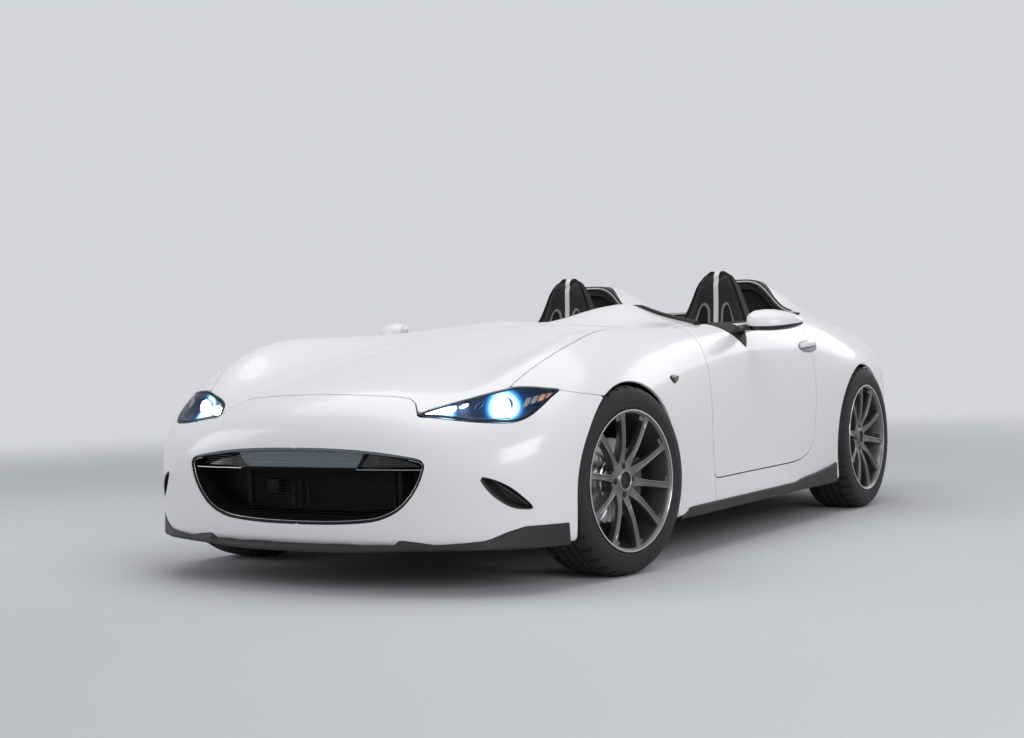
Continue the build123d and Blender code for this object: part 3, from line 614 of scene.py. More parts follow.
class Nodes:
    """A material's node tree, with short ways to add and link nodes."""

    def __init__(self, name: str) -> None:
        """Start a material with a bare surface shader.

        Args:
            name: The material's name.
        """
        self.material = bpy.data.materials.new(name)
        self.material.use_nodes = True
        self.tree = self.material.node_tree
        self.shader = self.tree.nodes["Principled BSDF"]
        coordinates = self.tree.nodes.new("ShaderNodeTexCoord")
        self.place = coordinates.outputs["Object"]

    def add(self, kind: str, **values: object) -> bpy.types.Node:
        """New node.

        Args:
            kind: Node type without its ShaderNode prefix.
            values: Settings by attribute name, or socket values by socket name.

        Returns:
            The node.
        """
        node = self.tree.nodes.new("ShaderNode" + kind)
        for key, value in values.items():
            if key in node.inputs:
                node.inputs[key].default_value = value
            else:
                setattr(node, key, value)
        return node

    def link(self, source: Socket, target: Socket) -> None:
        """Join two sockets."""
        self.tree.links.new(source, target)

    def set(self, **values: object) -> None:
        """Set the shader's sockets; underscores stand for spaces."""
        for key, value in values.items():
            self.shader.inputs[key.replace("_", " ")].default_value = value

    def noise(self, scale: float, detail: float = 2, stretch: Point = (1, 1, 1)) -> Socket:
        """Noise in the piece's own space.

        Args:
            scale: Grains to a metre.
            detail: Octaves.
            stretch: Scale along each axis.

        Returns:
            The noise's strength.
        """
        source = self.place
        if stretch != (1, 1, 1):
            mapping = self.add("Mapping", Scale=stretch)
            self.link(self.place, mapping.inputs["Vector"])
            source = mapping.outputs["Vector"]
        node = self.add("TexNoise", Scale=scale, Detail=detail)
        self.link(source, node.inputs["Vector"])
        return node.outputs["Fac"]

    def spread(
            self, source: Socket, span: Pair, low: float, high: float,
            kind: str = "LINEAR") -> Socket:
        """Spread a strength between two values.

        Args:
            source: The strength.
            span: The part of the strength that is used.
            low: Value at the span's start.
            high: Value at its end.
            kind: How the values run between the two.

        Returns:
            The value.
        """
        node = self.add("MapRange", interpolation_type=kind)
        for name, value in zip(("From Min", "From Max", "To Min", "To Max"), (*span, low, high)):
            node.inputs[name].default_value = value
        self.link(source, node.inputs["Value"])
        return node.outputs["Result"]

    def combine(self, kind: str, first: Socket, second: Socket) -> Socket:
        """Value of a sum or a product of two values."""
        node = self.add("Math", operation=kind)
        self.link(first, node.inputs[0])
        self.link(second, node.inputs[1])
        return node.outputs[0]

    def ramp(
            self, source: Socket, target: str, low: float, high: float,
            span: Pair = (.35, .65)) -> None:
        """Spread a strength between two values of a socket.

        Args:
            source: The strength.
            target: The shader's socket.
            low: Value at the span's start.
            high: Value at its end.
            span: The part of the strength that is used.
        """
        self.link(self.spread(source, span, low, high), self.shader.inputs[target])

    def tint(
            self, source: Socket, low: Sequence[float], high: Sequence[float],
            span: Pair = (.35, .65)) -> None:
        """Spread a strength between two colours.

        Args:
            source: The strength.
            low: Colour at the span's start.
            high: Colour at its end.
            span: The part of the strength that is used.
        """
        node = self.add("ValToRGB")
        for element, at, colour in zip(node.color_ramp.elements, span, (low, high)):
            element.position, element.color = at, (*colour, 1)
        self.link(source, node.inputs["Fac"])
        self.link(node.outputs["Color"], self.shader.inputs["Base Color"])

    def bump(self, source: Socket, strength: float, depth: float) -> None:
        """Relief from a strength.

        Args:
            source: The strength.
            strength: Share of the full relief.
            depth: Height of the full relief in metres.
        """
        node = self.add("Bump", Strength=strength, Distance=depth)
        self.link(source, node.inputs["Height"])
        self.link(node.outputs["Normal"], self.shader.inputs["Normal"])


class Finish:
    """A finish that is made once and shared."""

    made: dict[str, bpy.types.Material] = {}

    @property
    def label(self) -> str:
        """The material's name."""
        return getattr(self, "name", type(self).__name__)

    def material(self) -> bpy.types.Material:
        """The finish's material, made on first use."""
        if self.label not in self.made:
            nodes = Nodes(self.label)
            self.build(nodes)
            self.made[self.label] = nodes.material
        return self.made[self.label]

    def build(self, nodes: Nodes) -> None:
        """Fill the node tree."""
        raise NotImplementedError


@dataclass(frozen=True)
class PearlPaint(Finish):
    """Satin pearl white with fine flakes under a clear coat."""

    colour: Point = (.74, .745, .75)
    flake: Point = (.8, .8, .8)
    roughness: Pair = (.3, .36)

    def build(self, nodes: Nodes) -> None:
        """Fill the node tree."""
        nodes.tint(nodes.noise(900, 1), self.colour, self.flake)
        nodes.ramp(nodes.noise(3, 3), "Roughness", *self.roughness)
        nodes.set(Coat_Weight=.55, Coat_Roughness=.1, Coat_IOR=1.5, Specular_IOR_Level=.5)


@dataclass(frozen=True)
class Plain(Finish):
    """A painted, moulded or cast surface with fine grain."""

    name: str = "plain"
    colour: Point = (.02, .02, .022)
    shade: float = .7
    roughness: Pair = (.4, .5)
    metallic: float = 0.0
    grain: float = 600
    relief: float = 0.0
    coat: float = 0.0
    stretch: Point = (1, 1, 1)
    specular: float = .5

    def build(self, nodes: Nodes) -> None:
        """Fill the node tree."""
        grain = nodes.noise(self.grain, 3, self.stretch)
        nodes.tint(grain, [c * self.shade for c in self.colour], self.colour)
        nodes.ramp(grain, "Roughness", *self.roughness)
        nodes.set(
            Metallic=self.metallic, Coat_Weight=self.coat, Coat_Roughness=.08,
            Specular_IOR_Level=self.specular)
        if self.relief:
            nodes.bump(grain, .6, self.relief)


@dataclass(frozen=True)
class FloorPaint(Finish):
    """Pale floor that passes into the colour of the background far from the car."""

    name: str = "floor_paint"
    colour: Point = (.6, .61, .63)
    far: Point = (.93, .95, 1.0)
    glow: float = .7
    fade: Pair = (3.0, 11.0)

    def build(self, nodes: Nodes) -> None:
        """Fill the node tree."""
        away = nodes.add("VectorMath", operation="LENGTH")
        nodes.link(nodes.place, away.inputs[0])
        shares = [
            nodes.spread(away.outputs["Value"], self.fade, start, 1 - start, "SMOOTHERSTEP")
            for start in (0, 1)]
        glow = nodes.add("Math", operation="MULTIPLY")
        nodes.link(shares[0], glow.inputs[0])
        glow.inputs[1].default_value = self.glow
        nodes.link(glow.outputs[0], nodes.shader.inputs["Emission Strength"])
        base = nodes.add("VectorMath", operation="SCALE")
        base.inputs[0].default_value = self.colour
        nodes.link(shares[1], base.inputs["Scale"])
        nodes.link(base.outputs[0], nodes.shader.inputs["Base Color"])
        nodes.ramp(nodes.noise(3), "Roughness", .7, .8)
        nodes.set(Emission_Color=(*self.far, 1), Specular_IOR_Level=0.0)


@dataclass(frozen=True)
class Glass(Finish):
    """Clear moulded glass."""

    name: str = "clear_glass"
    colour: Point = (1, 1, 1)
    roughness: Pair = (0.0, .02)

    def build(self, nodes: Nodes) -> None:
        """Fill the node tree."""
        nodes.tint(nodes.noise(40), [c * .98 for c in self.colour], self.colour)
        nodes.ramp(nodes.noise(20), "Roughness", *self.roughness)
        nodes.set(Transmission_Weight=1.0, IOR=1.05, Specular_IOR_Level=.25)


@dataclass(frozen=True)
class Glow(Finish):
    """A lit lamp part."""

    name: str = "lamp_glow"
    colour: Point = (.55, .8, 1.0)
    strength: float = 6

    def build(self, nodes: Nodes) -> None:
        """Fill the node tree."""
        nodes.tint(nodes.noise(300), [c * .95 for c in self.colour], self.colour)
        nodes.ramp(nodes.noise(80), "Roughness", .1, .2)
        nodes.set(Emission_Color=(*self.colour, 1), Emission_Strength=self.strength)


@dataclass(frozen=True)
class Weave(Finish):
    """Woven cloth with crossing threads."""

    name: str = "seat_cloth"
    colour: Point = (.006, .006, .007)
    light: Point = (.022, .022, .024)
    thread: float = 420
    sheen: float = .08

    def build(self, nodes: Nodes) -> None:
        """Fill the node tree."""
        mapping = nodes.add("Mapping", Rotation=(.6, .5, .78))
        nodes.link(nodes.place, mapping.inputs["Vector"])
        weave = nodes.add("TexVoronoi", Scale=self.thread, Randomness=.15)
        nodes.link(mapping.outputs["Vector"], weave.inputs["Vector"])
        nodes.tint(weave.outputs["Distance"], self.light, self.colour, (.1, .6))
        nodes.ramp(nodes.noise(60), "Roughness", .75, .9)
        nodes.set(Sheen_Weight=self.sheen, Sheen_Roughness=.4)
        nodes.bump(weave.outputs["Distance"], .5, .0008)


class Paint(Enum):
    """The finishes by use."""

    BODY = PearlPaint()
    GLOSS_BLACK = Plain("gloss_black", (.006, .006, .007), .8, (.1, .16), coat=.2)
    MATT_BLACK = Plain(
        "moulded_black", (.014, .014, .015), .75, (.5, .62), grain=1400, relief=.0003)
    RUBBER = Plain("tyre_rubber", (.012, .012, .0125), .75, (.62, .78), grain=900, relief=.0004)
    GUNMETAL = Plain("gunmetal", (.2, .196, .192), .9, (.3, .38), metallic=.9, coat=.25)
    DARK_BAR = Plain(
        "blued_alloy", (.17, .205, .222), .85, (.26, .36), metallic=.85, grain=260,
        stretch=(.02, 1, 6))
    BRIGHT = Plain("bright_alloy", (.62, .62, .63), .92, (.16, .24), metallic=1.0)
    BRUSHED = Plain(
        "brushed_alloy", (.42, .43, .44), .72, (.28, .42), metallic=1.0, grain=260,
        stretch=(.02, 1, 6))
    STEEL = Plain("turned_steel", (.5, .5, .5), .85, (.28, .4), metallic=1.0, grain=300)
    CAST = Plain("cast_metal", (.2, .2, .205), .75, (.5, .62), metallic=.8, grain=260, relief=.0006)
    SILVER = Plain("caliper_silver", (.52, .52, .53), .88, (.32, .42), metallic=.75, grain=240)
    CHASSIS = Plain("chassis_paint", (.03, .031, .033), .8, (.45, .6), grain=120)
    CAST_BLACK = Plain(
        "cast_black", (.035, .035, .037), .7, (.4, .55), metallic=.3, grain=240, relief=.0005)
    TRIM = Plain(
        "cabin_trim", (.012, .012, .013), .75, (.58, .7), grain=1100, relief=.0005, specular=.3)
    CARPET = Plain("carpet", (.02, .02, .022), .5, (.9, 1.0), grain=1500, relief=.002)
    LEATHER = Plain(
        "black_leather", (.008, .0076, .0076), .8, (.46, .58), grain=700, relief=.0006, specular=.3)
    CARBON = Plain("seat_shell", (.006, .006, .0065), .8, (.5, .58), grain=500, specular=.25)
    STRIPE = Plain("white_stripe", (.7, .7, .69), .94, (.5, .6), grain=800, relief=.0003)
    GREY_EDGE = Plain("grey_edge", (.2, .2, .21), .9, (.35, .45))
    CLOTH = Weave()
    GLASS = Glass()
    RED_GLASS = Glass("red_glass", (.62, .02, .02))
    AMBER = Plain("amber_reflector", (.45, .13, .03), .6, (.12, .2), grain=260, coat=.6)
    RED = Plain("red_reflector", (.35, .01, .012), .6, (.12, .2), grain=260, coat=.6)
    LAMP_WHITE = Glow("lamp_white", (.75, .9, 1.0), 9)
    LAMP_CHROME = Plain("lamp_chrome", (.62, .66, .72), .92, (.05, .1), metallic=1.0)
    CLEAR_FACET = Plain("clear_facet", (.16, .17, .19), .6, (.1, .16), metallic=.7, grain=600)
    SATIN_METAL = Plain("satin_metal", (.34, .34, .35), .9, (.32, .42), metallic=.9, grain=400)
    TANK = Plain("milky_plastic", (.62, .61, .56), .92, (.4, .5), grain=200)
    TAIL_GLOW = Glow("tail_glow", (1.0, .03, .02), .7)
    LAMP_TRIM = Plain("lamp_trim", (.06, .16, .34), .92, (.15, .25), metallic=.8)
    SATIN_BLACK = Plain("satin_black", (.004, .004, .0045), .8, (.5, .6), grain=500, specular=.2)
    CORE = Plain("cooler_core", (.012, .012, .013), .5, (.5, .6), metallic=.4, grain=500)

    @property
    def material(self) -> bpy.types.Material:
        """The finish's material."""
        return self.value.material()


# --- Making pieces -------------------------------------------------------------------------------

class Shop:
    """Makes, joins and hands in pieces."""

    @staticmethod
    def from_arrays(name: str, points: Array, faces: Sequence[Sequence[int]]) -> Piece:
        """Piece from points in the body's measure.

        Args:
            name: The piece's name.
            points: Points, one a row, with y from the front axle.
            faces: Corner indices.

        Returns:
            The piece, in the frame's measure.
        """
        mesh = bpy.data.meshes.new(name)
        moved = np.asarray(points, float) + (0, AXLE_Y, 0)
        mesh.from_pydata(moved.tolist(), [], [tuple(f) for f in faces])
        mesh.update()
        piece = bpy.data.objects.new(name, mesh)
        bpy.context.scene.collection.objects.link(piece)
        return piece

    @staticmethod
    def only(piece: Piece) -> None:
        """Make a piece the one that operators act on."""
        bpy.ops.object.select_all(action="DESELECT")
        piece.select_set(True)
        bpy.context.view_layer.objects.active = piece

    @classmethod
    def modify(cls, piece: Piece, kind: str, **values: object) -> None:
        """Add a modifier and apply it.

        Args:
            piece: The piece.
            kind: Modifier type.
            values: Its settings.
        """
        cls.only(piece)
        modifier = piece.modifiers.new(kind.lower(), kind)
        for key, value in values.items():
            setattr(modifier, key, value)
        bpy.ops.object.modifier_apply(modifier=modifier.name)

    @classmethod
    def tidy(cls, piece: Piece, merge: float = 1e-5, outward: bool = True) -> None:
        """Merge doubles and turn the faces outwards.

        Args:
            piece: The piece.
            merge: Distance under which points are merged.
            outward: Whether normals are recalculated.
        """
        bm = bmesh.new()
        bm.from_mesh(piece.data)
        bmesh.ops.remove_doubles(bm, verts=bm.verts, dist=merge)
        bmesh.ops.dissolve_degenerate(bm, edges=bm.edges, dist=merge)
        if outward:
            bmesh.ops.recalc_face_normals(bm, faces=bm.faces)
        bm.to_mesh(piece.data)
        bm.free()

    @classmethod
    def round_off(cls, piece: Piece, angle: float = 35) -> None:
        """Shade smooth, with edges over an angle kept sharp."""
        cls.only(piece)
        bpy.ops.object.shade_smooth_by_angle(angle=math.radians(angle))

    @classmethod
    def mirrored(cls, piece: Piece, name: str) -> Piece:
        """Copy on the car's other side.

        Args:
            piece: The piece on the left.
            name: The copy's name.

        Returns:
            The copy.
        """
        copy = piece.copy()
        copy.data = piece.data.copy()
        copy.name = name
        bpy.context.scene.collection.objects.link(copy)
        copy.data.transform(Matrix.Diagonal((-1, 1, 1, 1)))
        copy.data.flip_normals()
        return copy

    @classmethod
    def join(cls, name: str, pieces: Sequence[Piece]) -> Piece:
        """Join pieces of one finish into one.

        Args:
            name: The joined piece's name.
            pieces: What is joined.

        Returns:
            The joined piece.
        """
        cls.only(pieces[0])
        for piece in pieces[1:]:
            piece.select_set(True)
        bpy.ops.object.join()
        pieces[0].name = name
        pieces[0].data.name = name
        return pieces[0]

    @classmethod
    def hand_in_both(
            cls, left: Piece, name: str, body: str, paint: Paint, slot: str, node: str = "",
            angle: float = 35) -> tuple[Piece, Piece]:
        """Hand in a left piece and its mirror image.

        Args:
            left: The left piece.
            name: Name of the pair.
            body: The carrying body, with braces where its side stands.
            paint: Their finish.
            slot: The record's material slot.
            node: Frame node that they stand for, without its side.
            angle: Angle over which edges stay sharp.

        Returns:
            Both pieces.
        """
        right = cls.mirrored(left, f"{name}_right")
        left.name = f"{name}_left"
        for piece, side in ((left, "left"), (right, "right")):
            cls.hand_in(
                piece, body.format(side), paint, slot, [f"{node}_{side}"] if node else [], angle)
        return left, right

    @classmethod
    def hand_in(
            cls, piece: Piece, body: str, paint: Paint, slot: str, replaces: Sequence[str] = (),
            angle: float = 35) -> Piece:
        """Dress a finished piece and let it ride on its body.

        Args:
            piece: The piece.
            body: The frame's body that carries it.
            paint: Its finish.
            slot: The record's material slot; not used.
            replaces: Frame nodes that it stands for.
            angle: Angle over which edges stay sharp.

        Returns:
            The piece.
        """
        piece.data.materials.clear()
        piece.data.materials.append(paint.material)
        cls.round_off(piece, angle)
        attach(piece, body)
        if replaces:
            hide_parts(*replaces)
        log.info("%s: %d faces on %s", piece.name, len(piece.data.polygons), body)
        return piece


# --- Body panels ---------------------------------------------------------------------------------

SHUT = 0.0022       # half the gap between two panels
BONNET_EDGE = (
    (0.0, -.574), (.09, -.573), (.17, -.569), (.24, -.558), (.295, -.543), (.335, -.534),
    (.365, -.548), (.4, -.59), (.5, -.535), (.575, -.45), (.618, -.392), (.634, -.344),
    (.652, -.29), (.669, -.235), (.681, -.16), (.688, -.08), (.685, 0.0), (.678, .08), (.668, .16),
    (.658, .26), (.65, .36), (.647, .46), (.648, .56), (.64, .63), (.58, .648), (.4, .656),
    (.2, .66), (0.0, .661))
LAMP_EDGE = (
    (.405, .558), (.412, .569), (.436, .581), (.472, .594), (.515, .607), (.561, .62), (.605, .631),
    (.64, .638), (.687, .637), (.726, .632), (.758, .626), (.752, .604), (.742, .577), (.727, .552),
    (.706, .537), (.675, .531), (.613, .533), (.549, .539), (.495, .546), (.447, .552), (.42, .554))
MOUTH_EDGE = (
    (0, .463), (.14, .461), (.28, .453), (.4, .438), (.455, .427), (.472, .412), (.47, .39),
    (.455, .35), (.425, .305), (.385, .268), (.335, .243), (.27, .228), (.14, .219), (0, .217))
DUCT_EDGE = (
    (.63, .368), (.66, .364), (.698, .344), (.73, .313), (.757, .268), (.715, .27), (.678, .296),
    (.65, .328))
DOOR_EDGE = (
    (.668, .95), (.668, .6), (.668, .4), (.668, .3), (.672, .277), (.688, .266), (.72, .264),
    (1.0, .264), (1.3, .264), (1.46, .265), (1.55, .272), (1.62, .29), (1.67, .32), (1.7, .37),
    (1.722, .48), (1.735, .6), (1.742, .7), (1.748, .95))
FRONT_ARCH = (-.005, .297, .345)
REAR_ARCH = (WHEELBASE - .012, .297, .349)
COWL_EDGE = (
    (0, .5), (.8, .5), (.8, .664), (.694, .664), (.694, .86), (.66, .885), (.6, .905), (.52, .918),
    (.44, .923), (.3, .925), (0, .925))
COCKPIT_EDGE = (
    (0, .6), (.694, .6), (.694, 1.93), (.685, 1.97), (.664, 2.0), (.642, 2.03), (.64, 2.12),
    (.585, 2.575), (0, 2.575))
DECK_EDGE = ((0, 2.022), (.636, 2.022), (.636, 2.12), (.58, 2.571), (0, 2.571))
LID_EDGE = ((-.05, 2.577), (.577, 2.577), (.512, 3.3), (-.05, 3.3))
SEAM_Z = .602
TAIL_LAMP = ((.592, .655), .053, .042)
PLATE_BAY = ((-.27, .4), (.27, .4), (.27, .535), (-.27, .535))
PIPE_NOTCH = ((-.48, .05), (-.28, .05), (-.28, .285), (-.295, .3), (-.465, .3), (-.48, .285))


def loop(points: Sequence[Pair], parts: int = 5) -> tuple[Pair, ...]:
    """Closed smooth outline through a few points."""
    return tuple(smooth(points, parts, closed=True))


def arch(centre_y: float, centre_z: float, radius: float, straight: bool) -> Region:
    """Wheel opening seen from the side.

    Args:
        centre_y: The arch's centre along the car.
        centre_z: The centre's height.
        radius: The arch's radius.
        straight: Whether the sides drop straight below the centre.

    Returns:
        The region.
    """
    round_part = disc(View.SIDE, (centre_y, centre_z), radius)
    if not straight:
        return round_part

    def region(p: Array) -> Array:
        """Round above the centre, straight below it."""
        below = np.abs(p[:, 1] - centre_y) - radius
        return np.where(p[:, 2] < centre_z, below, round_part(p))

    return region


def slot_region(centre: Pair, half: float, radius: float) -> Region:
    """Slot with round ends, seen from behind, on both sides of the car."""

    def region(p: Array) -> Array:
        """Distance from the slot's middle line."""
        across = np.maximum(np.abs(np.abs(p[:, 0]) - centre[0]) - half, 0)
        return np.hypot(across, p[:, 2] - centre[1]) - radius

    return region


@dataclass
class Panels:
    """The painted panels, cut from the master surface so that every shut line is a real gap."""

    sheet: float = .009
    cell: float = .0125
    bonnet_edge: Outline = Outline(View.PLAN, BONNET_EDGE, True)
    lamp: Outline = Outline(View.FRONT, loop(LAMP_EDGE), True)
    mouth: Outline = Outline(View.FRONT, tuple(smooth(MOUTH_EDGE, 4)), True)
    duct: Outline = Outline(View.FRONT, loop(DUCT_EDGE), True)
    door: Outline = Outline(View.SIDE, DOOR_EDGE)
    cowl: Outline = Outline(View.PLAN, COWL_EDGE, True)
    cockpit: Outline = Outline(View.PLAN, COCKPIT_EDGE, True)
    deck: Outline = Outline(View.PLAN, DECK_EDGE, True)
    lid: Outline = Outline(View.PLAN, LID_EDGE, True)
    plate_bay: Outline = Outline(View.FRONT, PLATE_BAY)
    notch: Outline = Outline(View.FRONT, PIPE_NOTCH)

    def __post_init__(self) -> None:
        """Set up the shared regions."""
        self.front_arch = arch(*FRONT_ARCH, True)
        self.rear_arch = arch(*REAR_ARCH, False)
        self.tail_lamp = slot_region(*TAIL_LAMP)
        seam = ((-.42, .641), (-.33, .6275), (-.269, .614), (-.156, .599), (0, .592))
        self.nose_zone = Outline(View.SIDE, (
            (-.9, .05), (-.9, .72), (-.46, .72), (-.42, .66), *seam[1:], (0, .05)))
        self.wing_zone = Outline(View.SIDE, (
            (-.55, .641), (-.55, 1.1), (.6658, 1.1), (.6658, .05), (0, .05), *seam[::-1]))
        self.rear_zone = Outline(View.SIDE, (
            (.6702, .05), (.6702, 1.1), (3.4, 1.1), (3.4, SEAM_Z), (2.94, SEAM_Z), (2.656, .562),
            (2.64, .05)))
        self.tail_zone = Outline(View.SIDE, (
            (2.64, .05), (2.656, .562), (2.94, SEAM_Z), (3.4, SEAM_Z), (3.4, .05)))

    def panel(self, name: str, grid: Grid, region: Region, sheet: float = 0) -> Piece:
        """One panel with its thickness.

        Args:
            name: The piece's name.
            grid: Sight lines that cover it.
            region: Its outline.
            sheet: Thickness, or the usual one.

        Returns:
            The piece.
        """
        points, faces = SheetMetal(grid, region).mesh()
        piece = Shop.from_arrays(name, points, faces)
        Shop.tidy(piece, 2e-4, outward=False)
        self.face_out(piece)
        Shop.modify(piece, "SOLIDIFY", thickness=sheet or self.sheet, offset=-1)
        return piece

    @staticmethod
    def face_out(piece: Piece) -> None:
        """Turn an open skin so that it faces away from the car's middle."""
        bm = bmesh.new()
        bm.from_mesh(piece.data)
        bmesh.ops.recalc_face_normals(bm, faces=bm.faces)
        middle = Vector((0, AXLE_Y + 1.2, .3))
        lean = sum(
            (f.calc_center_median() - middle).dot(f.normal) * f.calc_area() for f in bm.faces)
        if lean < 0:
            bmesh.ops.reverse_faces(bm, faces=bm.faces)
        bm.to_mesh(piece.data)
        bm.free()

    def bonnet(self) -> None:
        """Bonnet with its two crests."""
        region = keep(lambda p: self.bonnet_edge(p) + SHUT, without(self.lamp, SHUT))
        grid = Grid(Aim.DOWN, (-.72, .72), (-.64, .69), (self.cell, self.cell))
        piece = self.panel("bonnet_skin", grid, region, .012)
        Shop.hand_in(piece, "bonnet_panel", Paint.BODY, "body_paint", ["bonnet"])

    def nose(self) -> None:
        """Nose panel round the mouth, the ducts and the lamps."""
        region = keep(
            lambda p: self.nose_zone(p) + SHUT, without(self.bonnet_edge, SHUT),
            without(self.lamp, SHUT), without(self.mouth, 0), without(self.duct, 0),
            without(self.front_arch, 0))
        grid = Grid(Aim.FAN, (-1.45, 1.45), (-.34, .5), (.0125, .0125), (0, .02, .36))
        piece = self.panel("nose_panel", grid, region)
        Shop.hand_in(piece, "body", Paint.BODY, "body_paint", ["front_bumper"])

    def wings(self) -> None:
        """Front wings, one made and one mirrored."""
        region = keep(
            lambda p: self.wing_zone(p), without(self.bonnet_edge, SHUT), without(self.lamp, SHUT),
            without(self.front_arch, 0), behind(0, .3),
            lambda p: np.minimum(.6542 - p[:, 0], p[:, 1] - .6))
        grid = Grid(Aim.ROUND, (-.52, .7), (-.55, 1.75), (self.cell, .024), (.36, 0, .4))
        left = self.panel("wing_skin_left", grid, region)
        Shop.hand_in_both(left, "wing_skin", "body", Paint.BODY, "body_paint", "front_wing")

    def scuttle(self) -> None:
        """Panel between the bonnet and the cockpit, with the driver's hump."""
        region = keep(self.cowl, without(self.bonnet_edge, SHUT), without(self.wing_zone_plan, 0))
        grid = Grid(Aim.DOWN, (-.72, .72), (.6, .95), (self.cell, self.cell))
        piece = self.panel("scuttle_skin", grid, region)
        Shop.hand_in(piece, "body", Paint.BODY, "body_paint", ["cowl_panel"])

    @staticmethod
    def wing_zone_plan(p: Array) -> Array:
        """Plan region that the wings hold ahead of the doors."""
        return np.maximum(np.maximum(.65 - np.abs(p[:, 0]), p[:, 1] - .668), .3 - p[:, 1])

    def doors(self) -> None:
        """Doors as thick as the whole wall, closed on their inner side."""
        region = keep(lambda p: self.door(p) + SHUT, behind(0, .6995))
        grid = Grid(Aim.ROUND, (.64, 1.78), (-.42, 1.45), (self.cell, .022), (.36, 0, .4))
        points, faces = SheetMetal(grid, region).mesh()
        skin = Shop.from_arrays("door_skin_left", points, faces)
        Shop.tidy(skin, 2e-4, outward=False)
        self.face_out(skin)
        bm = bmesh.new()
        bm.from_mesh(skin.data)
        made = bmesh.ops.extrude_face_region(bm, geom=bm.faces[:])
        for vert in (item for item in made["geom"] if isinstance(item, bmesh.types.BMVert)):
            depth = max(0.0, vert.co.x - .7005)
            vert.co.x -= depth * .985
            vert.co.z -= .002 + .01 * max(0.0, 1 - depth / .08)
        bmesh.ops.recalc_face_normals(bm, faces=bm.faces)
        bm.to_mesh(skin.data)
        bm.free()
        Shop.hand_in_both(skin, "door_skin", "{}_door", Paint.BODY, "body_paint", "door")

    def quarters(self) -> None:
        """Rear quarters with the sills under the doors."""
        region = keep(
            self.rear_zone, without(self.door, SHUT), without(self.cockpit, 0),
            without(self.lid_clear, SHUT), without(self.tail_lamp, SHUT),
            without(self.rear_arch, 0), without(self.front_arch, 0), behind(0, .35))
        grid = Grid(Aim.TURNING, (.66, 3.6), (-.55, 1.55), (self.cell, .024), (.36, 2.62, .42))
        left = self.panel("quarter_skin_left", grid, region)
        Shop.hand_in_both(left, "quarter_skin", "body", Paint.BODY, "body_paint", "rear_quarter")

    def lid_clear(self, p: Array) -> Array:
        """The lid's and the deck's plan region, which the quarters leave free."""
        return np.maximum(self.lid(p), SEAM_Z - p[:, 2])

    def rear_deck(self) -> None:
        """Deck with the two fairings, open to the front."""
        region = keep(self.deck)
        grid = Grid(Aim.DOWN, (-.66, .66), (2.022, 2.59), (.0095, .0095))
        piece = self.panel("deck_skin", grid, region)
        Shop.hand_in(piece, "body", Paint.BODY, "body_paint", ["rear_deck"])

    def boot(self) -> None:
        """Boot lid, from the deck down over the tail's edge."""
        region = keep(
            lambda p: self.lid(p) + SHUT, behind(2, SEAM_Z + SHUT), without(self.tail_lamp, SHUT))
        grid = Grid(Aim.OVER, (-.6, .6), (-.95, 1.45), (self.cell, .022), (0, 2.78, .38))
        piece = self.panel("boot_skin", grid, region)
        Shop.hand_in(piece, "boot", Paint.BODY, "body_paint", ["boot_lid"])

    def tail(self) -> None:
        """Tail panel with the plate's bay."""
        region = keep(
            lambda p: self.tail_zone(p) + SHUT, without(self.tail_lamp, SHUT),
            without(self.rear_arch, 0), without(self.notch, 0), without(self.plate_bay, 0))
        grid = Grid(Aim.FAN_BACK, (-1.45, 1.45), (-.45, .5), (.0135, .0135), (0, 2.5, .4))
        piece = self.panel("tail_panel", grid, region)
        Shop.hand_in(piece, "body", Paint.BODY, "body_paint", ["rear_bumper"])

    def make(self) -> None:
        """Cut every panel."""
        self.bonnet()
        self.nose()
        self.wings()
        self.scuttle()
        self.doors()
        self.quarters()
        self.rear_deck()
        self.boot()
        self.tail()


# --- Shaping by hand -----------------------------------------------------------------------------

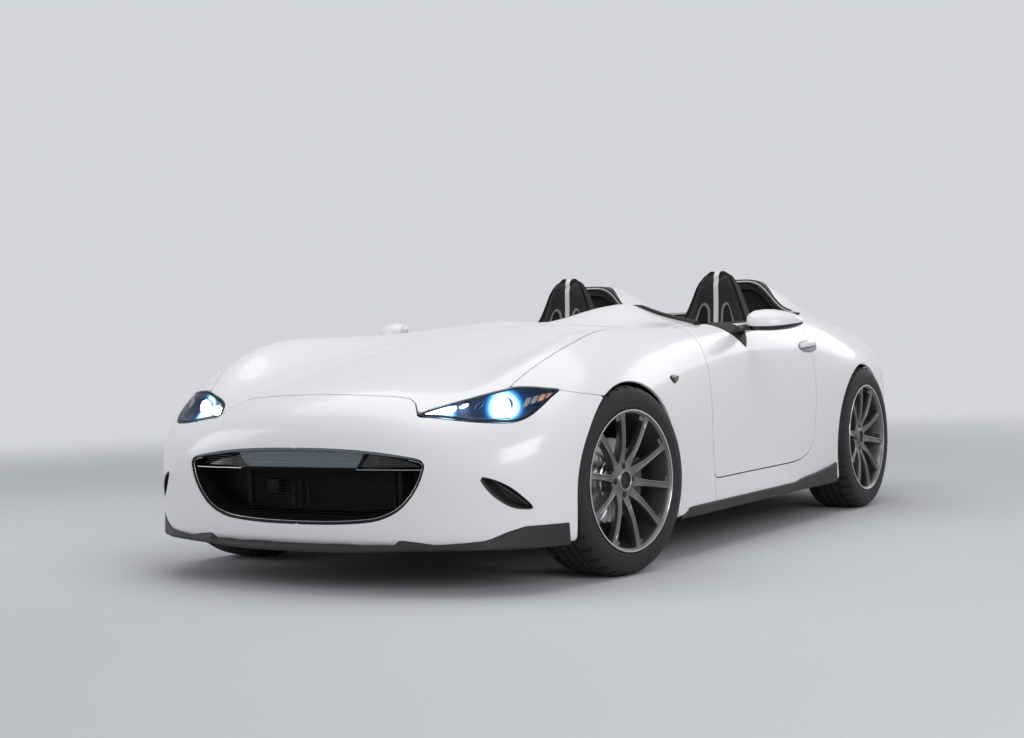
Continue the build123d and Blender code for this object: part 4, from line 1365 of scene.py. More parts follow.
class Bench:
    """Shapes primitives in edit mode."""

    @staticmethod
    def turned(name: str, profile: Sequence[Pair], sides: int = 64, closed: bool = True) -> Piece:
        """Piece turned about its own Z axis: a ring that is extruded and resized along a profile.

        Args:
            name: The piece's name.
            profile: Radii and heights; the last joins the first where it is closed.
            sides: Corners of the ring.
            closed: Whether the profile is a closed ring; otherwise its ends are capped.

        Returns:
            The piece.
        """
        bpy.ops.object.select_all(action="DESELECT")
        bpy.ops.mesh.primitive_circle_add(
            vertices=sides, radius=profile[0][0], location=(0, 0, profile[0][1]))
        piece = bpy.context.object
        bpy.ops.object.transform_apply(location=True, rotation=True, scale=True)
        bpy.ops.object.mode_set(mode="EDIT")
        bpy.ops.mesh.select_mode(type="VERT")
        bpy.ops.mesh.select_all(action="SELECT")
        ring = list(profile[1:]) + ([profile[0]] if closed else [])
        radius, height = profile[0]
        for new_radius, new_height in ring:
            bpy.ops.mesh.extrude_region_move(
                TRANSFORM_OT_translate={"value": (0, 0, new_height - height)})
            if abs(new_radius - radius) > 1e-9:
                share = new_radius / radius
                bpy.ops.transform.resize(
                    value=(share, share, 1), center_override=(0, 0, new_height))
            radius, height = new_radius, new_height
        bpy.ops.mesh.select_all(action="SELECT")
        bpy.ops.mesh.remove_doubles(threshold=1e-6)
        if not closed:
            bpy.ops.mesh.select_mode(type="EDGE")
            bpy.ops.mesh.select_all(action="DESELECT")
            bpy.ops.mesh.select_non_manifold()
            bpy.ops.mesh.fill_holes(sides=0)
            bpy.ops.mesh.select_all(action="SELECT")
        bpy.ops.mesh.normals_make_consistent(inside=False)
        bpy.ops.object.mode_set(mode="OBJECT")
        piece.name = piece.data.name = name
        return piece

    @staticmethod
    def block(name: str, low: Point, high: Point, rounding: float = 0, segments: int = 3) -> Piece:
        """Block between two corners, with rounded edges.

        Args:
            name: The piece's name.
            low: Lowest corner, with y from the front axle.
            high: Highest corner.
            rounding: Radius of the edges.
            segments: Faces round an edge.

        Returns:
            The piece.
        """
        bpy.ops.object.select_all(action="DESELECT")
        middle = [(a + b) / 2 for a, b in zip(low, high)]
        bpy.ops.mesh.primitive_cube_add(size=1, location=(middle[0], middle[1] + AXLE_Y, middle[2]))
        piece = bpy.context.object
        piece.scale = [b - a for a, b in zip(low, high)]
        bpy.ops.object.transform_apply(location=True, rotation=True, scale=True)
        if rounding:
            bpy.ops.object.mode_set(mode="EDIT")
            bpy.ops.mesh.select_all(action="SELECT")
            bpy.ops.mesh.bevel(offset=rounding, segments=segments, affect="EDGES")
            bpy.ops.object.mode_set(mode="OBJECT")
        piece.name = piece.data.name = name
        return piece

    @staticmethod
    def pick(piece: Piece, test: Callable[[Vector, Vector], bool]) -> None:
        """Select the faces of the piece in edit mode whose centre and normal pass a test."""
        bpy.ops.mesh.select_mode(type="FACE")
        bpy.ops.mesh.select_all(action="DESELECT")
        bm = bmesh.from_edit_mesh(piece.data)
        for face in bm.faces:
            face.select_set(test(face.calc_center_median(), face.normal))
        bmesh.update_edit_mesh(piece.data)

    @staticmethod
    def place(piece: Piece, at: Point, axis: Point = (0, 0, 1), spin: float = 0) -> Piece:
        """Move a piece that was made about the origin to its place in the car.

        Args:
            piece: The piece.
            at: Its new origin, with y from the front axle.
            axis: Where its own Z axis points.
            spin: Turn about its own Z axis first.

        Returns:
            The piece.
        """
        turn = Vector(axis).to_track_quat("Z", "Y").to_matrix().to_4x4() @ Matrix.Rotation(
            spin, 4, "Z")
        piece.data.transform(Matrix.Translation((at[0], at[1] + AXLE_Y, at[2])) @ turn)
        return piece

    @staticmethod
    def lofted(
            name: str, rings: Sequence[Sequence[Point]], caps: bool = True,
            closed: bool = False) -> Piece:
        """Skin over rings of equally many points.

        Args:
            name: The piece's name.
            rings: The rings, with y from the front axle.
            caps: Whether the first and last rings are filled.
            closed: Whether the last ring joins the first.

        Returns:
            The piece.
        """
        count = len(rings[0])
        points = np.array(rings, float).reshape(-1, 3)
        faces = []
        for i in range(len(rings) if closed else len(rings) - 1):
            a, b = i * count, (i + 1) % len(rings) * count
            faces += [
                (a + k, a + (k + 1) % count, b + (k + 1) % count, b + k) for k in range(count)]
        if caps and not closed:
            faces += [
                tuple(range(count - 1, -1, -1)), tuple(range(len(points) - count, len(points)))]
        piece = Shop.from_arrays(name, points, faces)
        Shop.tidy(piece, 1e-6)
        return piece

    @classmethod
    def tube(
            cls, name: str, path: Sequence[Point], radius: float, sides: int = 12,
            squash: float = 1) -> Piece:
        """Round bar along a path.

        Args:
            name: The piece's name.
            path: Its middle line, with y from the front axle.
            radius: Its radius.
            sides: Corners of its section.
            squash: Height of the section over its width.

        Returns:
            The piece.
        """
        line = [Vector(p) for p in path]
        rings = []
        for i, point in enumerate(line):
            ahead = (line[min(i + 1, len(line) - 1)] - line[max(i - 1, 0)]).normalized()
            level = ahead.cross(Vector((0, 0, 1)))
            level = level.normalized() if level.length > 1e-3 else Vector((1, 0, 0))
            up = level.cross(ahead)
            rings.append([
                tuple(point + radius * (math.cos(t) * level + squash * math.sin(t) * up))
                for t in (2 * math.pi * k / sides for k in range(sides))])
        return cls.lofted(name, rings)


# --- Wheels --------------------------------------------------------------------------------------

class Corner(Enum):
    """The four wheels: side, whether it steers, and the body that carries it."""

    FRONT_LEFT = (1, True, "front_left_wheel")
    FRONT_RIGHT = (-1, True, "front_right_wheel")
    REAR_LEFT = (1, False, "rear_left_wheel")
    REAR_RIGHT = (-1, False, "rear_right_wheel")

    def matrix(self) -> Matrix:
        """Placement of a left wheel that was made about the origin with its face towards +X."""
        side, steers, _ = self.value
        reach = WHEEL_FACE_X - Wheel.width / 2
        mirror = Matrix.Diagonal((side, 1, 1, 1))
        if not steers:
            return Matrix.Translation((side * reach, AXLE_Y + WHEELBASE, TYRE_RADIUS)) @ mirror
        pivot = Matrix.Translation((
            side * KINGPIN_X, AXLE_Y, TYRE_RADIUS)) @ Matrix.Rotation(STEER, 4, "Z")
        return pivot @ mirror @ Matrix.Translation((reach - KINGPIN_X, 0, 0))


@dataclass
class Wheel:
    """A ten-spoke wheel with its tyre and brake disc, made once and placed four times."""

    width = .215
    spokes: int = 10
    lugs: int = 4
    lug_circle: float = .05
    phase: float = math.radians(27.3)
    face: tuple[Pair, ...] = (
        (.046, .069), (.064, .0715), (.085, .079), (.105, .0855), (.13, .091), (.16, .095),
        (.19, .0975), (.212, .0985), (.225, .0985))
    breadth: tuple[Pair, ...] = (
        (.046, .037), (.064, .033), (.085, .0275), (.105, .024), (.13, .0224), (.16, .0222),
        (.19, .0235), (.212, .0262), (.225, .0315))
    depth: tuple[Pair, ...] = ((.046, .034), (.085, .032), (.13, .029), (.19, .028), (.225, .03))

    def barrel(self) -> Piece:
        """Rim with its outer lip, its step and its inner drop."""
        profile = (
            (.2353, .1046), (.234, .1055), (.2306, .1055), (.2292, .1046), (.2286, .1018),
            (.2268, .1), (.2238, .0988), (.2222, .0955), (.2205, .086), (.215, .064), (.2095, .03),
            (.2085, -.03), (.212, -.07), (.2215, -.088), (.228, -.1046), (.2353, -.1055),
            (.2353, -.1), (.2262, -.096), (.2262, .096), (.2353, .1))
        return Bench.turned("rim", profile, 120)

    def spoke(self, angle: float) -> Piece:
        """One spoke, rising from the hub to the lip, with a grooved face.

        Args:
            angle: Its place round the wheel.

        Returns:
            The piece, in the turned pieces' measure.
        """
        face, breadth, depth = Curve(self.face), Curve(self.breadth), Curve(self.depth)
        rings = []
        for r in np.linspace(.046, .225, 15):
            h, w, d = float(face(r)), float(breadth(r)) / 2, float(depth(r))
            sink = .0042 * float(np.interp(r, (.06, .09, .2, .218), (0, 1, 1, 0)))
            section = (
                (-w, h - .006), (-w + .0012, h - .0012), (-w + .0034, h), (-w * .52, h - .0006),
                (-w * .3, h - sink), (w * .3, h - sink), (w * .52, h - .0006), (w - .0034, h),
                (w - .0012, h - .0012), (w, h - .006), (w * 1.08, h - d * .7), (w * .8, h - d),
                (-w * .8, h - d), (-w * 1.08, h - d * .7))
            rings.append([turned_point(r, t, angle, z) for t, z in section])
        return Bench.lofted("spoke", rings)

    def foot(self, angle: float) -> Piece:
        """Small ledge beside a spoke's outer end.

        Args:
            angle: The spoke's place.

        Returns:
            The piece.
        """
        rings = []
        for r, low in ((.205, .07), (.2245, .062)):
            ring = [(r, .012, low), (r, .032, low), (r, .032, .0915), (r, .012, .0945)]
            rings.append([turned_point(x, y, angle, z) for x, y, z in ring])
        return Bench.lofted("spoke_foot", rings)

    def lug_places(self) -> list[Pair]:
        """Places of the nuts round the wheel's axis."""
        turns = [2 * math.pi / self.lugs * k for k in range(self.lugs)]
        return [(self.lug_circle * math.cos(t), self.lug_circle * math.sin(t)) for t in turns]

    def hub(self) -> Piece:
        """Hub with the holes for its nuts."""
        hub = Bench.turned("hub", (
            (.0285, .056), (.0285, .0735), (.0305, .076), (.0335, .076), (.036, .0725),
            (.04, .0705), (.06, .0695), (.066, .0665), (.069, .058), (.068, .042), (.064, .03),
            (.0285, .029)), 72)
        for x, y in self.lug_places():
            bpy.ops.object.select_all(action="DESELECT")
            bpy.ops.mesh.primitive_cylinder_add(
                vertices=24, radius=.0118, depth=.05, location=(x, y, .082))
            cutter = bpy.context.object
            Shop.modify(hub, "BOOLEAN", operation="DIFFERENCE", object=cutter, solver="EXACT")
            bpy.data.objects.remove(cutter)
        return hub

    def nuts(self) -> Piece:
        """The wheel nuts, domed hexagons."""
        nuts = []
        for x, y in self.lug_places():
            nut = Bench.turned("nut", (
                (.0088, .0575), (.0088, .069), (.0075, .0725), (.004, .0745)), 6, closed=False)
            nut.data.transform(Matrix.Translation((x, y, 0)))
            nuts.append(nut)
        return Shop.join("wheel_nuts", nuts)

    def cap_ring(self) -> Piece:
        """Polished ring round the cap."""
        return Bench.turned("cap_ring", (
            (.0286, .07), (.0286, .0768), (.03, .0782), (.0335, .0782), (.035, .0768),
            (.035, .07)), 60)

    def cap(self) -> Piece:
        """Bare centre cap."""
        return Bench.turned("cap", (
            (.0283, .056), (.0283, .069), (.0265, .0705), (.0245, .07), (.0235, .0685),
            (.017, .0705), (.008, .0715), (.001, .0717)), 48, closed=False)

    def disc(self) -> Piece:
        """Vented brake disc with its bell."""
        return Bench.turned("brake_disc", (
            (.1395, .0118), (.1395, .0035), (.137, .003), (.137, -.003), (.1395, -.0035),
            (.1395, -.0118), (.078, -.0118), (.074, -.009), (.074, .027), (.07, .029), (.04, .029),
            (.04, .032), (.076, .032), (.08, .028), (.08, .013), (.083, .0118)), 96)

    def tyre(self) -> Piece:
        """Tyre with grooves, tread blocks and a plain sidewall."""
        wall = (
            (.2358, .096), (.2368, .101), (.24, .1045), (.244, .1052), (.246, .1066), (.25, .107),
            (.252, .1058), (.262, .1075), (.274, .1075), (.276, .1068), (.286, .1058),
            (.295, .1022), (.302, .0965), (.3075, .089))
        tread = [(.3112, .08), (.3135, .07), (.3142, .06), (.3146, .056)]
        for groove in (.051, .0175):
            tread += [
                (.3148, groove + .0045), (.3088, groove + .0032), (.3088, groove - .0032),
                (.3148, groove - .0045)]
        half = list(wall) + tread
        profile = half + [(r, -h) for r, h in reversed(half)]
        piece = Bench.turned("tyre", profile, 144)
        Shop.only(piece)
        bpy.ops.object.mode_set(mode="EDIT")
        step = 2 * math.pi / 144

        def sipe(centre: Vector, normal: Vector) -> bool:
            """Every fourth step of the shoulders."""
            place = int(math.floor(math.atan2(centre.y, centre.x) / step + 72 + 1e-3))
            outer = math.hypot(centre.x, centre.y) > .3
            return outer and place % 4 == 0 and .06 < abs(centre.z) < .093

        Bench.pick(piece, sipe)
        bpy.ops.mesh.extrude_region_move(TRANSFORM_OT_translate={"value": (0, 0, 0)})
        bpy.ops.transform.resize(value=(.984, .984, 1), center_override=(0, 0, 0))
        bpy.ops.object.mode_set(mode="OBJECT")
        return piece

    def caliper(self) -> Piece:
        """Brake caliper over the disc's forward side, with two pistons and a carrier below."""
        parts = []
        for low, high, tall in ((102, 150, 1.0), (236, 254, .55)):
            rings = []
            for degrees in np.linspace(low, high, 9):
                a = math.radians(float(degrees))
                edge = min(degrees - low, high - degrees) / (high - low)
                grow = .55 + .45 * min(1, edge * 6)
                out, deep = .145 + .006 * grow * tall, .04 * grow * (.6 + .4 * tall)
                ring = [
                    (.092, .015), (.094, deep), (.106, deep + .003), (.132, deep + .003),
                    (out, deep - .006), (out + .003, 0), (out, -.03 * grow), (.13, -.036 * grow),
                    (.098, -.034 * grow), (.092, -.015), (.1425, -.015), (.1425, .015)]
                rings.append([(r * math.cos(a), r * math.sin(a) - AXLE_Y, h) for r, h in ring])
            parts.append(Bench.lofted("caliper", rings))
        for degrees in (116, 136):
            a = math.radians(degrees)
            piston = Bench.turned("piston", (
                (.0165, .036), (.0165, .046), (.014, .0475), (.006, .048)), 24, closed=False)
            piston.data.transform(Matrix.Translation((.118 * math.cos(a), .118 * math.sin(a), 0)))
            parts.append(piston)
        return Shop.join("caliper", parts)

    def set_up(
            self, made: Piece, corner: Corner, name: str, paint: Paint, slot: str,
            replaces: Sequence[str] = ()) -> None:
        """Copy a wheel part to one corner.

        Args:
            made: The part, about its own axis.
            corner: The corner.
            name: The part's name.
            paint: Its finish.
            slot: The record's slot.
            replaces: Frame nodes that it stands for.
        """
        side, _, body = corner.value
        copy = made.copy()
        copy.data = made.data.copy()
        copy.name = f"{name}_{corner.name.lower()}"
        bpy.context.scene.collection.objects.link(copy)
        facing = Matrix(((0, 0, 1, 0), (1, 0, 0, 0), (0, 1, 0, 0), (0, 0, 0, 1)))
        copy.data.transform(corner.matrix() @ facing)
        if side < 0:
            copy.data.flip_normals()
        if name == "caliper":
            body = {
                "front_left_wheel": "left_knuckle",
                "front_right_wheel": "right_knuckle"}.get(body, "body")
            slot = "chassis_metal" if body == "body" else "knuckle_metal"
        Shop.hand_in(copy, body, paint, slot, replaces)

    def make(self) -> None:
        """Make the parts and place them at each corner."""
        angles = [self.phase + 2 * math.pi * k / self.spokes for k in range(self.spokes)]
        metal = [self.barrel(), self.hub(), *map(self.spoke, angles), *map(self.foot, angles)]
        rim = Shop.join("rim", metal)
        parts = (
            (rim, "alloy_wheel", Paint.GUNMETAL, "wheel_metal", "wheel"),
            (self.lip(), "wheel_lip", Paint.BRIGHT, "wheel_metal", ""),
            # the nuts are painted near-black as painted shade of the holes they sit in
            (self.nuts(), "wheel_nuts", Paint.CAST_BLACK, "wheel_metal", ""),
            (self.cap(), "centre_cap", Paint.MATT_BLACK, "wheel_metal", ""),
            (self.cap_ring(), "cap_ring", Paint.SATIN_METAL, "wheel_metal", ""),
            (self.disc(), "brake_disc", Paint.STEEL, "wheel_metal", ""),
            (self.caliper(), "caliper", Paint.SILVER, "knuckle_metal", ""),
            (self.tyre(), "road_tyre", Paint.RUBBER, "tyre", "tyre"))
        for corner in Corner:
            place = corner.name.lower()
            for made, name, paint, slot, node in parts:
                nodes = [f"{node}_{place}"] if node else []
                self.set_up(made, corner, name, paint, slot, nodes)
        for made, *_ in parts:
            bpy.data.objects.remove(made)

    def lip(self) -> Piece:
        """Machined edge of the rim."""
        return Bench.turned("lip", (
            (.2352, .1044), (.2345, .106), (.23, .106), (.2292, .1052), (.2296, .1048),
            (.2345, .105)), 120)


# --- Lower trim ----------------------------------------------------------------------------------

def contour(height: float, angles: Array, centre: Pair = (0, .02)) -> list[Vector]:
    """The body's outline at a height.

    Args:
        height: The height.
        angles: Directions from the centre, 0 towards the nose.
        centre: Where the directions start.

    Returns:
        Points of the outline.
    """
    grid = Grid(Aim.FAN, (0, 1), (0, 1), (1, 1), (centre[0], centre[1], height))
    return [Vector(p) for p in grid.meet(np.asarray(angles, float), np.zeros(len(angles)))]


def outward(line: Sequence[Vector]) -> list[Vector]:
    """Level normals of a line that runs from the car's right round its nose to its left."""
    normals = []
    for i in range(len(line)):
        run = line[min(i + 1, len(line) - 1)] - line[max(i - 1, 0)]
        normals.append(Vector((run.y, -run.x, 0)).normalized())
    return normals


@dataclass
class LowerTrim:
    """Black lip under the nose and the side skirts."""

    underside: float = .134
    top: float = .156
    reach: Pair = (.014, .034)
    skirt_low: float = .146

    def rise(self, x: float) -> float:
        """Height of the strake beside the mouth at a place across the car."""
        half = abs(x)
        return .02 * float(np.interp(half, (.36, .38, .49), (0, 1, 0)))

    def lip(self) -> None:
        """Splitter round the nose, rising to a blade before each front wheel."""
        angles = np.linspace(math.radians(-63.6), math.radians(63.6), 120)
        levels = np.linspace(.16, .225, 8)
        wall = np.array([[tuple(p) for p in contour(float(z), angles)] for z in levels])
        line = contour(.165, angles)
        rings = []
        for k, (point, normal) in enumerate(zip(line, outward(line))):
            share = math.exp(-(point.x / .36) ** 4)
            end = float(np.interp(point.y, (-.65, -.57, -.49, -.415), (0, .014, .036, .052)))
            blend = end / .052
            reach = self.reach[0] + (self.reach[1] - self.reach[0]) * share
            lift = .01 * (1 - share)
            low, high = self.underside + lift, self.top + lift * .6
            crest = high + self.rise(point.x)
            foot = Vector([
                float(np.interp(crest + end, levels, wall[:, k, a]))
                for a in (0, 1)] + [0]) if end else point
            edge, back = foot + normal * (reach + (.006 - reach) * blend), point - normal * .11
            top = foot + normal * (.003 if end else .001)
            ring = [
                (back, low), (edge - normal * .004, low), (edge, low + .004), (edge, low + .01),
                (edge - normal * .005 * (1 - blend), low + .014), (top, crest + end),
                (top - normal * .012, crest + end), (back, high)]
            rings.append([(p.x, p.y, z) for p, z in ring])
        Shop.hand_in(
            Bench.lofted("nose_lip", rings), "body", Paint.MATT_BLACK, "black_trim",
            ["front_splitter"], 30)

    def skirt(self) -> Piece:
        """Side skirt of the left side, with its winglet."""
        rings = []
        for y in np.concatenate([np.linspace(.372, 1.7, 24), np.linspace(1.72, 1.918, 9)]):
            sill = float(BODY.flank(np.array([y]), np.array([.19]))[0])
            fin = float(np.interp(y, (1.47, 1.54, 1.7, 1.86, 1.918), (0, .01, .02, .036, .046)))
            swell = float(np.interp(y, (.372, .5, 1.5, 1.918), (-.004, .006, .008, .013)))
            out, low = min(sill + swell, .8665), self.skirt_low
            rings.append([
                (sill - .085, y, low), (out - .004, y, low), (out, y, low + .004),
                (out, y, low + .034 + fin), (out - .002, y, low + .037 + fin),
                (out - .008, y, low + .038 + fin),
                (sill - .004 if fin < .008 else out - .01, y, low + .04),
                (sill - .085, y, low + .042)])
        return Bench.lofted("side_skirt", rings)

    def make(self) -> None:
        """Build the lip and both skirts."""
        self.lip()
        Shop.hand_in_both(
            self.skirt(), "skirt", "body", Paint.MATT_BLACK, "black_trim", "side_skirt", 30)


# --- Mirrors -------------------------------------------------------------------------------------

@dataclass
class Mirror:
    """Door mirror: painted shell over a black base, on a foot in the window's corner."""

    # x of the section, front y, rear y, low z, belt z at the front, belt z at the rear, high z
    sections: tuple[tuple[float, ...], ...] = (
        (.809, 1.092, 1.13, .822, .828, .832, .852), (.815, 1.074, 1.142, .81, .823, .828, .866),
        (.835, 1.062, 1.15, .803, .82, .826, .8755), (.865, 1.061, 1.162, .8, .818, .825, .878),
        (.9, 1.07, 1.177, .799, .817, .824, .8765), (.93, 1.086, 1.19, .801, .818, .824, .8715),
        (.955, 1.108, 1.202, .805, .82, .825, .864), (.973, 1.134, 1.212, .811, .823, .827, .855),
        (.984, 1.162, 1.218, .817, .826, .829, .846), (.989, 1.19, 1.22, .823, .829, .831, .838))

    def ring(self, row: Sequence[float], upper: bool) -> list[Point]:
        """One section of the housing.

        Args:
            row: A row of the sections.
            upper: Whether it is the painted shell's section or the black base's.

        Returns:
            Its points.
        """
        x, fore, rear, low, belt, back_belt, high = row
        if upper:
            shape = (
                (0, 0), (-.012, .22), (.035, .5), (.14, .78), (.3, .94), (.5, 1.0), (.72, 1.0),
                (.9, .96), (.98, .88), (1, .7), (1, 0))
            return [
                (x, fore + (rear - fore) * a, belt + (back_belt - belt) * a + (high - belt) * b)
                for a, b in shape]
        shape = (
            (.012, 1), (.985, 1), (.985, .4), (.93, .1), (.8, 0), (.3, 0), (.12, .16), (.03, .55))
        return [
            (x, fore + (rear - fore) * a, low + (belt + (back_belt - belt) * a - low) * b)
            for a, b in shape]

    def housing(self) -> list[tuple[Piece, Paint]]:
        """Shell, base, glass and foot of the left mirror."""
        table = np.array(self.sections)
        rows = [
            [float(np.interp(x, table[:, 0], table[:, k])) for k in range(7)]
            for x in (
                .809, .811, .815, .823, .835, .85, .865, .883, .9, .915, .93, .943, .955, .965,
                .973, .979, .984, .987, .989)]
        shell = Bench.lofted("mirror_shell", [self.ring(row, True) for row in rows])
        base = Bench.lofted("mirror_base", [self.ring(row, False) for row in rows])
        foot = Bench.lofted("mirror_foot", [
            [(.756, 1.04, .762), (.756, 1.128, .756), (.772, 1.128, .782), (.772, 1.04, .792)],
            [(.786, 1.046, .798), (.786, 1.116, .792), (.782, 1.116, .818), (.782, 1.046, .822)],
            [(.812, 1.066, .803), (.812, 1.126, .801), (.808, 1.126, .826), (.808, 1.066, .828)],
            [(.848, 1.076, .801), (.848, 1.13, .801), (.848, 1.13, .815), (.848, 1.076, .815)]])
        pane = [[(x + .005, y + .03 + d, z) for x, y, z in (
            (.822, 1.1185, .83), (.835, 1.1235, .829), (.9, 1.15, .828), (.96, 1.1785, .829),
            (.972, 1.185, .834), (.962, 1.18, .852), (.92, 1.159, .865), (.86, 1.133, .87),
            (.832, 1.122, .868), (.822, 1.118, .86))] for d in (-.001, .0016)]
        glass = Bench.lofted("mirror_glass", pane)
        return [
            (shell, Paint.BODY), (base, Paint.GLOSS_BLACK), (foot, Paint.GLOSS_BLACK),
            (glass, Paint.BRIGHT)]

    def make(self) -> None:
        """Build both mirrors."""
        for piece, paint in self.housing():
            slot, node = ("body_paint", "mirror") if paint is Paint.BODY else ("black_trim", "")
            Shop.hand_in_both(piece, piece.name, "{}_door", paint, slot, node, 40)


# --- Seats and hoops -----------------------------------------------------------------------------

@dataclass
class Upholstery:
    """Swells a padded piece as a stitched cover does, by an applied cloth simulation."""

    voxel: float = .006
    pressure: float = 4.0
    frames: int = 20
    cap: float = .006

    def fill(self, piece: Piece, held: Region) -> None:
        """Swell a piece, and hold it where it rests on something.

        Args:
            piece: The piece, a little slimmer than it ends.
            held: Where it doesn't move.
        """
        Shop.modify(piece, "REMESH", mode="VOXEL", voxel_size=self.voxel)
        start = self.points(piece)
        group = piece.vertex_groups.new(name="held")
        still = np.nonzero(held(start - np.array([0, AXLE_Y, 0])) < 0)[0]
        group.add([int(k) for k in still], 1.0, "REPLACE")
        Shop.only(piece)
        swell = piece.modifiers.new("swell", "CLOTH")
        swell.settings.use_pressure = True
        swell.settings.uniform_pressure_force = self.pressure
        swell.settings.effector_weights.gravity = 0
        swell.settings.vertex_group_mass = "held"
        swell.point_cache.frame_end = self.frames
        for frame in range(1, self.frames + 1):
            bpy.context.scene.frame_set(frame)
        bpy.ops.object.modifier_apply(modifier=swell.name)
        bpy.context.scene.frame_set(1)
        move = self.points(piece) - start
        length = np.linalg.norm(move, axis=1, keepdims=True)
        move *= np.minimum(1, self.cap / np.maximum(length, 1e-9))
        piece.data.vertices.foreach_set("co", (start + move).ravel())
        piece.vertex_groups.clear()
        Shop.modify(piece, "SUBSURF", levels=1, render_levels=1)

    @staticmethod
    def points(piece: Piece) -> Array:
        """Places of a piece's points, one a row."""
        flat = np.empty(len(piece.data.vertices) * 3)
        piece.data.vertices.foreach_get("co", flat)
        return flat.reshape(-1, 3)

    def sew(self, piece: Piece, depth: Callable[[Array], Array]) -> None:
        """Press seams and channels into a filled piece.

        Args:
            piece: The piece.
            depth: Depth of the seams at points of the car's measure.
        """
        points = self.points(piece)
        flat = np.empty(len(points) * 3)
        piece.data.vertices.foreach_get("normal", flat)
        sunk = depth(points - np.array([0, AXLE_Y, 0]))
        piece.data.vertices.foreach_set("co", (
            points - flat.reshape(-1, 3) * sunk[:, None]).ravel())
        piece.data.update()


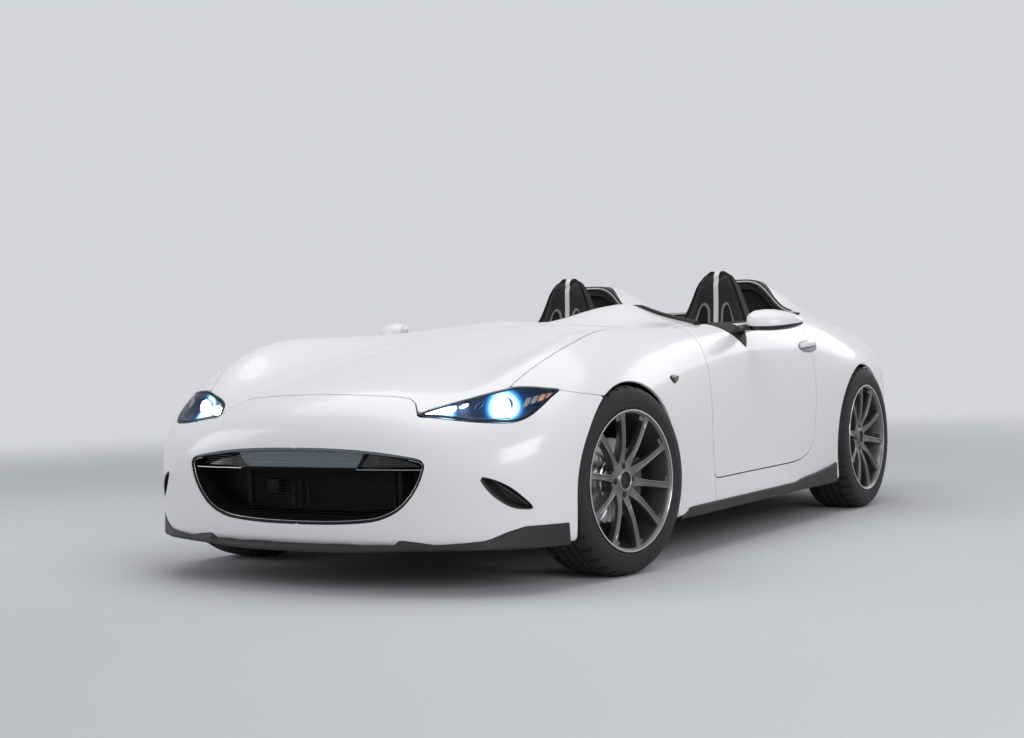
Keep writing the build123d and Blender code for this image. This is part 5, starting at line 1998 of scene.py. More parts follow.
@dataclass
class Seat:
    """Winged bucket seat: shell, padded cushion and back, stripe and harness slots."""

    middle: float = .372
    cover: Upholstery = field(default_factory=Upholstery)
    # height along the back: height, face y, back y, half width, wing depth
    back: tuple[tuple[float, ...], ...] = (
        (.3, 1.7, 1.8, .215, .07), (.4, 1.728, 1.822, .222, .085), (.5, 1.75, 1.838, .228, .09),
        (.6, 1.768, 1.852, .226, .085), (.7, 1.783, 1.866, .216, .08),
        (.76, 1.792, 1.875, .205, .072), (.81, 1.799, 1.882, .18, .056),
        (.85, 1.804, 1.887, .157, .042), (.9, 1.809, 1.892, .133, .03),
        (.95, 1.812, 1.893, .113, .024), (1.0, 1.813, 1.89, .093, .02),
        (1.035, 1.815, 1.885, .073, .015), (1.057, 1.82, 1.878, .052, .009),
        (1.071, 1.832, 1.866, .026, .004))

    def profile(self, z: float) -> list[float]:
        """Face, back, half width and wing depth of the back at a height."""
        table = np.array(self.back)
        return [float(np.interp(z, table[:, 0], table[:, k])) for k in range(1, 5)]

    def shell(self) -> Piece:
        """Hard shell of the back, wrapping round its wings."""
        rings = []
        for z in np.linspace(.3, 1.071, 34):
            face, back, half, wing = self.profile(z)
            ring = []
            for t in np.linspace(-1, 1, 17):
                bow = abs(t) ** 2.4
                ring.append((self.middle + half * t, face - wing * bow, z))
            for t in np.linspace(1, -1, 17):
                bow = abs(t) ** 2.0
                ring.append((self.middle + (half + .006) * t, back - (wing + .045) * bow, z))
            rings.append(ring)
        return Bench.lofted("seat_shell", rings)

    def lower_shell(self) -> Piece:
        """Hard tub under the cushion with raised sides."""
        rings = []
        for y in np.linspace(1.292, 1.8, 16):
            share = (y - 1.292) / .508
            side = .395 + .075 * math.sin(math.pi * min(1, share * 1.1)) + .02 * share
            floor = .33 - .05 * share
            ring = [
                (-.232, side), (-.222, side + .006), (-.196, side - .004), (-.172, floor + .012),
                (0, floor), (.172, floor + .012), (.196, side - .004), (.222, side + .006),
                (.232, side), (.226, .3), (.19, .222), (-.19, .222), (-.226, .3)]
            rings.append([(self.middle + x, y, z) for x, z in ring])
        return Bench.lofted("seat_tub", rings)

    def cushion(self) -> Piece:
        """Padded cushion."""
        rings = []
        for y, swell in (
                (1.296, .2), (1.304, .7), (1.33, .95), (1.4, 1), (1.5, 1), (1.6, .96), (1.68, .9),
                (1.715, .75), (1.728, .4)):
            share = (y - 1.296) / .43
            base = .35 - .045 * share
            ring = []
            for t in np.linspace(-1, 1, 13):
                crown = .053 * swell * (1 - abs(t) ** 4)
                crown += .034 * abs(t) ** 3 * (1 - abs(t) ** 9) * swell
                ring.append((self.middle + .172 * t, y, base + .006 + crown))
            ring += [(self.middle + .165, y, base), (self.middle - .165, y, base)]
            rings.append(ring)
        return Bench.lofted("seat_cushion", rings)

    def pads(self) -> Piece:
        """Padded face of the back, without openings: the harness slots are dark plugs laid on it."""
        rings = []
        for z in np.linspace(.372, 1.052, 40):
            face, _, half, wing = self.profile(z)
            edge = min(1.0, (z - .366) / .02, (1.06 - z) / .02)
            swell = .012 * math.sqrt(max(edge, .05))
            ring = []
            for t in np.linspace(-.9, .9, 19):
                bow = abs(t) ** 2.4
                bolster = .01 * math.exp(-((abs(t) - .72) / .16) ** 2)
                ring.append((
                    self.middle + half * t,
                    face - wing * bow - (swell + bolster) * (1 - (abs(t) / .92) ** 8), z))
            for t in np.linspace(.9, -.9, 7):
                ring.append((self.middle + half * t, face - wing * abs(t) ** 2.4 + .004, z))
            rings.append(ring)
        return Bench.lofted("seat_pad", rings)

    def behind_face(self, p: Array) -> Array:
        """Negative behind the back's face, where the pad rests on the shell."""
        table = np.array(self.back)
        face, half, wing = (np.interp(p[:, 2], table[:, 0], table[:, k]) for k in (1, 3, 4))
        return face - wing * (np.abs(p[:, 0] - self.middle) / half) ** 2.4 - .001 - p[:, 1]

    def cushion_seams(self, p: Array) -> Array:
        """Depth of the cushion's seams: two along it and four channels across."""
        side = np.abs(p[:, 0] - self.middle)
        deep = .005 * np.exp(-((side - .118) / .0042) ** 2)
        for y in (1.385, 1.455, 1.525, 1.595):
            deep = np.maximum(deep, .0036 * np.exp(-((p[:, 1] - y) / .0042) ** 2) * (side < .116))
        return deep * (p[:, 2] > .345)

    def back_seams(self, p: Array) -> Array:
        """Depth of the back's seams: along its bolsters and channels across its lower part."""
        table = np.array(self.back)
        half = np.interp(p[:, 2], table[:, 0], table[:, 3])
        side = np.abs(p[:, 0] - self.middle) / half
        deep = .004 * np.exp(-((side - .56) * half / .0042) ** 2) * (p[:, 2] < .78)
        for z in (.455, .525, .595, .665, .735):
            deep = np.maximum(deep, .0032 * np.exp(-((p[:, 2] - z) / .0042) ** 2) * (side < .55))
        return deep * (p[:, 1] < 1.8)

    def on_face(self, x: float, z: float, proud: float) -> Point:
        """Point on the padded face, found on the finished pad.

        Args:
            x: Place from the seat's middle.
            z: Height.
            proud: How far it stands out.

        Returns:
            The point.
        """
        hit, *_ = self.tree.ray_cast(Vector((self.middle + x, 1.4 + AXLE_Y, z)), Vector((0, 1, 0)))
        return (self.middle + x, (hit.y - AXLE_Y if hit else 1.8) - proud, z)

    def stripe(self) -> Piece:
        """White band up the middle of the back and over its top."""
        rings = []
        heights = list(np.linspace(.38, 1.032, 44))
        for z in heights:
            rings.append([
                self.on_face(-.011, z, .0006), self.on_face(-.004, z, .0018),
                self.on_face(.004, z, .0018), self.on_face(.011, z, .0006),
                self.on_face(.011, z, -.002), self.on_face(-.011, z, -.002)])
        for y, z in (
                (1.799, 1.046), (1.806, 1.06), (1.822, 1.0718), (1.85, 1.0728), (1.872, 1.066)):
            rings.append([
                (self.middle - .011, y, z), (self.middle - .004, y, z + .0006),
                (self.middle + .004, y, z + .0006), (self.middle + .011, y, z),
                (self.middle + .011, y + .002, z - .004), (self.middle - .011, y + .002, z - .004)])
        return Bench.lofted("seat_stripe", rings)

    def slots(self) -> tuple[Piece, Piece]:
        """Harness slots: two rims, and dark plugs inside them as painted shade of the openings."""
        rims, holes = [], []
        for side in (-1, 1):
            outline = smooth([
                (.028, .8), (.026, .87), (.03, .912), (.046, .932), (.064, .926), (.08, .89),
                (.094, .845), (.104, .8), (.066, .79)], 5, closed=True)

            def ring(share: Pair, proud: float) -> list[Point]:
                """The outline drawn in about its middle, on the pad's face."""
                wide, tall = share
                return [
                    self.on_face(side * (.062 + (x - .062) * wide), .86 + (z - .86) * tall, proud)
                    for x, z in outline]

            for grow, proud, out in ((1.0, .004, rims), (.74, .0008, holes)):
                outer, inner = (grow, grow), (.72 * grow, .86 * grow)
                if out is rims:
                    rings = [
                        ring(outer, proud), ring(inner, proud), ring(inner, proud - .008),
                        ring(outer, proud - .008)]
                    out.append(Bench.lofted("rim", rings, closed=True))
                else:
                    # the plug stands on the face where the opening would be: painted shade
                    rings = [ring(outer, proud), ring(outer, proud - .008)]
                    out.append(Bench.lofted("hole", rings))
        return Shop.join("harness_rims", rims), Shop.join("harness_slots", holes)

    def make(self) -> None:
        """Build both seats."""
        cushion, back = self.cushion(), self.pads()
        self.cover.fill(cushion, before(2, .362))
        self.cover.sew(cushion, self.cushion_seams)
        self.cover.fill(back, self.behind_face)
        self.cover.sew(back, self.back_seams)
        self.tree = BVHTree.FromPolygons(
            [v.co for v in back.data.vertices], [p.vertices for p in back.data.polygons])
        rims, holes = self.slots()
        shell = Shop.join("seat_shell", [self.shell(), self.lower_shell()])
        made = (
            (shell, Paint.CARBON, "seat", 40), (cushion, Paint.CLOTH, "", 60),
            (back, Paint.CLOTH, "", 60), (self.stripe(), Paint.STRIPE, "", 60),
            # the slots' black plugs are painted shade of the harness openings
            (rims, Paint.GREY_EDGE, "", 40), (holes, Paint.SATIN_BLACK, "", 40))
        for piece, paint, node, angle in made:
            for part in Shop.hand_in_both(
                    piece, piece.name, "body", paint, "seat_trim", node, angle):
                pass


class Hoops:
    """Covered roll hoops and the dark linings of the fairings' openings."""

    def section(self, y: float, inset: float, foot: float) -> list[Point]:
        """Arch of a fairing's inside at a station.

        Args:
            y: The station.
            inset: Distance inside the skin.
            foot: Height of its feet.

        Returns:
            Points from the inner foot to the outer one.
        """
        xs = np.linspace(.15 + inset, .628 - inset, 21)
        station = np.full(len(xs), max(y, 2.03))
        zs = BODY.height(xs, station) - inset - .012
        return [(xs[0], y, foot)] + [
            (float(x), y, float(z)) for x, z in zip(xs, zs)] + [(xs[-1], y, foot)]

    def hoop(self) -> Piece:
        """Cover of the left hoop."""
        outer = [
            self.section(y, i, .8)
            for y, i in ((1.999, .006), (1.993, 0.0), (2.012, -.001), (2.026, .003))]
        inner = [self.section(y, i, .8) for y, i in ((2.026, .03), (2.01, .034), (1.996, .03))]
        rings = list(zip(*(outer + inner)))
        return Bench.lofted("hoop", [list(r) for r in rings])

    def lining(self) -> Piece:
        """Dark tunnel behind the hoop, closed at its end."""
        rings = [
            self.section(y, i, .815)
            for y, i in ((2.024, .008), (2.08, .012), (2.16, .016), (2.24, .022), (2.25, .1))]
        return Bench.lofted("lining", rings)

    def cover(self) -> Piece:
        """Black covers that wrap over the fairings' front edges."""

        def band(p: Array) -> Array:
            """The covers' plan, deepest over the top of each fairing."""
            half = np.abs(p[:, 0])
            deep = .01 + .082 * np.exp(-((half - .385) / .125) ** 4)
            return np.max([
                p[:, 1] - 2.02 - deep, 2.0205 - p[:, 1], half - .63, .125 - half], axis=0)

        grid = Grid(Aim.DOWN, (-.64, .64), (2.012, 2.125), (.0095, .0075))
        return patch("fairing_covers", grid, band, .0026, .0045)

    def make(self) -> None:
        """Build both hoops, their linings and the covers."""
        Shop.hand_in(self.cover(), "body", Paint.LEATHER, "black_trim", (), 40)
        for piece, paint, nodes in (
                (self.hoop(), Paint.LEATHER, ["roll_hoops"]), (self.lining(), Paint.TRIM, [])):
            right = Shop.mirrored(piece, piece.name + "_right")
            piece.name += "_left"
            both = Shop.join(piece.name.replace("_left", "s"), [piece, right])
            Shop.hand_in(both, "body", paint, "black_trim" if nodes else "cabin_trim", nodes, 50)


# --- Pieces that lie on the body's surface -------------------------------------------------------

def normals(p: Array, step: float = 1e-3) -> Array:
    """Outward normals of the body at points."""
    slope = np.stack([
        BODY.field(p + step * axis) - BODY.field(p - step * axis) for axis in np.eye(3)], 1)
    return slope / np.linalg.norm(slope, axis=1, keepdims=True)


def patch(
        name: str, grid: Grid, region: Region, raised: float | Callable[[Array], Array],
        thick: float = 0) -> Piece:
    """Piece that follows the body's surface.

    Args:
        name: The piece's name.
        grid: Sight lines that cover it.
        region: Its outline.
        raised: Height over the surface, or a function of the points that gives it.
        thick: Thickness inwards, or none for a bare skin.

    Returns:
        The piece.
    """
    points, faces = SheetMetal(grid, region).mesh()
    height = raised(points) if callable(raised) else raised
    points = points + normals(points) * np.reshape(height, (-1, 1) if np.ndim(height) else ())
    piece = Shop.from_arrays(name, points, faces)
    Shop.tidy(piece, 1e-4, outward=False)
    Panels.face_out(piece)
    if thick:
        Shop.modify(piece, "SOLIDIFY", thickness=thick, offset=-1)
    return piece


class Face:
    """Depth of the body behind one of its sides, read from a table that is filled once."""

    def __init__(self, aim: Aim, u: Pair, v: Pair, step: float) -> None:
        """Fill the table.

        Args:
            aim: The side.
            u: Reach of the first coordinate.
            v: Reach of the second coordinate.
            step: Distance between its lines.
        """
        self.low = (u[0], v[0])
        self.step = step
        us, vs = np.arange(u[0], u[1], step), np.arange(v[0], v[1], step)
        wide, tall = np.meshgrid(us, vs, indexing="ij")
        self.axis = 0 if aim is Aim.ACROSS else 1
        points = Grid(aim, u, v, (1, 1)).meet(wide.ravel(), tall.ravel())
        self.table = points[:, self.axis].reshape(wide.shape)

    def at(self, u: float, v: float) -> float:
        """Place of the surface along the side's axis."""
        rows, columns = self.table.shape
        a, b = (u - self.low[0]) / self.step, (v - self.low[1]) / self.step
        i, j = min(max(int(a), 0), rows - 2), min(max(int(b), 0), columns - 2)
        a, b = a - i, b - j
        t = self.table
        return float(
            (t[i, j] * (1 - a) + t[i + 1, j] * a) * (1 - b)
            + (t[i, j + 1] * (1 - a) + t[i + 1, j + 1] * a) * b)


NOSE = Face(Aim.AHEAD, (-.8, .8), (.12, .7), .005)
TAIL = Face(Aim.BEHIND, (-.78, .78), (.14, .78), .005)
FLANK = Face(Aim.ACROSS, (.25, 1.9), (.58, .86), .005)


def on_nose(x: float, z: float, depth: float = 0) -> Point:
    """Point on the nose as seen from the front, moved back by depth."""
    return (x, NOSE.at(x, z) + depth, z)


def inset_outline(points: Sequence[Pair], distance: float) -> list[Pair]:
    """Closed outline moved inwards by a distance."""
    ring = np.array(points)
    run = np.roll(ring, -1, axis=0) - np.roll(ring, 1, axis=0)
    normal = np.stack([-run[:, 1], run[:, 0]], 1)
    normal /= np.linalg.norm(normal, axis=1, keepdims=True) + 1e-12
    area = np.sum(ring[:, 0] * np.roll(ring[:, 1], -1) - np.roll(ring[:, 0], -1) * ring[:, 1])
    return [tuple(p) for p in ring + normal * distance * np.sign(area)]


def strip(
        name: str, line: Sequence[Pair], sections: Sequence[Pair],
        surface: Callable[..., Point] = on_nose, closed: bool = True) -> Piece:
    """Frame that follows an outline on the nose.

    Args:
        name: The piece's name.
        line: The outline, as seen from the front.
        sections: Distance inside the outline and depth behind the surface, for each of its edges.
        surface: Gives a point on the surface at a depth.
        closed: Whether the section is a closed ring.

    Returns:
        The piece.
    """
    rings = []
    for inside, depth in sections:
        outline = inset_outline(line, inside)
        rings.append([surface(x, z, depth) for x, z in outline])
    return Bench.lofted(name, rings, caps=False, closed=closed)


@dataclass(frozen=True)
class LampBowl(Finish):
    """Dark blue lamp housing with painted glow, emission round its projector and its running light.
    """

    # painted glow: centre, reach and strength of each pool of light painted on the bowl round the
    # projector and running light
    lit: tuple[tuple[Point, float, float], ...] = (
        ((.616, -.424, .579), .085, 1.0), ((.47, -.525, .567), .05, .8),
        ((.505, -.49, .58), .03, .45))

    def build(self, nodes: Nodes) -> None:
        """Fill the node tree."""
        nodes.tint(nodes.noise(160), (.003, .008, .02), (.006, .014, .032))
        nodes.ramp(nodes.noise(40), "Roughness", .35, .5)
        nodes.set(Specular_IOR_Level=.25, Emission_Strength=1.5)
        fold = nodes.add("VectorMath", operation="ABSOLUTE")
        nodes.link(nodes.place, fold.inputs[0])
        total = None
        # painted glow: the bowl's emission grows towards each point in lit, though the bowl is no
        # lamp
        for (x, y, z), reach, power in self.lit:
            away = nodes.add("VectorMath", operation="DISTANCE")
            nodes.link(fold.outputs[0], away.inputs[0])
            away.inputs[1].default_value = (x, abs(y + AXLE_Y), z)
            glow = nodes.spread(
                away.outputs["Value"], (reach * .3, reach), power, 0, "SMOOTHERSTEP")
            total = nodes.combine("ADD", total, glow) if total else glow
        shade = nodes.add("ValToRGB")
        ramp = shade.color_ramp
        ramp.elements[0].color = (0.0, .006, .025, 1)
        ramp.elements[1].color = (.95, 1.0, 1.0, 1)
        for place, colour in (
                (.22, (0.0, .035, .14, 1)), (.5, (.03, .25, .62, 1)), (.72, (.38, .76, 1.0, 1))):
            ramp.elements.new(place).color = colour
        nodes.link(total, shade.inputs[0])
        nodes.link(shade.outputs[0], nodes.shader.inputs["Emission Color"])


@dataclass
class HeadLamp:
    """Slim lamp: clear cover, bowl with painted glow, projector, running light and side reflector.
    """

    edge: Outline = Outline(View.FRONT, loop(LAMP_EDGE), True)
    lens_gap: float = .0012
    depth: float = .042
    projector: Point = (.612, -.42, .579)
    aim: Point = (.1, -1.0, 0.0)

    def grid(self, step: float = .0085) -> Grid:
        """Sight lines over the left lamp."""
        return Grid(Aim.FAN, (.55, 1.22), (.1, .42), (step, step), (0, .02, .36))

    def left(self, p: Array) -> Array:
        """The left lamp's region."""
        return np.maximum(self.edge(p), -p[:, 0])

    def sunk(self, p: Array) -> Array:
        """Depth of the bowl under the surface."""
        return -(.0042 + self.depth * (1 - np.exp(np.minimum(self.left(p) + .003, 0) / .014)))

    def shells(self) -> list[tuple[Piece, bpy.types.Material | Paint, str]]:
        """Cover, its black border and the bowl."""
        lens = patch("lamp_cover", self.grid(), lambda p: self.left(p) + self.lens_gap, 0.0, .0022)
        bowl = patch("lamp_bowl", self.grid(.0075), lambda p: self.left(p) + .003, self.sunk, .0015)
        line = inset_outline(self.edge.points, .0018)
        border = strip("lamp_border", line, ((0, .003), (.0055, .0034), (.006, .007), (0, .007)))
        return [
            (lens, Paint.GLASS, "lamp_cover"), (bowl, LampBowl(), "lamp_bowl"),
            (border, Paint.SATIN_BLACK, "lamp_border")]

    def optics(self) -> list[tuple[Piece, Paint, str]]:
        """Projector, running light and reflector."""
        x, y, z = self.projector
        ring = Bench.turned("projector_ring", (
            (.026, 0.0), (.0275, .006), (.029, .007), (.03, .003), (.03, -.012), (.026, -.016),
            (.025, -.004)), 48)
        ball = Bench.turned("projector_ball", (
            (.0256, -.006), (.0252, .002), (.0225, .01), (.017, .0165), (.01, .02),
            (.001, .0213)), 48, closed=False)
        for piece in (ring, ball):
            Bench.place(piece, (x, y, z), self.aim)
        pieces = [
            (ring, Paint.LAMP_CHROME, "projector_ring"), (ball, Paint.LAMP_WHITE, "projector_ball")]
        blade = [
            (.416, .561), (.43, .568), (.45, .5755), (.47, .581), (.482, .583), (.49, .577),
            (.492, .569), (.486, .5635), (.465, .5605), (.44, .5585)]
        light = Bench.lofted("running_light", [
            [on_nose(a, b, .008) for a, b in blade], [on_nose(a, b, .016) for a, b in blade]])
        dot = [(.498, .579), (.502, .586), (.512, .589), (.518, .584), (.513, .577), (.504, .575)]
        spot = Bench.lofted("running_spot", [
            [on_nose(a, b, .01) for a, b in dot], [on_nose(a, b, .018) for a, b in dot]])
        pieces.append((
            Shop.join("running_light", [light, spot]), Paint.LAMP_WHITE, "running_light"))
        ribs = []
        for cx, cz, wide, tall, paint in (
                (.693, .59, .0065, .015, Paint.CLEAR_FACET),
                (.7095, .597, .006, .013, Paint.CLEAR_FACET),
                (.7255, .603, .0065, .0115, Paint.AMBER), (.74, .609, .005, .008, Paint.AMBER)):
            outer = [
                (cx - wide, cz - tall), (cx + wide, cz - tall + .003), (cx + wide, cz + tall),
                (cx - wide, cz + tall - .002)]
            facet = Bench.lofted("facet", [
                [on_nose(a, b, .012) for a, b in outer],
                [on_nose(cx + (a - cx) * .3, cz + (b - cz) * .3, .019) for a, b in outer]])
            pieces.append((facet, paint, f"side_facet_{round(cx * 1000)}"))
        shelf = [
            on_nose(a, b, .012) for a, b in ((.5, .553), (.56, .545), (.62, .541), (.668, .543))]
        ribs.append(Bench.tube("rib", shelf, .0016, 8))
        loop_points = [
            on_nose(.556 + .0095 * math.cos(t), .583 + .0125 * math.sin(t), .012)
            for t in np.linspace(0, 2 * math.pi, 21)]
        ribs.append(Bench.tube("rib", loop_points, .0012, 6))
        pieces.append((Shop.join("lamp_ribs", ribs), Paint.LAMP_TRIM, "lamp_ribs"))
        return pieces

    def make(self) -> None:
        """Build both lamps."""
        for piece, paint, name in self.shells() + self.optics():
            material = paint.material() if isinstance(paint, Finish) else paint.material
            right = Shop.mirrored(piece, name + "_right")
            piece.name = name + "_left"
            for part, node in ((piece, "headlamp_left"), (right, "headlamp_right")):
                part.data.materials.clear()
                part.data.materials.append(material)
                Shop.round_off(part, 40)
                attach(part, "body")
                if name == "lamp_bowl":
                    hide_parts(node)
                log.info("%s: %d faces", part.name, len(part.data.polygons))


@dataclass
class Mouth:
    """The nose's opening: black frame, plain brushed bar, side panels, slats and the cooler."""

    bar_half: Pair = (.253, .2245)
    bar_low: float = .398
    rear: float = -.575

    def outline(self) -> list[Pair]:
        """The opening from the front, all round."""
        half = smooth(MOUTH_EDGE, 4)
        return half + [(-x, z) for x, z in reversed(half[1:-1])]

    def top(self, x: float) -> float:
        """Height of the opening's upper edge."""
        return float(np.interp(
            abs(x), [p[0] for p in MOUTH_EDGE[:6]], [p[1] for p in MOUTH_EDGE[:6]]))

    def frame_parts(self) -> None:
        """Frame, its brow, its bright line and the tunnel behind."""
        line = self.outline()
        ring = strip("mouth_frame", line, (
            (-.0015, .01), (.0005, .004), (.004, .003), (.0095, .006), (.0115, .015), (.013, .06),
            (.01, .06), (.004, .012)))
        Shop.hand_in(ring, "body", Paint.SATIN_BLACK, "black_trim", ["grille_surround"], 30)
        rows = []
        for x in np.linspace(-.458, .458, 61):
            z, end = self.top(x), .007 * (1 - .8 * (abs(x) / .458) ** 6)
            rows.append([
                on_nose(x, z - .0012, .0022), on_nose(x, z - .0012 - end, .0028),
                on_nose(x, z - .0022 - end, .006), on_nose(x, z - .0012, .006)])
        Shop.hand_in(
            Bench.lofted("mouth_brow", rows), "body", Paint.DARK_BAR, "brushed_bar", (), 40)
        low = [(x, z) for x, z in inset_outline(line, .0105) if z < .425]
        right = sorted([p for p in low if p[0] > 0], key=lambda p: -p[1])
        low = right + sorted([p for p in low if p[0] <= 0], key=lambda p: p[1])
        bright = Bench.tube("mouth_line", [on_nose(x, z, .0075) for x, z in low], .001, 8)
        Shop.hand_in(bright, "body", Paint.BRIGHT, "brushed_bar")
        tunnel = []
        for inside, y in ((.012, -.66), (.016, -.63), (.03, self.rear)):
            tunnel.append([(x, y, z) for x, z in inset_outline(line, inside)])
        shape = Bench.lofted("mouth_tunnel", tunnel, caps=False)
        Shop.modify(shape, "SOLIDIFY", thickness=.003, offset=0)
        Shop.hand_in(shape, "body", Paint.SATIN_BLACK, "black_trim")

    def bar(self) -> None:
        """Plain brushed bar across the top of the opening, with a step and a black lower lip."""
        wide, narrow = self.bar_half
        face, lower = [], []
        for t in np.linspace(-1, 1, 41):
            x_low, x_high = narrow * t, wide * t
            high = self.top(x_high) - .0095
            x_mid, mid = x_low + (x_high - x_low) * .55, self.bar_low + (high - self.bar_low) * .55
            face.append([
                on_nose(x_low, self.bar_low, .048), on_nose(x_low, self.bar_low, .0325),
                on_nose(x_low, self.bar_low + .0025, .0305), on_nose(x_mid, mid, .0285),
                on_nose(x_high, high, .024), on_nose(x_high, high + .001, .046)])
            lower.append([
                on_nose(x_low, self.bar_low - .0135, .058),
                on_nose(x_low, self.bar_low - .013, .047),
                on_nose(x_low, self.bar_low - .0005, .0335),
                on_nose(x_low, self.bar_low - .0005, .058)])
        Shop.hand_in(
            Bench.lofted("nose_bar", face), "body", Paint.DARK_BAR, "brushed_bar", ["grille_bar"],
            40)
        Shop.hand_in(
            Bench.lofted("nose_bar_lip", lower), "body", Paint.SATIN_BLACK, "black_trim", (), 40)
        tip = narrow + (wide - narrow) * .3
        edge = [on_nose(tip * t, self.bar_low + .015, .0288) for t in np.linspace(-1, 1, 41)]
        Shop.hand_in(
            Bench.tube("nose_bar_step", edge, .0006, 6), "body", Paint.BRUSHED, "brushed_bar")

    def side_panels(self) -> None:
        """Black pockets beside the bar, with a bright lower edge and thin louvres."""
        boxes, lines, louvres = [], [], []
        for side in (1, -1):
            rings = []
            for x in np.linspace(.226, .458, 18):
                top = self.top(x) - .0095
                low = min(.3945, top - .004)
                rings.append([
                    on_nose(side * x, low, .016), on_nose(side * x, low + .0015, .0135),
                    on_nose(side * x, low + .003, .03), on_nose(side * x, low + .006, .04),
                    on_nose(side * x, max(top - .006, low + .006), .044),
                    on_nose(side * x, top, .03), on_nose(side * x, top + .002, .055),
                    on_nose(side * x, low, .055)])
            boxes.append(Bench.lofted("box", rings))
            edge = [on_nose(side * x, .3935, .014) for x in np.linspace(.234, .456, 24)]
            lines.append(Bench.tube("edge", edge, .0011, 8))
            for k in range(4):
                z = .409 + .0078 * k
                reach = .42 - .01 * k
                louvres.append(Bench.tube("louvre", [
                    on_nose(side * x, z, .026) for x in np.linspace(.29, reach, 12)], .0009, 6))
        Shop.hand_in(
            Shop.join("nose_side_panels", boxes), "body", Paint.GLOSS_BLACK, "black_trim", (), 30)
        Shop.hand_in(Shop.join("nose_side_edges", lines), "body", Paint.BRIGHT, "brushed_bar")
        Shop.hand_in(Shop.join("nose_louvres", louvres), "body", Paint.GUNMETAL, "brushed_bar")

    def slats(self) -> None:
        """Fine level slats and the cooler behind them."""
        slats = []
        for k in range(19):
            z = .23 + .0086 * k
            half = float(np.interp(
                z, (.222, .243, .268, .305, .35, .4), (.2, .318, .372, .414, .445, .458))) - .004
            slats.append(Bench.block("slat", (-half, -.618, z - .0007), (half, -.606, z + .0007)))
        for x in (-.262, .32):
            slats.append(Bench.block("post", (x - .003, -.612, .226), (x + .003, -.598, .404)))
        Shop.hand_in(Shop.join("mouth_slats", slats), "body", Paint.SATIN_BLACK, "black_trim")
        core = Bench.block("cooler", (-.29, -.563, .236), (.29, -.528, .44), .002, 1)
        fins = [core]
        for k in range(24):
            z = .24 + .0084 * k
            fins.append(Bench.block("fin", (-.288, -.5665, z), (.288, -.5625, z + .003)))
        Shop.hand_in(Shop.join("cooler_core", fins), "body", Paint.CORE, "cooler", ["radiator"])
        tanks = [
            Bench.block("tank", (x - .016, -.572, .23), (x + .016, -.52, .446), .008, 3)
            for x in (.306, -.306)]
        for x, r in ((-.098, .009), (-.072, .004), (-.04, .005)):
            tanks.append(Bench.tube("pipe", [
                (x, -.588, .396), (x, -.592, .34), (x, -.588, .262)], r, 12))
        tanks.append(Bench.block("pump", (-.215, -.592, .3), (-.16, -.57, .352), .006, 2))
        Shop.hand_in(Shop.join("cooler_tanks", tanks), "body", Paint.CAST_BLACK, "cooler")

    def ducts(self) -> None:
        """Lens-shaped recesses with a blade, beside the mouth."""
        ring = list(loop(DUCT_EDGE))
        hollow = strip("duct", ring, (
            (-.0015, .006), (.0008, .0035), (.004, .005), (.006, .018), (.01, .042)), closed=False)
        floor_ring = [on_nose(x, z, .0415) for x, z in inset_outline(ring, .0098)]
        behind_ring = [(x, y + .003, z) for x, y, z in floor_ring]
        floor = Bench.lofted("duct_floor", [floor_ring, behind_ring])
        blade = Bench.lofted("duct_blade", [[on_nose(x, z, d) for x, z, d in row] for row in (
            ((.668, .352, .016), (.672, .35, .024), (.671, .344, .026), (.667, .346, .017)),
            ((.706, .32, .014), (.71, .318, .024), (.709, .311, .026), (.705, .313, .015)),
            ((.742, .281, .013), (.746, .279, .022), (.745, .274, .024), (.741, .275, .014)))])
        left = Shop.join("bumper_duct", [hollow, floor, blade])
        right = Shop.mirrored(left, "bumper_duct_right")
        left.name = "bumper_duct_left"
        for piece in (left, right):
            Shop.hand_in(piece, "body", Paint.MATT_BLACK, "black_trim", (), 30)

    def make(self) -> None:
        """Build the mouth and the ducts."""
        self.frame_parts()
        self.bar()
        self.side_panels()
        self.slats()
        self.ducts()


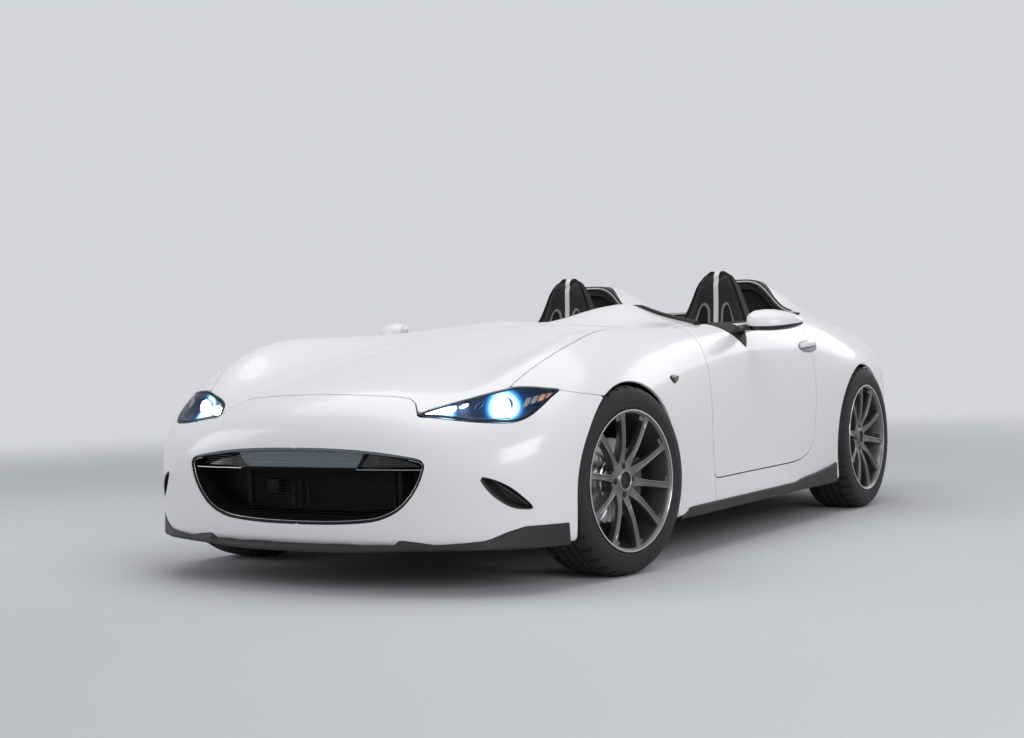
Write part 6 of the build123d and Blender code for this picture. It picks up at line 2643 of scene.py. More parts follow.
@dataclass
class SideTrim:
    """Window corners, handles and repeaters."""

    corner: tuple[Pair, ...] = (
        (.952, .834), (.985, .8), (1.03, .768), (1.074, .738), (1.108, .768), (1.146, .8),
        (1.16, .836))
    cup: tuple[Pair, ...] = (
        (1.615, .727), (1.64, .748), (1.72, .757), (1.79, .752), (1.812, .737), (1.79, .716),
        (1.72, .707), (1.65, .712))
    repeater: tuple[Pair, ...] = (
        (.318, .646), (.345, .652), (.378, .65), (.392, .643), (.372, .627), (.345, .622),
        (.326, .634))

    def flank_point(self, y: float, z: float, proud: float = 0) -> Point:
        """Point on the left flank, moved out by proud."""
        step = .004
        x = FLANK.at(y, z)
        n = Vector((
            1, (FLANK.at(y - step, z) - FLANK.at(y + step, z)) / 2 / step,
            (FLANK.at(y, z - step) - FLANK.at(y, z + step)) / 2 / step)).normalized() * proud
        return (x + n.x, y + n.y, z + n.z)

    def window_corner(self) -> Piece:
        """Black corner under the mirror."""
        edge = Outline(View.SIDE, self.corner)
        grid = Grid(Aim.ROUND, (.93, 1.18), (.25, 1.45), (.008, .012), (.36, 0, .4))
        return patch("window_corner", grid, keep(edge, behind(0, .703)), .0022, .004)

    def handle(self) -> tuple[Piece, Piece]:
        """Shallow cup shown by a thin grey patch of painted shade, and the bowed bar over it."""
        ring = smooth(self.cup, 5, closed=True)
        cup = Bench.lofted("handle_cup_shade", [
            [self.flank_point(y, z, .0009) for y, z in ring],
            [self.flank_point(y, z, .0018) for y, z in inset_outline(ring, .0025)],
            [self.flank_point(y, z, .0012) for y, z in inset_outline(ring, .006)]])
        rings = []
        for y, rise, half in (
                (1.628, .002, .007), (1.64, .01, .01), (1.665, .0175, .0115), (1.7, .0215, .012),
                (1.735, .0215, .012), (1.765, .0175, .0115), (1.788, .01, .01), (1.8, .002, .007)):
            z = .7345 + .012 * (y - 1.628) / .172
            rings.append([
                self.flank_point(y, z - half, rise),
                self.flank_point(y, z - half * .5, rise + .0035),
                self.flank_point(y, z + half * .5, rise + .0035),
                self.flank_point(y, z + half, rise),
                self.flank_point(y, z + half * .7, max(rise - .006, 0)),
                self.flank_point(y, z - half * .7, max(rise - .006, 0))])
        return cup, Bench.lofted("handle_bar", rings)

    def marker(self) -> tuple[Piece, Piece]:
        """Repeater lamp on the wing: black body and clear eye."""
        ring = smooth(self.repeater, 5, closed=True)
        body = Bench.lofted("repeater", [
            [self.flank_point(y, z, .0002) for y, z in ring],
            [self.flank_point(y, z, .003) for y, z in inset_outline(ring, .002)],
            [self.flank_point(y, z, .0042) for y, z in inset_outline(ring, .006)]])
        eye = Bench.turned("eye", (
            (.006, 0), (.0056, .0022), (.003, .0036), (.0006, .0038)), 24, closed=False)
        Bench.place(eye, self.flank_point(.352, .638, .0036), (1, 0, .05))
        return body, eye

    def make(self) -> None:
        """Build both sides."""
        cup, bar = self.handle()
        body, eye = self.marker()
        rows = (
            (self.window_corner(), "{}_door", Paint.SATIN_BLACK, "black_trim"),
            # the cup is body-coloured; its grey is painted shade of the recess behind the handle
            (cup, "{}_door", Paint.GREY_EDGE, "body_paint"),
            (bar, "{}_door", Paint.BODY, "body_paint"),
            (body, "body", Paint.GLOSS_BLACK, "black_trim"),
            (eye, "body", Paint.AMBER, "lamp_glass"))
        for piece, carrier, paint, slot in rows:
            Shop.hand_in_both(piece, piece.name, carrier, paint, slot, "", 40)


# --- Cabin ---------------------------------------------------------------------------------------

@dataclass
class Dashboard:
    """Moulded dashboard with its instrument hood, gauges, air vents and band."""

    half: float = .658
    helm_x: float = .365
    section: tuple[Pair, ...] = (
        (.792, .792), (.86, .8), (.915, .799), (.952, .79), (.971, .774), (.976, .756),
        (.968, .738), (.95, .72), (.944, .69), (.938, .65), (.922, .612), (.895, .59), (.84, .58),
        (.795, .6))

    def moulding(self) -> Piece:
        """The dashboard's body."""
        rings = []
        shape = smooth(self.section, 3, closed=True)
        for x in np.linspace(-self.half, self.half, 31):
            end = 1 - .1 * max(0.0, (abs(x) - .6) / .058) ** 2
            middle = .01 * math.exp(-(x / .16) ** 2)
            rings.append([(
                float(x), .885 + (y - .885) * end + middle * (z < .74),
                .69 + (z - .69) * end) for y, z in shape])
        return Bench.lofted("dash_moulding", rings)

    def hood(self) -> Piece:
        """Hood over the gauges."""
        rings = []
        for y, wide, tall, inside in (
                (.905, .104, .055, 0), (.96, .118, .072, 0), (1.012, .124, .08, 0),
                (1.028, .122, .078, 0), (1.03, .116, .072, 0), (1.015, .112, .068, 1),
                (.985, .108, .062, 1)):
            ring = []
            for t in np.linspace(0, math.pi, 21):
                ring.append((self.helm_x + wide * math.cos(t), y, .788 + tall * math.sin(t) ** .8))
            low = .768 if not inside else .772
            ring += [(self.helm_x - wide, y, low), (self.helm_x + wide, y, low)]
            rings.append(ring)
        return Bench.lofted("gauge_hood", rings)

    def gauges(self) -> list[tuple[Piece, Paint, str]]:
        """Three gauges: dark faces, bright rings, ticks and needles."""
        faces, rings, marks, needles = [], [], [], []
        away = Vector((0, .95, .3)).normalized()
        for dx, radius, turn in ((0, .043, 2.4), (-.073, .031, 3.6), (.073, .031, 3.2)):
            at = (self.helm_x + dx, .992 - .006 * (dx != 0), .804 - .004 * (dx != 0))
            face = Bench.turned("face", (
                (radius, -.006), (radius, 0.0), (radius * .9, .0008),
                (.001, .0008)), 40, closed=False)
            ring = Bench.turned("ring", (
                (radius, -.002), (radius + .0035, -.002), (radius + .0035, .004),
                (radius + .0015, .0055), (radius, .004)), 40)
            needle = Bench.turned(
                "needle", ((.0045, .0008), (.0045, .003), (.002, .0036)), 20, closed=False)
            parts = [(face, faces), (ring, rings), (needle, needles)]
            for k in range(13):
                a = math.radians(225 - 22.5 * k)
                inner, outer, w = radius * (.8 if k % 3 else .72), radius * .88, .0007
                edge = ((inner, -w), (outer, -w), (outer, w), (inner, w))
                tick = Bench.lofted("tick", [
                    [turned_point(r, s, a, h) for r, s in edge] for h in (.0006, .0012)])
                parts.append((tick, marks))
            tip = radius * .8
            edge = ((-.008, -.0012), (tip, -.0004), (tip, .0004), (-.008, .0012))
            hand = Bench.lofted("hand", [
                [turned_point(r, s, turn, h) for r, s in edge] for h in (.0022, .003)])
            parts.append((hand, needles))
            for piece, group in parts:
                Bench.place(piece, at, tuple(away))
                group.append(piece)
        return [
            (Shop.join("gauge_faces", faces), Paint.SATIN_BLACK, "cabin_trim"),
            (Shop.join("gauge_rings", rings), Paint.BRIGHT, "cabin_trim"),
            (Shop.join("gauge_ticks", marks), Paint.STRIPE, "cabin_trim"),
            (Shop.join("gauge_needles", needles), Paint.RED, "cabin_trim")]

    def vents(self) -> list[tuple[Piece, Paint, str]]:
        """Round air vents and the band across the dashboard."""
        rims, blades = [], []
        for x in (-.585, -.12, .12, .585):
            rim = Bench.turned("rim", (
                (.034, -.012), (.04, -.012), (.0405, .004), (.0385, .0065), (.035, .0055),
                (.0335, -.004)), 36)
            Bench.place(rim, (x, .962, .716), (0, 1, .32))
            rims.append(rim)
            for k in range(-2, 3):
                reach = math.sqrt(.034 ** 2 - (.0125 * k) ** 2)
                blades.append(Bench.block(
                    "blade", (x - reach, .938, .715 + .0125 * k),
                    (x + reach, .96, .7164 + .0125 * k)))
        band = [
            [(x, .946, .668), (x, .952, .67), (x, .9535, .69), (x, .948, .693)]
            for x in np.linspace(-.64, .64, 21)]
        return [
            (Shop.join("vent_rims", rims), Paint.SATIN_METAL, "cabin_trim"),
            (Shop.join("vent_blades", blades), Paint.SATIN_BLACK, "cabin_trim"),
            (Bench.lofted("dash_band", band), Paint.BODY, "body_paint")]

    def column(self) -> Piece:
        """Steering column's cowl with its two stalks."""
        rings = []
        for share, wide, tall in (
                (0, .034, .03), (.1, .046, .04), (.6, .052, .046), (1, .054, .05)):
            y, z = 1.128 - share * .2, .6648 - share * .0808
            rings.append([
                (self.helm_x + wide * math.cos(t), y, z + tall * math.sin(t))
                for t in np.linspace(0, 2 * math.pi, 24, endpoint=False)])
        parts = [Bench.lofted("cowl", rings)]
        for side in (1, -1):
            parts.append(Bench.tube("stalk", [
                (self.helm_x + side * .04, 1.085, .665), (self.helm_x + side * .085, 1.092, .668),
                (self.helm_x + side * .142, 1.108, .676)], .0065, 10, .7))
        return Shop.join("column_cowl", parts)

    def make(self) -> None:
        """Build the dashboard."""
        Shop.hand_in(self.moulding(), "body", Paint.LEATHER, "cabin_trim", ["dashboard"], 40)
        Shop.hand_in(self.hood(), "body", Paint.LEATHER, "cabin_trim", (), 40)
        Shop.hand_in(self.column(), "body", Paint.TRIM, "cabin_trim", (), 40)
        for piece, paint, slot in self.gauges() + self.vents():
            Shop.hand_in(piece, "body", paint, slot, (), 30)


@dataclass
class Helm:
    """Steering wheel with a stitched rim, three spokes and a bare boss."""

    at: Point = (.365, 1.19, .69)
    radius: float = .18
    rake: float = math.radians(-68)
    rest: float = math.radians(-119)

    def rim(self) -> Piece:
        """Rim, thicker where the hands hold it."""
        rings = []
        for k in range(96):
            a = 2 * math.pi * k / 96
            from_foot = abs(math.degrees(math.atan2(math.sin(a), math.cos(a)) + math.pi / 2)) % 360
            thick = .0138 + .0022 * math.exp(-((from_foot - 120) / 16) ** 2)
            rings.append([
                turned_point(self.radius + thick * math.cos(t), 0, a, thick * 1.08 * math.sin(t))
                for t in (2 * math.pi * j / 14 for j in range(14))])
        return Bench.lofted("helm_rim", rings, closed=True)

    def stitches(self) -> Piece:
        """Stitches round the rim's inner side."""
        stitches, tilt = [], .0009
        for k in range(120):
            a = 2 * math.pi * (k + .5) / 120
            ring = [(r, s * .003) for r, s in ((.1655, -1), (.1655, 1), (.1668, 1), (.1668, -1))]
            rows = [[turned_point(r, w + tilt * s, a, s) for r, s in ring] for w in (-.0007, .0007)]
            stitches.append(Bench.lofted("stitch", rows))
        return Shop.join("helm_stitches", stitches)

    def spokes(self) -> Piece:
        """Three spokes that dip to the boss, the third in two blades."""
        blades = []
        for degrees, wide in ((0, .02), (180, .02), (81, .009), (99, .009)):
            a = math.radians(degrees)
            rings = []
            for r, h, w in (
                    (.045, -.018, 1.25), (.075, -.016, 1.0), (.11, -.01, .85), (.145, -.003, .85),
                    (.172, 0.0, 1.05)):
                ring = [
                    (-wide * w, h - .0045), (wide * w, h - .0045), (wide * w * .92, h + .0035),
                    (wide * w * .4, h + .005), (-wide * w * .4, h + .005),
                    (-wide * w * .92, h + .0035)]
                rings.append([turned_point(r, t, a, z) for t, z in ring])
            blades.append(Bench.lofted("blade", rings))
        return Shop.join("helm_spokes", blades)

    def boss(self) -> Piece:
        """Round boss in the middle."""
        return Bench.turned("helm_boss", (
            (.03, -.044), (.044, -.03), (.055, -.022), (.058, -.008), (.056, .004), (.05, .012),
            (.046, .0125), (.0445, .0105), (.042, .013), (.025, .0175),
            (.001, .0185)), 64, closed=False)

    def make(self) -> None:
        """Build the wheel as it stands at rest."""
        place = (
            Matrix.Translation((self.at[0], self.at[1] + AXLE_Y, self.at[2]))
            @ Matrix.Rotation(self.rake, 4, "X") @ Matrix.Rotation(self.rest, 4, "Z"))
        rows = (
            (self.rim(), Paint.LEATHER, ["steering_wheel"]), (self.stitches(), Paint.STRIPE, []),
            (self.spokes(), Paint.SATIN_METAL, []), (self.boss(), Paint.LEATHER, []))
        for piece, paint, nodes in rows:
            piece.data.transform(place)
            Shop.hand_in(piece, "helm", paint, "cabin_trim", nodes, 40)


@dataclass
class Cabin:
    """Console, gear lever, door cards, pedals, bulkhead trim and the edge strips."""

    def console(self) -> Piece:
        """Console over the tunnel, with a raised rest at its rear."""
        rings = []
        for y, z, wide in (
                (.925, .56, .098), (1.0, .52, .1), (1.08, .47, .104), (1.18, .446, .108),
                (1.34, .442, .11), (1.48, .448, .11), (1.56, .47, .106), (1.62, .496, .102),
                (1.76, .502, .1), (1.88, .5, .1), (1.905, .49, .098)):
            rings.append([
                (wide + .006, y, .33), (wide + .004, y, z - .03), (wide, y, z - .01),
                (wide - .012, y, z), (0, y, z + .004), (-wide + .012, y, z), (-wide, y, z - .01),
                (-wide - .004, y, z - .03), (-wide - .006, y, .33)])
        piece = Bench.lofted("console", rings)
        Shop.modify(
            piece, "BEVEL", width=.004, segments=2, limit_method="ANGLE",
            angle_limit=math.radians(35))
        return piece

    def lever(self) -> list[tuple[Piece, Paint]]:
        """Gear lever with its gaiter and frame, and the brake lever."""
        rings = []
        for h, wide in (
                (.446, .052), (.452, .05), (.462, .044), (.468, .046), (.48, .036), (.486, .038),
                (.498, .026), (.504, .027), (.518, .015), (.53, .01)):
            rings.append([
                (wide * math.cos(t) * .85, 1.27 + wide * math.sin(t), h)
                for t in np.linspace(0, 2 * math.pi, 24, endpoint=False)])
        gaiter = Bench.lofted("gear_gaiter", rings)
        stem = Bench.tube("gear_stem", [
            (0, 1.27, .515), (0, 1.271, .56), (0, 1.272, .59)], .0055, 14)
        knob = Bench.turned("gear_knob", (
            (.008, -.03), (.0125, -.024), (.0175, -.008), (.0215, .006), (.0215, .016),
            (.017, .024), (.008, .028), (.001, .0285)), 36, closed=False)
        Bench.place(knob, (0, 1.272, .605))
        collar = Bench.turned("gear_collar", (
            (.054, -.003), (.058, -.003), (.058, .002), (.055, .004), (.052, .002)), 40)
        collar.data.transform(Matrix.Diagonal((.85, 1, 1, 1)))
        Bench.place(collar, (0, 1.27, .4475))
        brake = Bench.tube("brake_lever", [
            (-.062, 1.585, .47), (-.062, 1.56, .486), (-.062, 1.5, .5), (-.062, 1.42, .512),
            (-.062, 1.385, .516)], .0125, 14, 1.15)
        button = Bench.turned(
            "brake_button", ((.006, -.004), (.006, .006), (.0045, .0075), (.001, .008)), 20,
            closed=False)
        Bench.place(button, (-.062, 1.383, .5165), (0, -1, .05))
        return [
            (gaiter, Paint.LEATHER), (stem, Paint.BRIGHT), (knob, Paint.LEATHER),
            (collar, Paint.SATIN_METAL), (brake, Paint.LEATHER), (button, Paint.BRIGHT)]

    def door_card(self) -> list[tuple[Piece, Paint]]:
        """Trim on the inner side of the left door: panel, arm rest, pull and speaker ring."""
        rings = []
        for y in np.linspace(.765, 1.69, 26):
            blend = float(ease(y, .98, 1.1))
            inner = .6895 - .014 * blend
            rest = .034 * float(ease(y, 1.06, 1.2)) * (1 - .85 * float(ease(y, 1.58, 1.68)))
            top = top_at(.7035, max(y, .95)) - .03
            low = .3 + .02 * float(ease(y, 1.45, 1.69))
            rings.append([
                (.6985, y, low), (inner + .004, y, low + .004), (inner, y, low + .02),
                (inner, y, .5), (inner - .002, y, .54), (inner - rest, y, .566),
                (inner - rest, y, .584), (inner - rest + .006, y, .592), (inner - .003, y, .598),
                (inner + .002, y, .64), (inner + .001, y, .7), (inner + .001, y, .735),
                (inner + .006, y, .752), (.6965, y, top), (.699, y, top + .002)])
        card = Bench.lofted("door_card", rings)
        pull = Bench.tube("door_pull", [
            (.68, 1.15, .64), (.666, 1.17, .642), (.66, 1.24, .644), (.66, 1.33, .646),
            (.666, 1.39, .648), (.68, 1.41, .65)], .0075, 10, 1.3)
        ring = Bench.turned("speaker_ring", (
            (.06, -.004), (.078, -.004), (.08, .001), (.076, .005), (.066, .006), (.062, .002),
            (.04, .004), (.038, .001), (.02, .003), (.018, 0.0), (.001, .001)), 40, closed=False)
        Bench.place(ring, (.6885, .9, .42), (-1, 0, 0))
        handle = Bench.turned("inner_handle", (
            (.024, -.002), (.03, -.002), (.031, .003), (.028, .005), (.025, .003)), 32)
        Bench.place(handle, (.6785, 1.09, .66), (-1, 0, 0))
        return [
            (card, Paint.TRIM), (pull, Paint.SATIN_METAL), (ring, Paint.SATIN_BLACK),
            (handle, Paint.SATIN_METAL)]

    @staticmethod
    def belt(name: str, stations: Array, across: Sequence[float]) -> Piece:
        """Black strip along the left wall's upper inner edge.

        Args:
            name: The piece's name.
            stations: Places along the car.
            across: Half widths of its section.

        Returns:
            The piece.
        """
        rise = (-.03, -.02, -.004, .0035, .003, -.0012, -.012)
        rings = [[(x, y, top_at(.7035, y) + z) for x, z in zip(across, rise)] for y in stations]
        return Bench.lofted(name, rings)

    def cowl_strip(self) -> Piece:
        """Leather roll that stands up along the scuttle's rear edge."""
        half = [(x, y) for x, y in COWL_EDGE[4:]]
        line = smooth([*half, *((-x, y) for x, y in half[-2::-1])], 4)
        section = (
            (-.002, -.01), (-.0015, .004), (.002, .0105), (.009, .014), (.016, .0125), (.021, .006),
            (.022, -.004), (.016, -.014), (.004, -.016))
        rings = []
        for k, (x, y) in enumerate(line):
            (ax, ay), (bx, by) = line[max(k - 1, 0)], line[min(k + 1, len(line) - 1)]
            run = Vector((bx - ax, by - ay)).normalized()
            inward = Vector((run.y, -run.x))
            inward = inward if inward.y > 0 else -inward
            z = top_at(x, y - .002)
            z -= .019 * (1 - float(ease(x, .36, .46)))
            rings.append([(x + inward.x * a, y + inward.y * a, z + b) for a, b in section])
        return Bench.lofted("cowl_roll", rings)

    def bulkhead(self) -> list[tuple[Piece, Paint]]:
        """Ribbed trim behind the seats, and the shelf over it."""
        pads = []
        for k in range(-3, 4):
            x = .178 * k
            rings = []
            for t in np.linspace(-1, 1, 9):
                swell = .006 * (1 - t ** 4)
                side, front = x + .0875 * t, 1.934 - swell
                face = [
                    (side, front - .003 * (i % 2), z)
                    for i, z in enumerate(np.linspace(.452, .832, 13))]
                rings.append([*face, (side, 1.946, .832), (side, 1.946, .452)])
            pads.append(Bench.lofted("panel", rings))
        shelf = []
        for x in np.linspace(-.66, .66, 45):
            top = top_at(x, 2.024) - .012
            top = min(top, .886)
            shelf.append([
                (x, 1.93, .828), (x, 1.928, .846), (x, 1.944, .86), (x, 2.0, top - .004),
                (x, 2.02, top), (x, 2.02, top - .006), (x, 1.95, .835)])
        return [
            (Shop.join("bulkhead_panels", pads), Paint.LEATHER),
            (Bench.lofted("rear_shelf", shelf), Paint.TRIM)]

    def floor(self) -> list[tuple[Piece, Paint]]:
        """Carpet mats with bound edges, and the pedals."""
        mats = [
            Bench.block("mat", (low, .7, .172), (high, 1.26, .18), .003, 2)
            for low, high in ((.155, .615), (-.615, -.155))]
        pedals = []
        for x, wide, z in ((.255, .026, .3), (.345, .03, .3), (.445, .022, .285)):
            pedals.append(Bench.block(
                "pedal", (x - wide, .77, z - .035), (x + wide, .782, z + .035), .004, 2))
            for k in (-1, 0, 1):
                pedals.append(Bench.block(
                    "grip", (x - wide * .8, .781, z + .02 * k - .004),
                    (x + wide * .8, .7855, z + .02 * k + .004), .0015, 1))
            pedals.append(Bench.tube("arm", [
                (x, .772, z + .02), (x, .745, z + .14), (x, .735, z + .27)], .007, 10))
        return [
            (Shop.join("floor_mats", mats), Paint.CARPET),
            (Shop.join("pedals", pedals), Paint.STEEL)]

    def make(self) -> None:
        """Build the cabin."""
        Shop.hand_in(self.console(), "body", Paint.TRIM, "cabin_trim", (), 40)
        for piece, paint in [
                *self.lever(), *self.bulkhead(), *self.floor(), (self.cowl_strip(), Paint.LEATHER)]:
            Shop.hand_in(piece, "body", paint, "cabin_trim", (), 40)
        for piece, paint in self.door_card():
            Shop.hand_in_both(piece, piece.name, "{}_door", paint, "cabin_trim", "", 40)
        door = (.6945, .6915, .692, .6955, .706, .7085, .7)
        quarter = (.688, .688, .6885, .6925, .706, .7085, .696)
        for name, carrier, stations, across in (
                ("belt_strip", "{}_door", np.linspace(.955, 1.742, 30), door),
                ("quarter_strip", "body", np.linspace(1.752, 1.925, 10), quarter)):
            piece = self.belt(name, stations, across)
            Shop.hand_in_both(piece, name, carrier, Paint.SATIN_BLACK, "cabin_trim", "", 40)


# --- Tail ----------------------------------------------------------------------------------------

def on_tail(x: float, z: float, depth: float = 0) -> Point:
    """Point on the tail as seen from behind, moved forward by depth."""
    return (x, TAIL.at(x, z) - depth, z)


@dataclass
class TailLamps:
    """Rounded lamp at each side: black surround, red cover, lit rings and a clear eye."""

    centre: Pair = (.592, .655)
    half: float = .053
    radius: float = .042

    def grid(self, step: float = .0085) -> Grid:
        """Sight lines over the left lamp."""
        return Grid(Aim.FAN_BACK, (.45, 1.25), (.18, .55), (step, step), (0, 2.5, .4))

    def stadium(self, grow: float) -> list[Pair]:
        """The lamp's outline from behind, grown."""
        cx, cz = self.centre
        points = []
        for middle, start in ((cx + self.half, -90), (cx - self.half, 90)):
            for k in range(13):
                t = math.radians(start + 15 * k)
                points.append((
                    middle + (self.radius + grow) * math.cos(t),
                    cz + (self.radius + grow) * math.sin(t)))
        return points

    def make(self) -> None:
        """Build both lamps."""
        region = slot_region(self.centre, self.half, self.radius)

        def left(p: Array) -> Array:
            """The left lamp's region."""
            return np.maximum(np.maximum(region(p), -p[:, 0]), 2.3 - p[:, 1])

        cover = patch("tail_cover", self.grid(), lambda p: left(p) + .0045, 0.0, .002)
        bowl = patch(
            "tail_bowl", self.grid(), lambda p: left(p) + .003,
            lambda p: -(.004 + .02 * (1 - np.exp(np.minimum(left(p) + .003, 0) / .008))), .0015)
        edge = ((.0002, .006), (-.0008, .0012), (-.0042, .0012), (-.0052, .006))
        outlines = [[on_tail(x, z, depth) for x, z in self.stadium(grow)] for grow, depth in edge]
        border = Bench.lofted("tail_border", outlines, caps=False, closed=True)
        rings, eyes = [], []
        for dx, r in ((.045, .0275), (-.03, .0275)):
            x, z = self.centre[0] + dx, self.centre[1]
            for big in (1.0, .58):
                loop_points = [
                    on_tail(x + r * big * math.cos(t), z + r * big * math.sin(t), .0105)
                    for t in np.linspace(0, 2 * math.pi, 33)]
                rings.append(Bench.tube("ring", loop_points, .003, 8))
            eye = Bench.turned("eye", (
                (.0085, -.003), (.0085, .0015), (.006, .0045), (.001, .006)), 24, closed=False)
            Bench.place(eye, on_tail(x, z, .013), (.35, 1, .1))
            eyes.append(eye)
        rows = (
            (cover, Paint.RED_GLASS, "tail_cover"), (bowl, Paint.RED, "tail_bowl"),
            (border, Paint.SATIN_BLACK, "tail_border"),
            (Shop.join("tail_rings", rings), Paint.TAIL_GLOW, "tail_rings"),
            (Shop.join("tail_eyes", eyes), Paint.CLEAR_FACET, "tail_eyes"))
        for piece, paint, name in rows:
            right = Shop.mirrored(piece, name + "_right")
            both = Shop.join(name, [piece, right])
            Shop.hand_in(
                both, "body", paint, "tail_lamp", ["tail_lamps"] if name == "tail_bowl" else (), 40)


@dataclass
class TailTrim:
    """Plate bay with its blank plate, diffuser, silencer and pipes."""

    bay: tuple[Pair, Pair] = ((-.27, .4), (.27, .535))
    pipes: tuple[float, ...] = (-.43, -.33)

    def plate(self) -> None:
        """Lined bay, plate lamp and the blank plate."""
        (x0, z0), (x1, z1) = self.bay
        middle = .4675

        def ring(inside: float, depth: float) -> list[Point]:
            """The bay's outline, drawn in and sunk."""
            corners = [
                (x0 + inside, z0 + inside), (x1 - inside, z0 + inside), (x1 - inside, z1 - inside),
                (x0 + inside, z1 - inside)]
            line = []
            for (ax, az), (bx, bz) in zip(corners, corners[1:] + corners[:1]):
                line += [
                    on_tail(ax + (bx - ax) * t, az + (bz - az) * t, depth)
                    for t in np.linspace(0, 1, 13)[:-1]]
            return line

        sunk = [(x, min(p[1] for p in ring(.01, .016)), z) for x, _, z in ring(.01, .016)]

        def shrunk(share: float, back: float) -> list[Point]:
            """The sunk face's outline, drawn to its middle and moved forward."""
            return [(x * share, y - back, middle + (z - middle) * share) for x, y, z in sunk]

        lining = Bench.lofted("plate_bay", [
            ring(-.0012, .004), ring(.0004, .0006), ring(.003, .002), sunk, shrunk(.02, 0),
            shrunk(.02, .004), shrunk(1.01, .004)], caps=False, closed=True)
        Shop.hand_in(lining, "body", Paint.MATT_BLACK, "black_trim", (), 30)
        back = sunk[0][1]
        plate = Bench.block(
            "number_plate", (-.255, back + .0015, .4125), (.255, back + .0035, .5225), .0009, 1)
        corners = ((-1, -1), (1, -1), (1, 1), (-1, 1))
        edge = ((0, .0034), (.0006, .0044), (.003, .0044), (.0036, .0034))
        rings = [
            [(a * (.255 - i), back + d, middle + b * (.055 - i)) for a, b in corners]
            for i, d in edge]
        rim = Bench.lofted("rim", rings, caps=False, closed=True)
        Shop.hand_in(plate, "body", Paint.STRIPE, "body_paint", (), 40)
        Shop.hand_in(rim, "body", Paint.SATIN_METAL, "black_trim", (), 40)
        screws = []
        for x in (-.13, .13):
            screw = Bench.turned("screw", (
                (.0055, -.001), (.0055, .001), (.004, .0024), (.001, .0028)), 20, closed=False)
            Bench.place(screw, (x, back + .0035, .468), (0, 1, 0))
            screws.append(screw)
        Shop.hand_in(Shop.join("plate_screws", screws), "body", Paint.STEEL, "black_trim", (), 40)
        low, high = back - .001, back + .0085
        lamps = [
            Bench.block("lamp", (x - .022, low, .5235), (x + .022, high, .53), .002, 2)
            for x in (-.085, .085)]
        Shop.hand_in(
            Shop.join("plate_lamps", lamps), "body", Paint.CLEAR_FACET, "black_trim", (), 40)

    def exhaust(self) -> None:
        """Silencer and the two pipes."""
        box = Bench.block("silencer", (-.31, 2.812, .209), (.31, 3.008, .315), .034, 5)
        seams = [
            Bench.block("seam", (x - .003, 2.8095, .2065), (x + .003, 3.0105, .3175), .035, 5)
            for x in (-.285, .285)]
        bends = [(-.3, 2.9, .262), (-.335, 2.925, .262), (-.352, 2.965, .261)]
        links = [Bench.tube("link", [*bends, (x, 3.02, .258)], .024, 16) for x in self.pipes]
        Shop.hand_in(
            Shop.join("silencer", [box, *seams, *links]), "body", Paint.CAST, "exhaust_metal",
            ["exhaust"], 40)
        pipes = []
        for x in self.pipes:
            pipe = Bench.turned("pipe", (
                (.0345, -.085), (.0375, -.08), (.038, .03), (.0375, .0335), (.0355, .034),
                (.0345, .032), (.0335, -.02), (.0325, -.07)), 48)
            Bench.place(pipe, (x, 3.11, .2515), (0, 1, -.1))
            pipes.append(pipe)
        Shop.hand_in(Shop.join("tail_pipes", pipes), "body", Paint.BRIGHT, "exhaust_metal", (), 40)

    def diffuser(self) -> None:
        """Black lower panel with upright fins, and reflectors in the bumper's corners."""
        low, high = .15, .238
        zone = Outline(View.FRONT, (
            (-.262, .1), (-.262, .222), (-.246, high), (.44, high), (.47, .205), (.486, .1)))
        grid = Grid(Aim.FAN_BACK, (-.8, .8), (-.48, -.1), (.0135, .0135), (0, 2.5, .4))
        parts = [patch("panel", grid, keep(zone, behind(1, 2.7), behind(2, low)), .0022, .006)]
        for x in np.linspace(-.205, .42, 8):
            line = [
                on_tail(float(x), z, -d)
                for z, d in ((.158, .008), (.166, .024), (.19, .026), (.215, .016), (.229, .003))]
            root = [on_tail(float(x), z, .003) for z in (.229, .158)]
            parts.append(Bench.lofted("fin", [
                [(px + w, py, pz) for px, py, pz in line + root] for w in (-.003, .003)]))
        Shop.hand_in(Shop.join("diffuser", parts), "body", Paint.MATT_BLACK, "black_trim", (), 30)
        reflectors = []
        for side in (1, -1):
            rows = []
            for x in np.linspace(.52, .64, 9):
                rows.append([
                    on_tail(side * x, .306, -.0004), on_tail(side * x, .309, -.003),
                    on_tail(side * x, .321, -.003), on_tail(side * x, .324, -.0004),
                    on_tail(side * x, .315, .004)])
            reflectors.append(Bench.lofted("reflector", rows))
        Shop.hand_in(
            Shop.join("rear_reflectors", reflectors), "body", Paint.RED, "tail_lamp", (), 40)

    def make(self) -> None:
        """Build the tail's trim."""
        self.plate()
        self.exhaust()
        self.diffuser()


# --- Under the bonnet ----------------------------------------------------------------------------

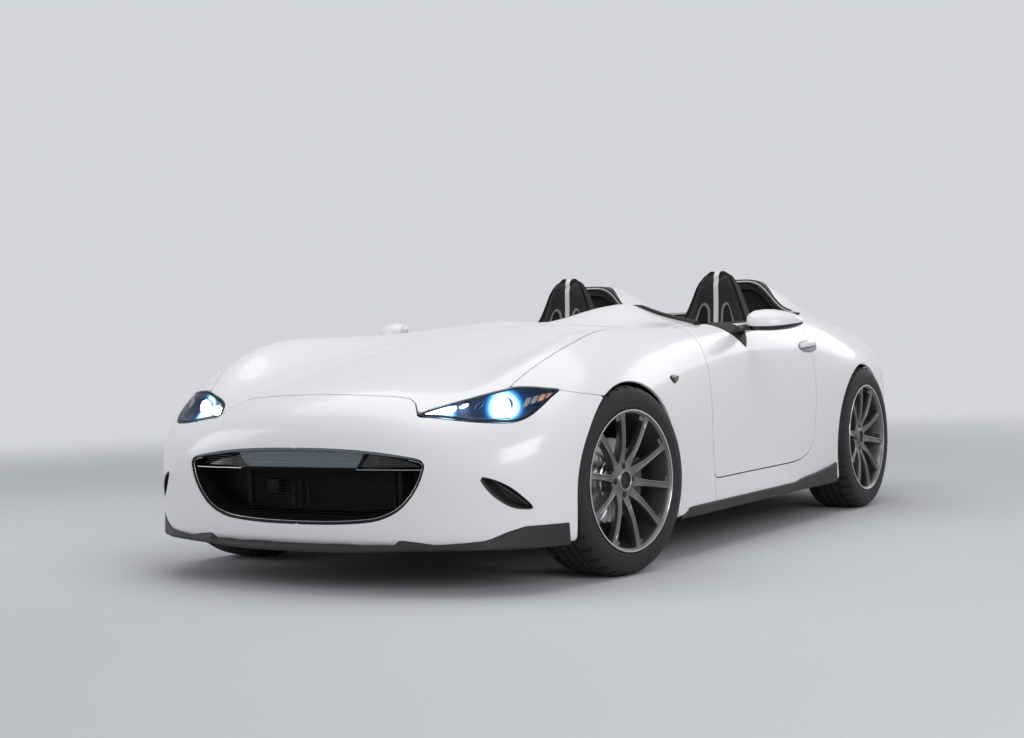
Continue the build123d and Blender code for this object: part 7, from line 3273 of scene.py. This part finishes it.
@dataclass
class EngineBay:
    """What shows under the bonnet: cam cover, inlet pipes, air box, battery, hoses and brace."""

    deck: float = .64
    ports: tuple[float, ...] = (.12, .205, .29, .375)

    def cam_cover(self) -> list[tuple[Piece, Paint]]:
        """Ribbed cover over the cams, its bolts, coils and filler cap."""
        rings = []
        for y, share in ((.045, .9), (.052, .97), (.07, 1.0), (.43, 1.0), (.448, .97), (.455, .9)):
            wide, top = .112 * share, self.deck + .046 * share
            rings.append([
                (-wide - .012, y, self.deck - .004), (-wide - .012, y, self.deck + .008),
                (-wide, y, self.deck + .012), (-wide, y, top - .012), (-wide + .012, y, top),
                (-.024, y, top), (-.018, y, top - .012), (.018, y, top - .012), (.024, y, top),
                (wide - .012, y, top), (wide, y, top - .012), (wide, y, self.deck + .012),
                (wide + .012, y, self.deck + .008), (wide + .012, y, self.deck - .004)])
        cover = Bench.lofted("cam_cover", rings)
        ribs = [
            Bench.block(
                "rib", (s * .036 + .016 * k - .002, .085, self.deck + .04),
                (s * .036 + .016 * k + .002, .415, self.deck + .049), .0012, 1)
            for s, ks in ((1, (0, 1, 2, 3)), (-1, (0, -1, -2, -3))) for k in ks]
        bolts, coils = [], []
        for y in (.062, .185, .31, .438):
            for x in (-.1175, .1175):
                bolt = Bench.turned("bolt", (
                    (.0065, -.002), (.0065, .006), (.005, .0072), (.001, .0074)), 6, closed=False)
                Bench.place(bolt, (x, y, self.deck + .009))
                bolts.append(bolt)
        for y in self.ports:
            coil = Bench.turned("coil", (
                (.012, -.012), (.013, .004), (.016, .008), (.016, .02), (.012, .024),
                (.001, .0245)), 20, closed=False)
            Bench.place(coil, (0, y, self.deck + .036))
            coils.append(coil)
            coils.append(Bench.tube("lead", [
                (0, y, self.deck + .055), (-.04, y + .01, self.deck + .062),
                (-.09, y + .016, self.deck + .058), (-.15, y + .02, self.deck + .01)], .0035, 8))
        cap = Bench.turned("filler", (
            (.021, -.004), (.021, .006), (.0255, .008), (.0255, .018), (.022, .021), (.006, .0215),
            (.005, .027), (.001, .0275)), 12, closed=False)
        Bench.place(cap, (.068, .4, self.deck + .05))
        return [
            (Shop.join("cam_cover", [cover, *ribs]), Paint.CAST),
            (Shop.join("cover_bolts", bolts), Paint.STEEL),
            (Shop.join("coils", [*coils, cap]), Paint.CAST_BLACK)]

    def inlet(self) -> list[tuple[Piece, Paint]]:
        """Inlet pipes with their plenum, the air box and its hose."""
        bow = ((.15, .6), (.205, .622), (.262, .606), (.292, .56))
        runners = [
            Bench.tube("runner", [(x, y, z) for x, z in bow], .0185, 16) for y in self.ports]
        plenum = Bench.tube("plenum", [
            (.298, .06, .548), (.3, .075, .548), (.3, .43, .548), (.298, .445, .548)], .036, 24)
        box = Bench.block("box", (-.42, -.33, .43), (-.215, -.06, .59), .022, 4)
        lid = Bench.block("lid", (-.426, -.336, .56), (-.209, -.054, .606), .016, 3)
        hose = Bench.tube("hose", [
            (-.3, -.06, .555), (-.28, 0.0, .575), (-.15, .03, .59), (.12, .02, .59),
            (.27, .03, .565), (.3, .07, .55)], .029, 20)
        bands = [Bench.turned("band", (
            (.0295, -.006), (.031, -.006), (.031, .006), (.0295, .006)), 32) for _ in range(3)]
        for band, at, way in zip(
                bands, ((-.29, -.03, .565), (-.02, .0255, .591), (.18, .0245, .579)),
                ((.3, 1, .3), (1, 0, 0), (1, .05, -.2))):
            Bench.place(band, at, way)
        return [
            (Shop.join("inlet_pipes", [*runners, plenum]), Paint.CAST),
            (Shop.join("air_box", [box, lid]), Paint.MATT_BLACK), (hose, Paint.RUBBER),
            (Shop.join("hose_bands", bands), Paint.STEEL)]

    def services(self) -> list[tuple[Piece, Paint]]:
        """Battery, fluid tanks, cooling hoses and the brace between the struts."""
        battery = [
            Bench.block("battery", (.235, .475, .45), (.415, .59, .628), .008, 2),
            Bench.block("strap", (.228, .515, .626), (.422, .545, .633), .003, 1)]
        posts = []
        for x in (.262, .388):
            post = Bench.turned("post", (
                (.008, -.002), (.008, .012), (.007, .014), (.001, .0142)), 16, closed=False)
            Bench.place(post, (x, .492, .628))
            posts.append(post)
            posts.append(Bench.block(
                "clamp", (x - .015, .477, .63), (x + .015, .507, .637), .002, 1))
        tanks = [
            Bench.block("tank", (-.415, .36, .5), (-.3, .48, .622), .02, 3),
            Bench.block("tank", (-.415, .12, .52), (-.325, .215, .615), .018, 3)]
        caps = []
        for at in ((-.358, .42, .622), (-.37, .168, .615)):
            cap = Bench.turned("cap", (
                (.024, -.002), (.024, .012), (.021, .015), (.001, .0152)), 18, closed=False)
            Bench.place(cap, at)
            caps.append(cap)
        hoses = [
            Bench.tube("hose", [
                (-.18, -.5, .56), (-.18, -.4, .585), (-.12, -.16, .61), (-.06, 0.0, .618),
                (-.05, .05, .61)], .019, 16),
            Bench.tube("hose", [
                (.2, -.5, .33), (.2, -.38, .34), (.19, -.1, .4), (.185, .06, .43)], .019, 16)]
        rise = ((.435, .175, .64), (.38, .18, .672), (.2, .185, .694), (0, .186, .697))
        brace = [
            Bench.tube("brace", [(s * x, y, z) for x, y, z in rise], .012, 16) for s in (1, -1)]
        return [
            (Shop.join("battery", battery), Paint.MATT_BLACK),
            (Shop.join("battery_posts", posts), Paint.STEEL),
            (Shop.join("fluid_tanks", tanks), Paint.TANK),
            (Shop.join("tank_caps", caps), Paint.MATT_BLACK),
            (Shop.join("cooling_hoses", hoses), Paint.RUBBER),
            (Shop.join("strut_brace", brace), Paint.SATIN_METAL)]

    def make(self) -> None:
        """Build what shows in the bay."""
        for piece, paint in self.cam_cover() + self.inlet() + self.services():
            Shop.hand_in(piece, "body", paint, "engine_metal", (), 40)


# --- The room and the camera ---------------------------------------------------------------------

@dataclass
class Studio:
    """Pale floor, soft lamps and the camera."""

    floor_reach: float = 30.0
    world_strength: float = .5
    lens: float = 57.97
    camera_at: Point = (3.311, -6.075, .766)
    yaw: float = math.radians(30.93)
    pitch: float = math.radians(-.78)
    roll: float = math.radians(-1.61)

    def camera(self) -> None:
        """The camera at its measured place."""
        data = bpy.data.cameras.new("camera")
        data.sensor_width, data.lens = 36, self.lens
        camera = bpy.data.objects.new("camera", data)
        bpy.context.scene.collection.objects.link(camera)
        sin, cos = math.sin, math.cos
        ahead = Vector((
            -sin(self.yaw) * cos(self.pitch), cos(self.yaw) * cos(self.pitch), sin(self.pitch)))
        level = Vector((cos(self.yaw), sin(self.yaw), 0))
        up = level.cross(ahead)
        right = level * cos(self.roll) + up * sin(self.roll)
        top = up * cos(self.roll) - level * sin(self.roll)
        turn = Matrix((right, top, -ahead)).transposed()
        camera.matrix_world = Matrix.Translation(self.camera_at) @ turn.to_4x4()
        bpy.context.scene.camera = camera

    def lamp(self, name: str, place: Point, aim: Point, size: Pair, power: float) -> None:
        """One soft lamp.

        Args:
            name: The lamp's name.
            place: Where it hangs.
            aim: What it points at.
            size: Width and height.
            power: Watts.
        """
        data = bpy.data.lights.new(name, "AREA")
        data.shape, data.size, data.size_y, data.energy = "RECTANGLE", *size, power
        lamp = bpy.data.objects.new(name, data)
        bpy.context.scene.collection.objects.link(lamp)
        lamp.location = place
        lamp.rotation_euler = (Vector(aim) - Vector(place)).to_track_quat("-Z", "Y").to_euler()

    def world(self) -> None:
        """Soft light from all round, pale where the camera looks past the floor."""
        world = bpy.data.worlds.new("room")
        bpy.context.scene.world = world
        world.use_nodes = True
        tree = world.node_tree
        background = tree.nodes["Background"]
        background.inputs["Color"].default_value = (.93, .95, 1.0, 1)
        path = tree.nodes.new("ShaderNodeLightPath")
        seen = background.inputs["Strength"]
        total = path.outputs["Is Camera Ray"]
        for name in ("Is Glossy Ray", "Is Transmission Ray"):
            add = tree.nodes.new("ShaderNodeMath")
            add.operation, add.use_clamp = "ADD", True
            tree.links.new(total, add.inputs[0])
            tree.links.new(path.outputs[name], add.inputs[1])
            total = add.outputs[0]
        spread = tree.nodes.new("ShaderNodeMapRange")
        spread.inputs["To Min"].default_value = self.world_strength
        spread.inputs["To Max"].default_value = .7
        tree.links.new(total, spread.inputs["Value"])
        tree.links.new(spread.outputs["Result"], seen)

    def floor(self) -> None:
        """Pale floor under the car."""
        Shop.only(frame["nodes"]["floor_pan"])
        bpy.ops.object.select_all(action="DESELECT")
        bpy.ops.mesh.primitive_circle_add(vertices=96, radius=self.floor_reach, fill_type="NGON")
        floor = bpy.context.object
        floor.name = "studio_floor"
        floor.data.materials.append(FloorPaint().material())

    def make(self) -> None:
        """Set up the room."""
        scene = bpy.context.scene
        scene.view_settings.view_transform = "Standard"
        self.camera()
        self.world()
        self.floor()
        self.lamp("overhead_lamp", (0.0, -.4, 4.2), (0, -.1, .4), (6.0, 3.2), 86)
        self.lamp("front_lamp", (5.8, -4.9, 3.0), (0, -.5, .5), (3.5, 2.5), 150)
        self.lamp("side_lamp", (-5.5, -4.0, 2.6), (0, 0, .5), (3.5, 2.5), 60)
        self.lamp("rear_lamp", (2.5, 6.5, 3.2), (0, .8, .5), (4.0, 2.5), 55)


def dress_frame() -> None:
    """Finish the frame's nodes that stay in sight."""
    kept = {
        "front_chassis": Paint.CHASSIS,
        "rear_chassis": Paint.CHASSIS,
        "floor_pan": Paint.CHASSIS,
        "front_suspension": Paint.CAST_BLACK,
        "rear_suspension": Paint.CAST_BLACK,
        "knuckle_left": Paint.CAST,
        "knuckle_right": Paint.CAST,
        "engine_block": Paint.CAST,
    }
    for name, node in frame["nodes"].items():
        paint = kept.get(name, Paint.MATT_BLACK)
        node.data.materials.clear()
        node.data.materials.append(paint.material)


def trim_chassis(clear: float = .018) -> None:
    """Stand a copy in for the rear chassis, with its corners drawn in behind the tail's skin.

    Args:
        clear: Least distance from the skin.
    """
    node = frame["nodes"]["rear_chassis"]
    copy = bpy.data.objects.new("rear_chassis_trimmed", node.data.copy())
    copy.matrix_world = node.matrix_world
    bpy.context.scene.collection.objects.link(copy)
    Shop.tidy(copy, 1e-5, outward=False)
    for vert in copy.data.vertices:
        x, y, z = vert.co
        if y > 1.2 and abs(x) < .77 and .15 < z < .76:
            vert.co.y = min(y, TAIL.at(x, z) + AXLE_Y - clear)
    Shop.hand_in(copy, "body", Paint.CHASSIS, "chassis_metal", ["rear_chassis"], 30)


def main() -> None:
    """Build the car's looks."""
    logging.basicConfig(level=logging.INFO, format="%(message)s")
    dress_frame()
    Studio().make()
    Panels().make()
    Wheel().make()
    LowerTrim().make()
    Mirror().make()
    Seat().make()
    Hoops().make()
    HeadLamp().make()
    Mouth().make()
    SideTrim().make()
    Dashboard().make()
    Helm().make()
    Cabin().make()
    TailLamps().make()
    TailTrim().make()
    trim_chassis()
    EngineBay().make()


if __name__ == "__main__":
    main()
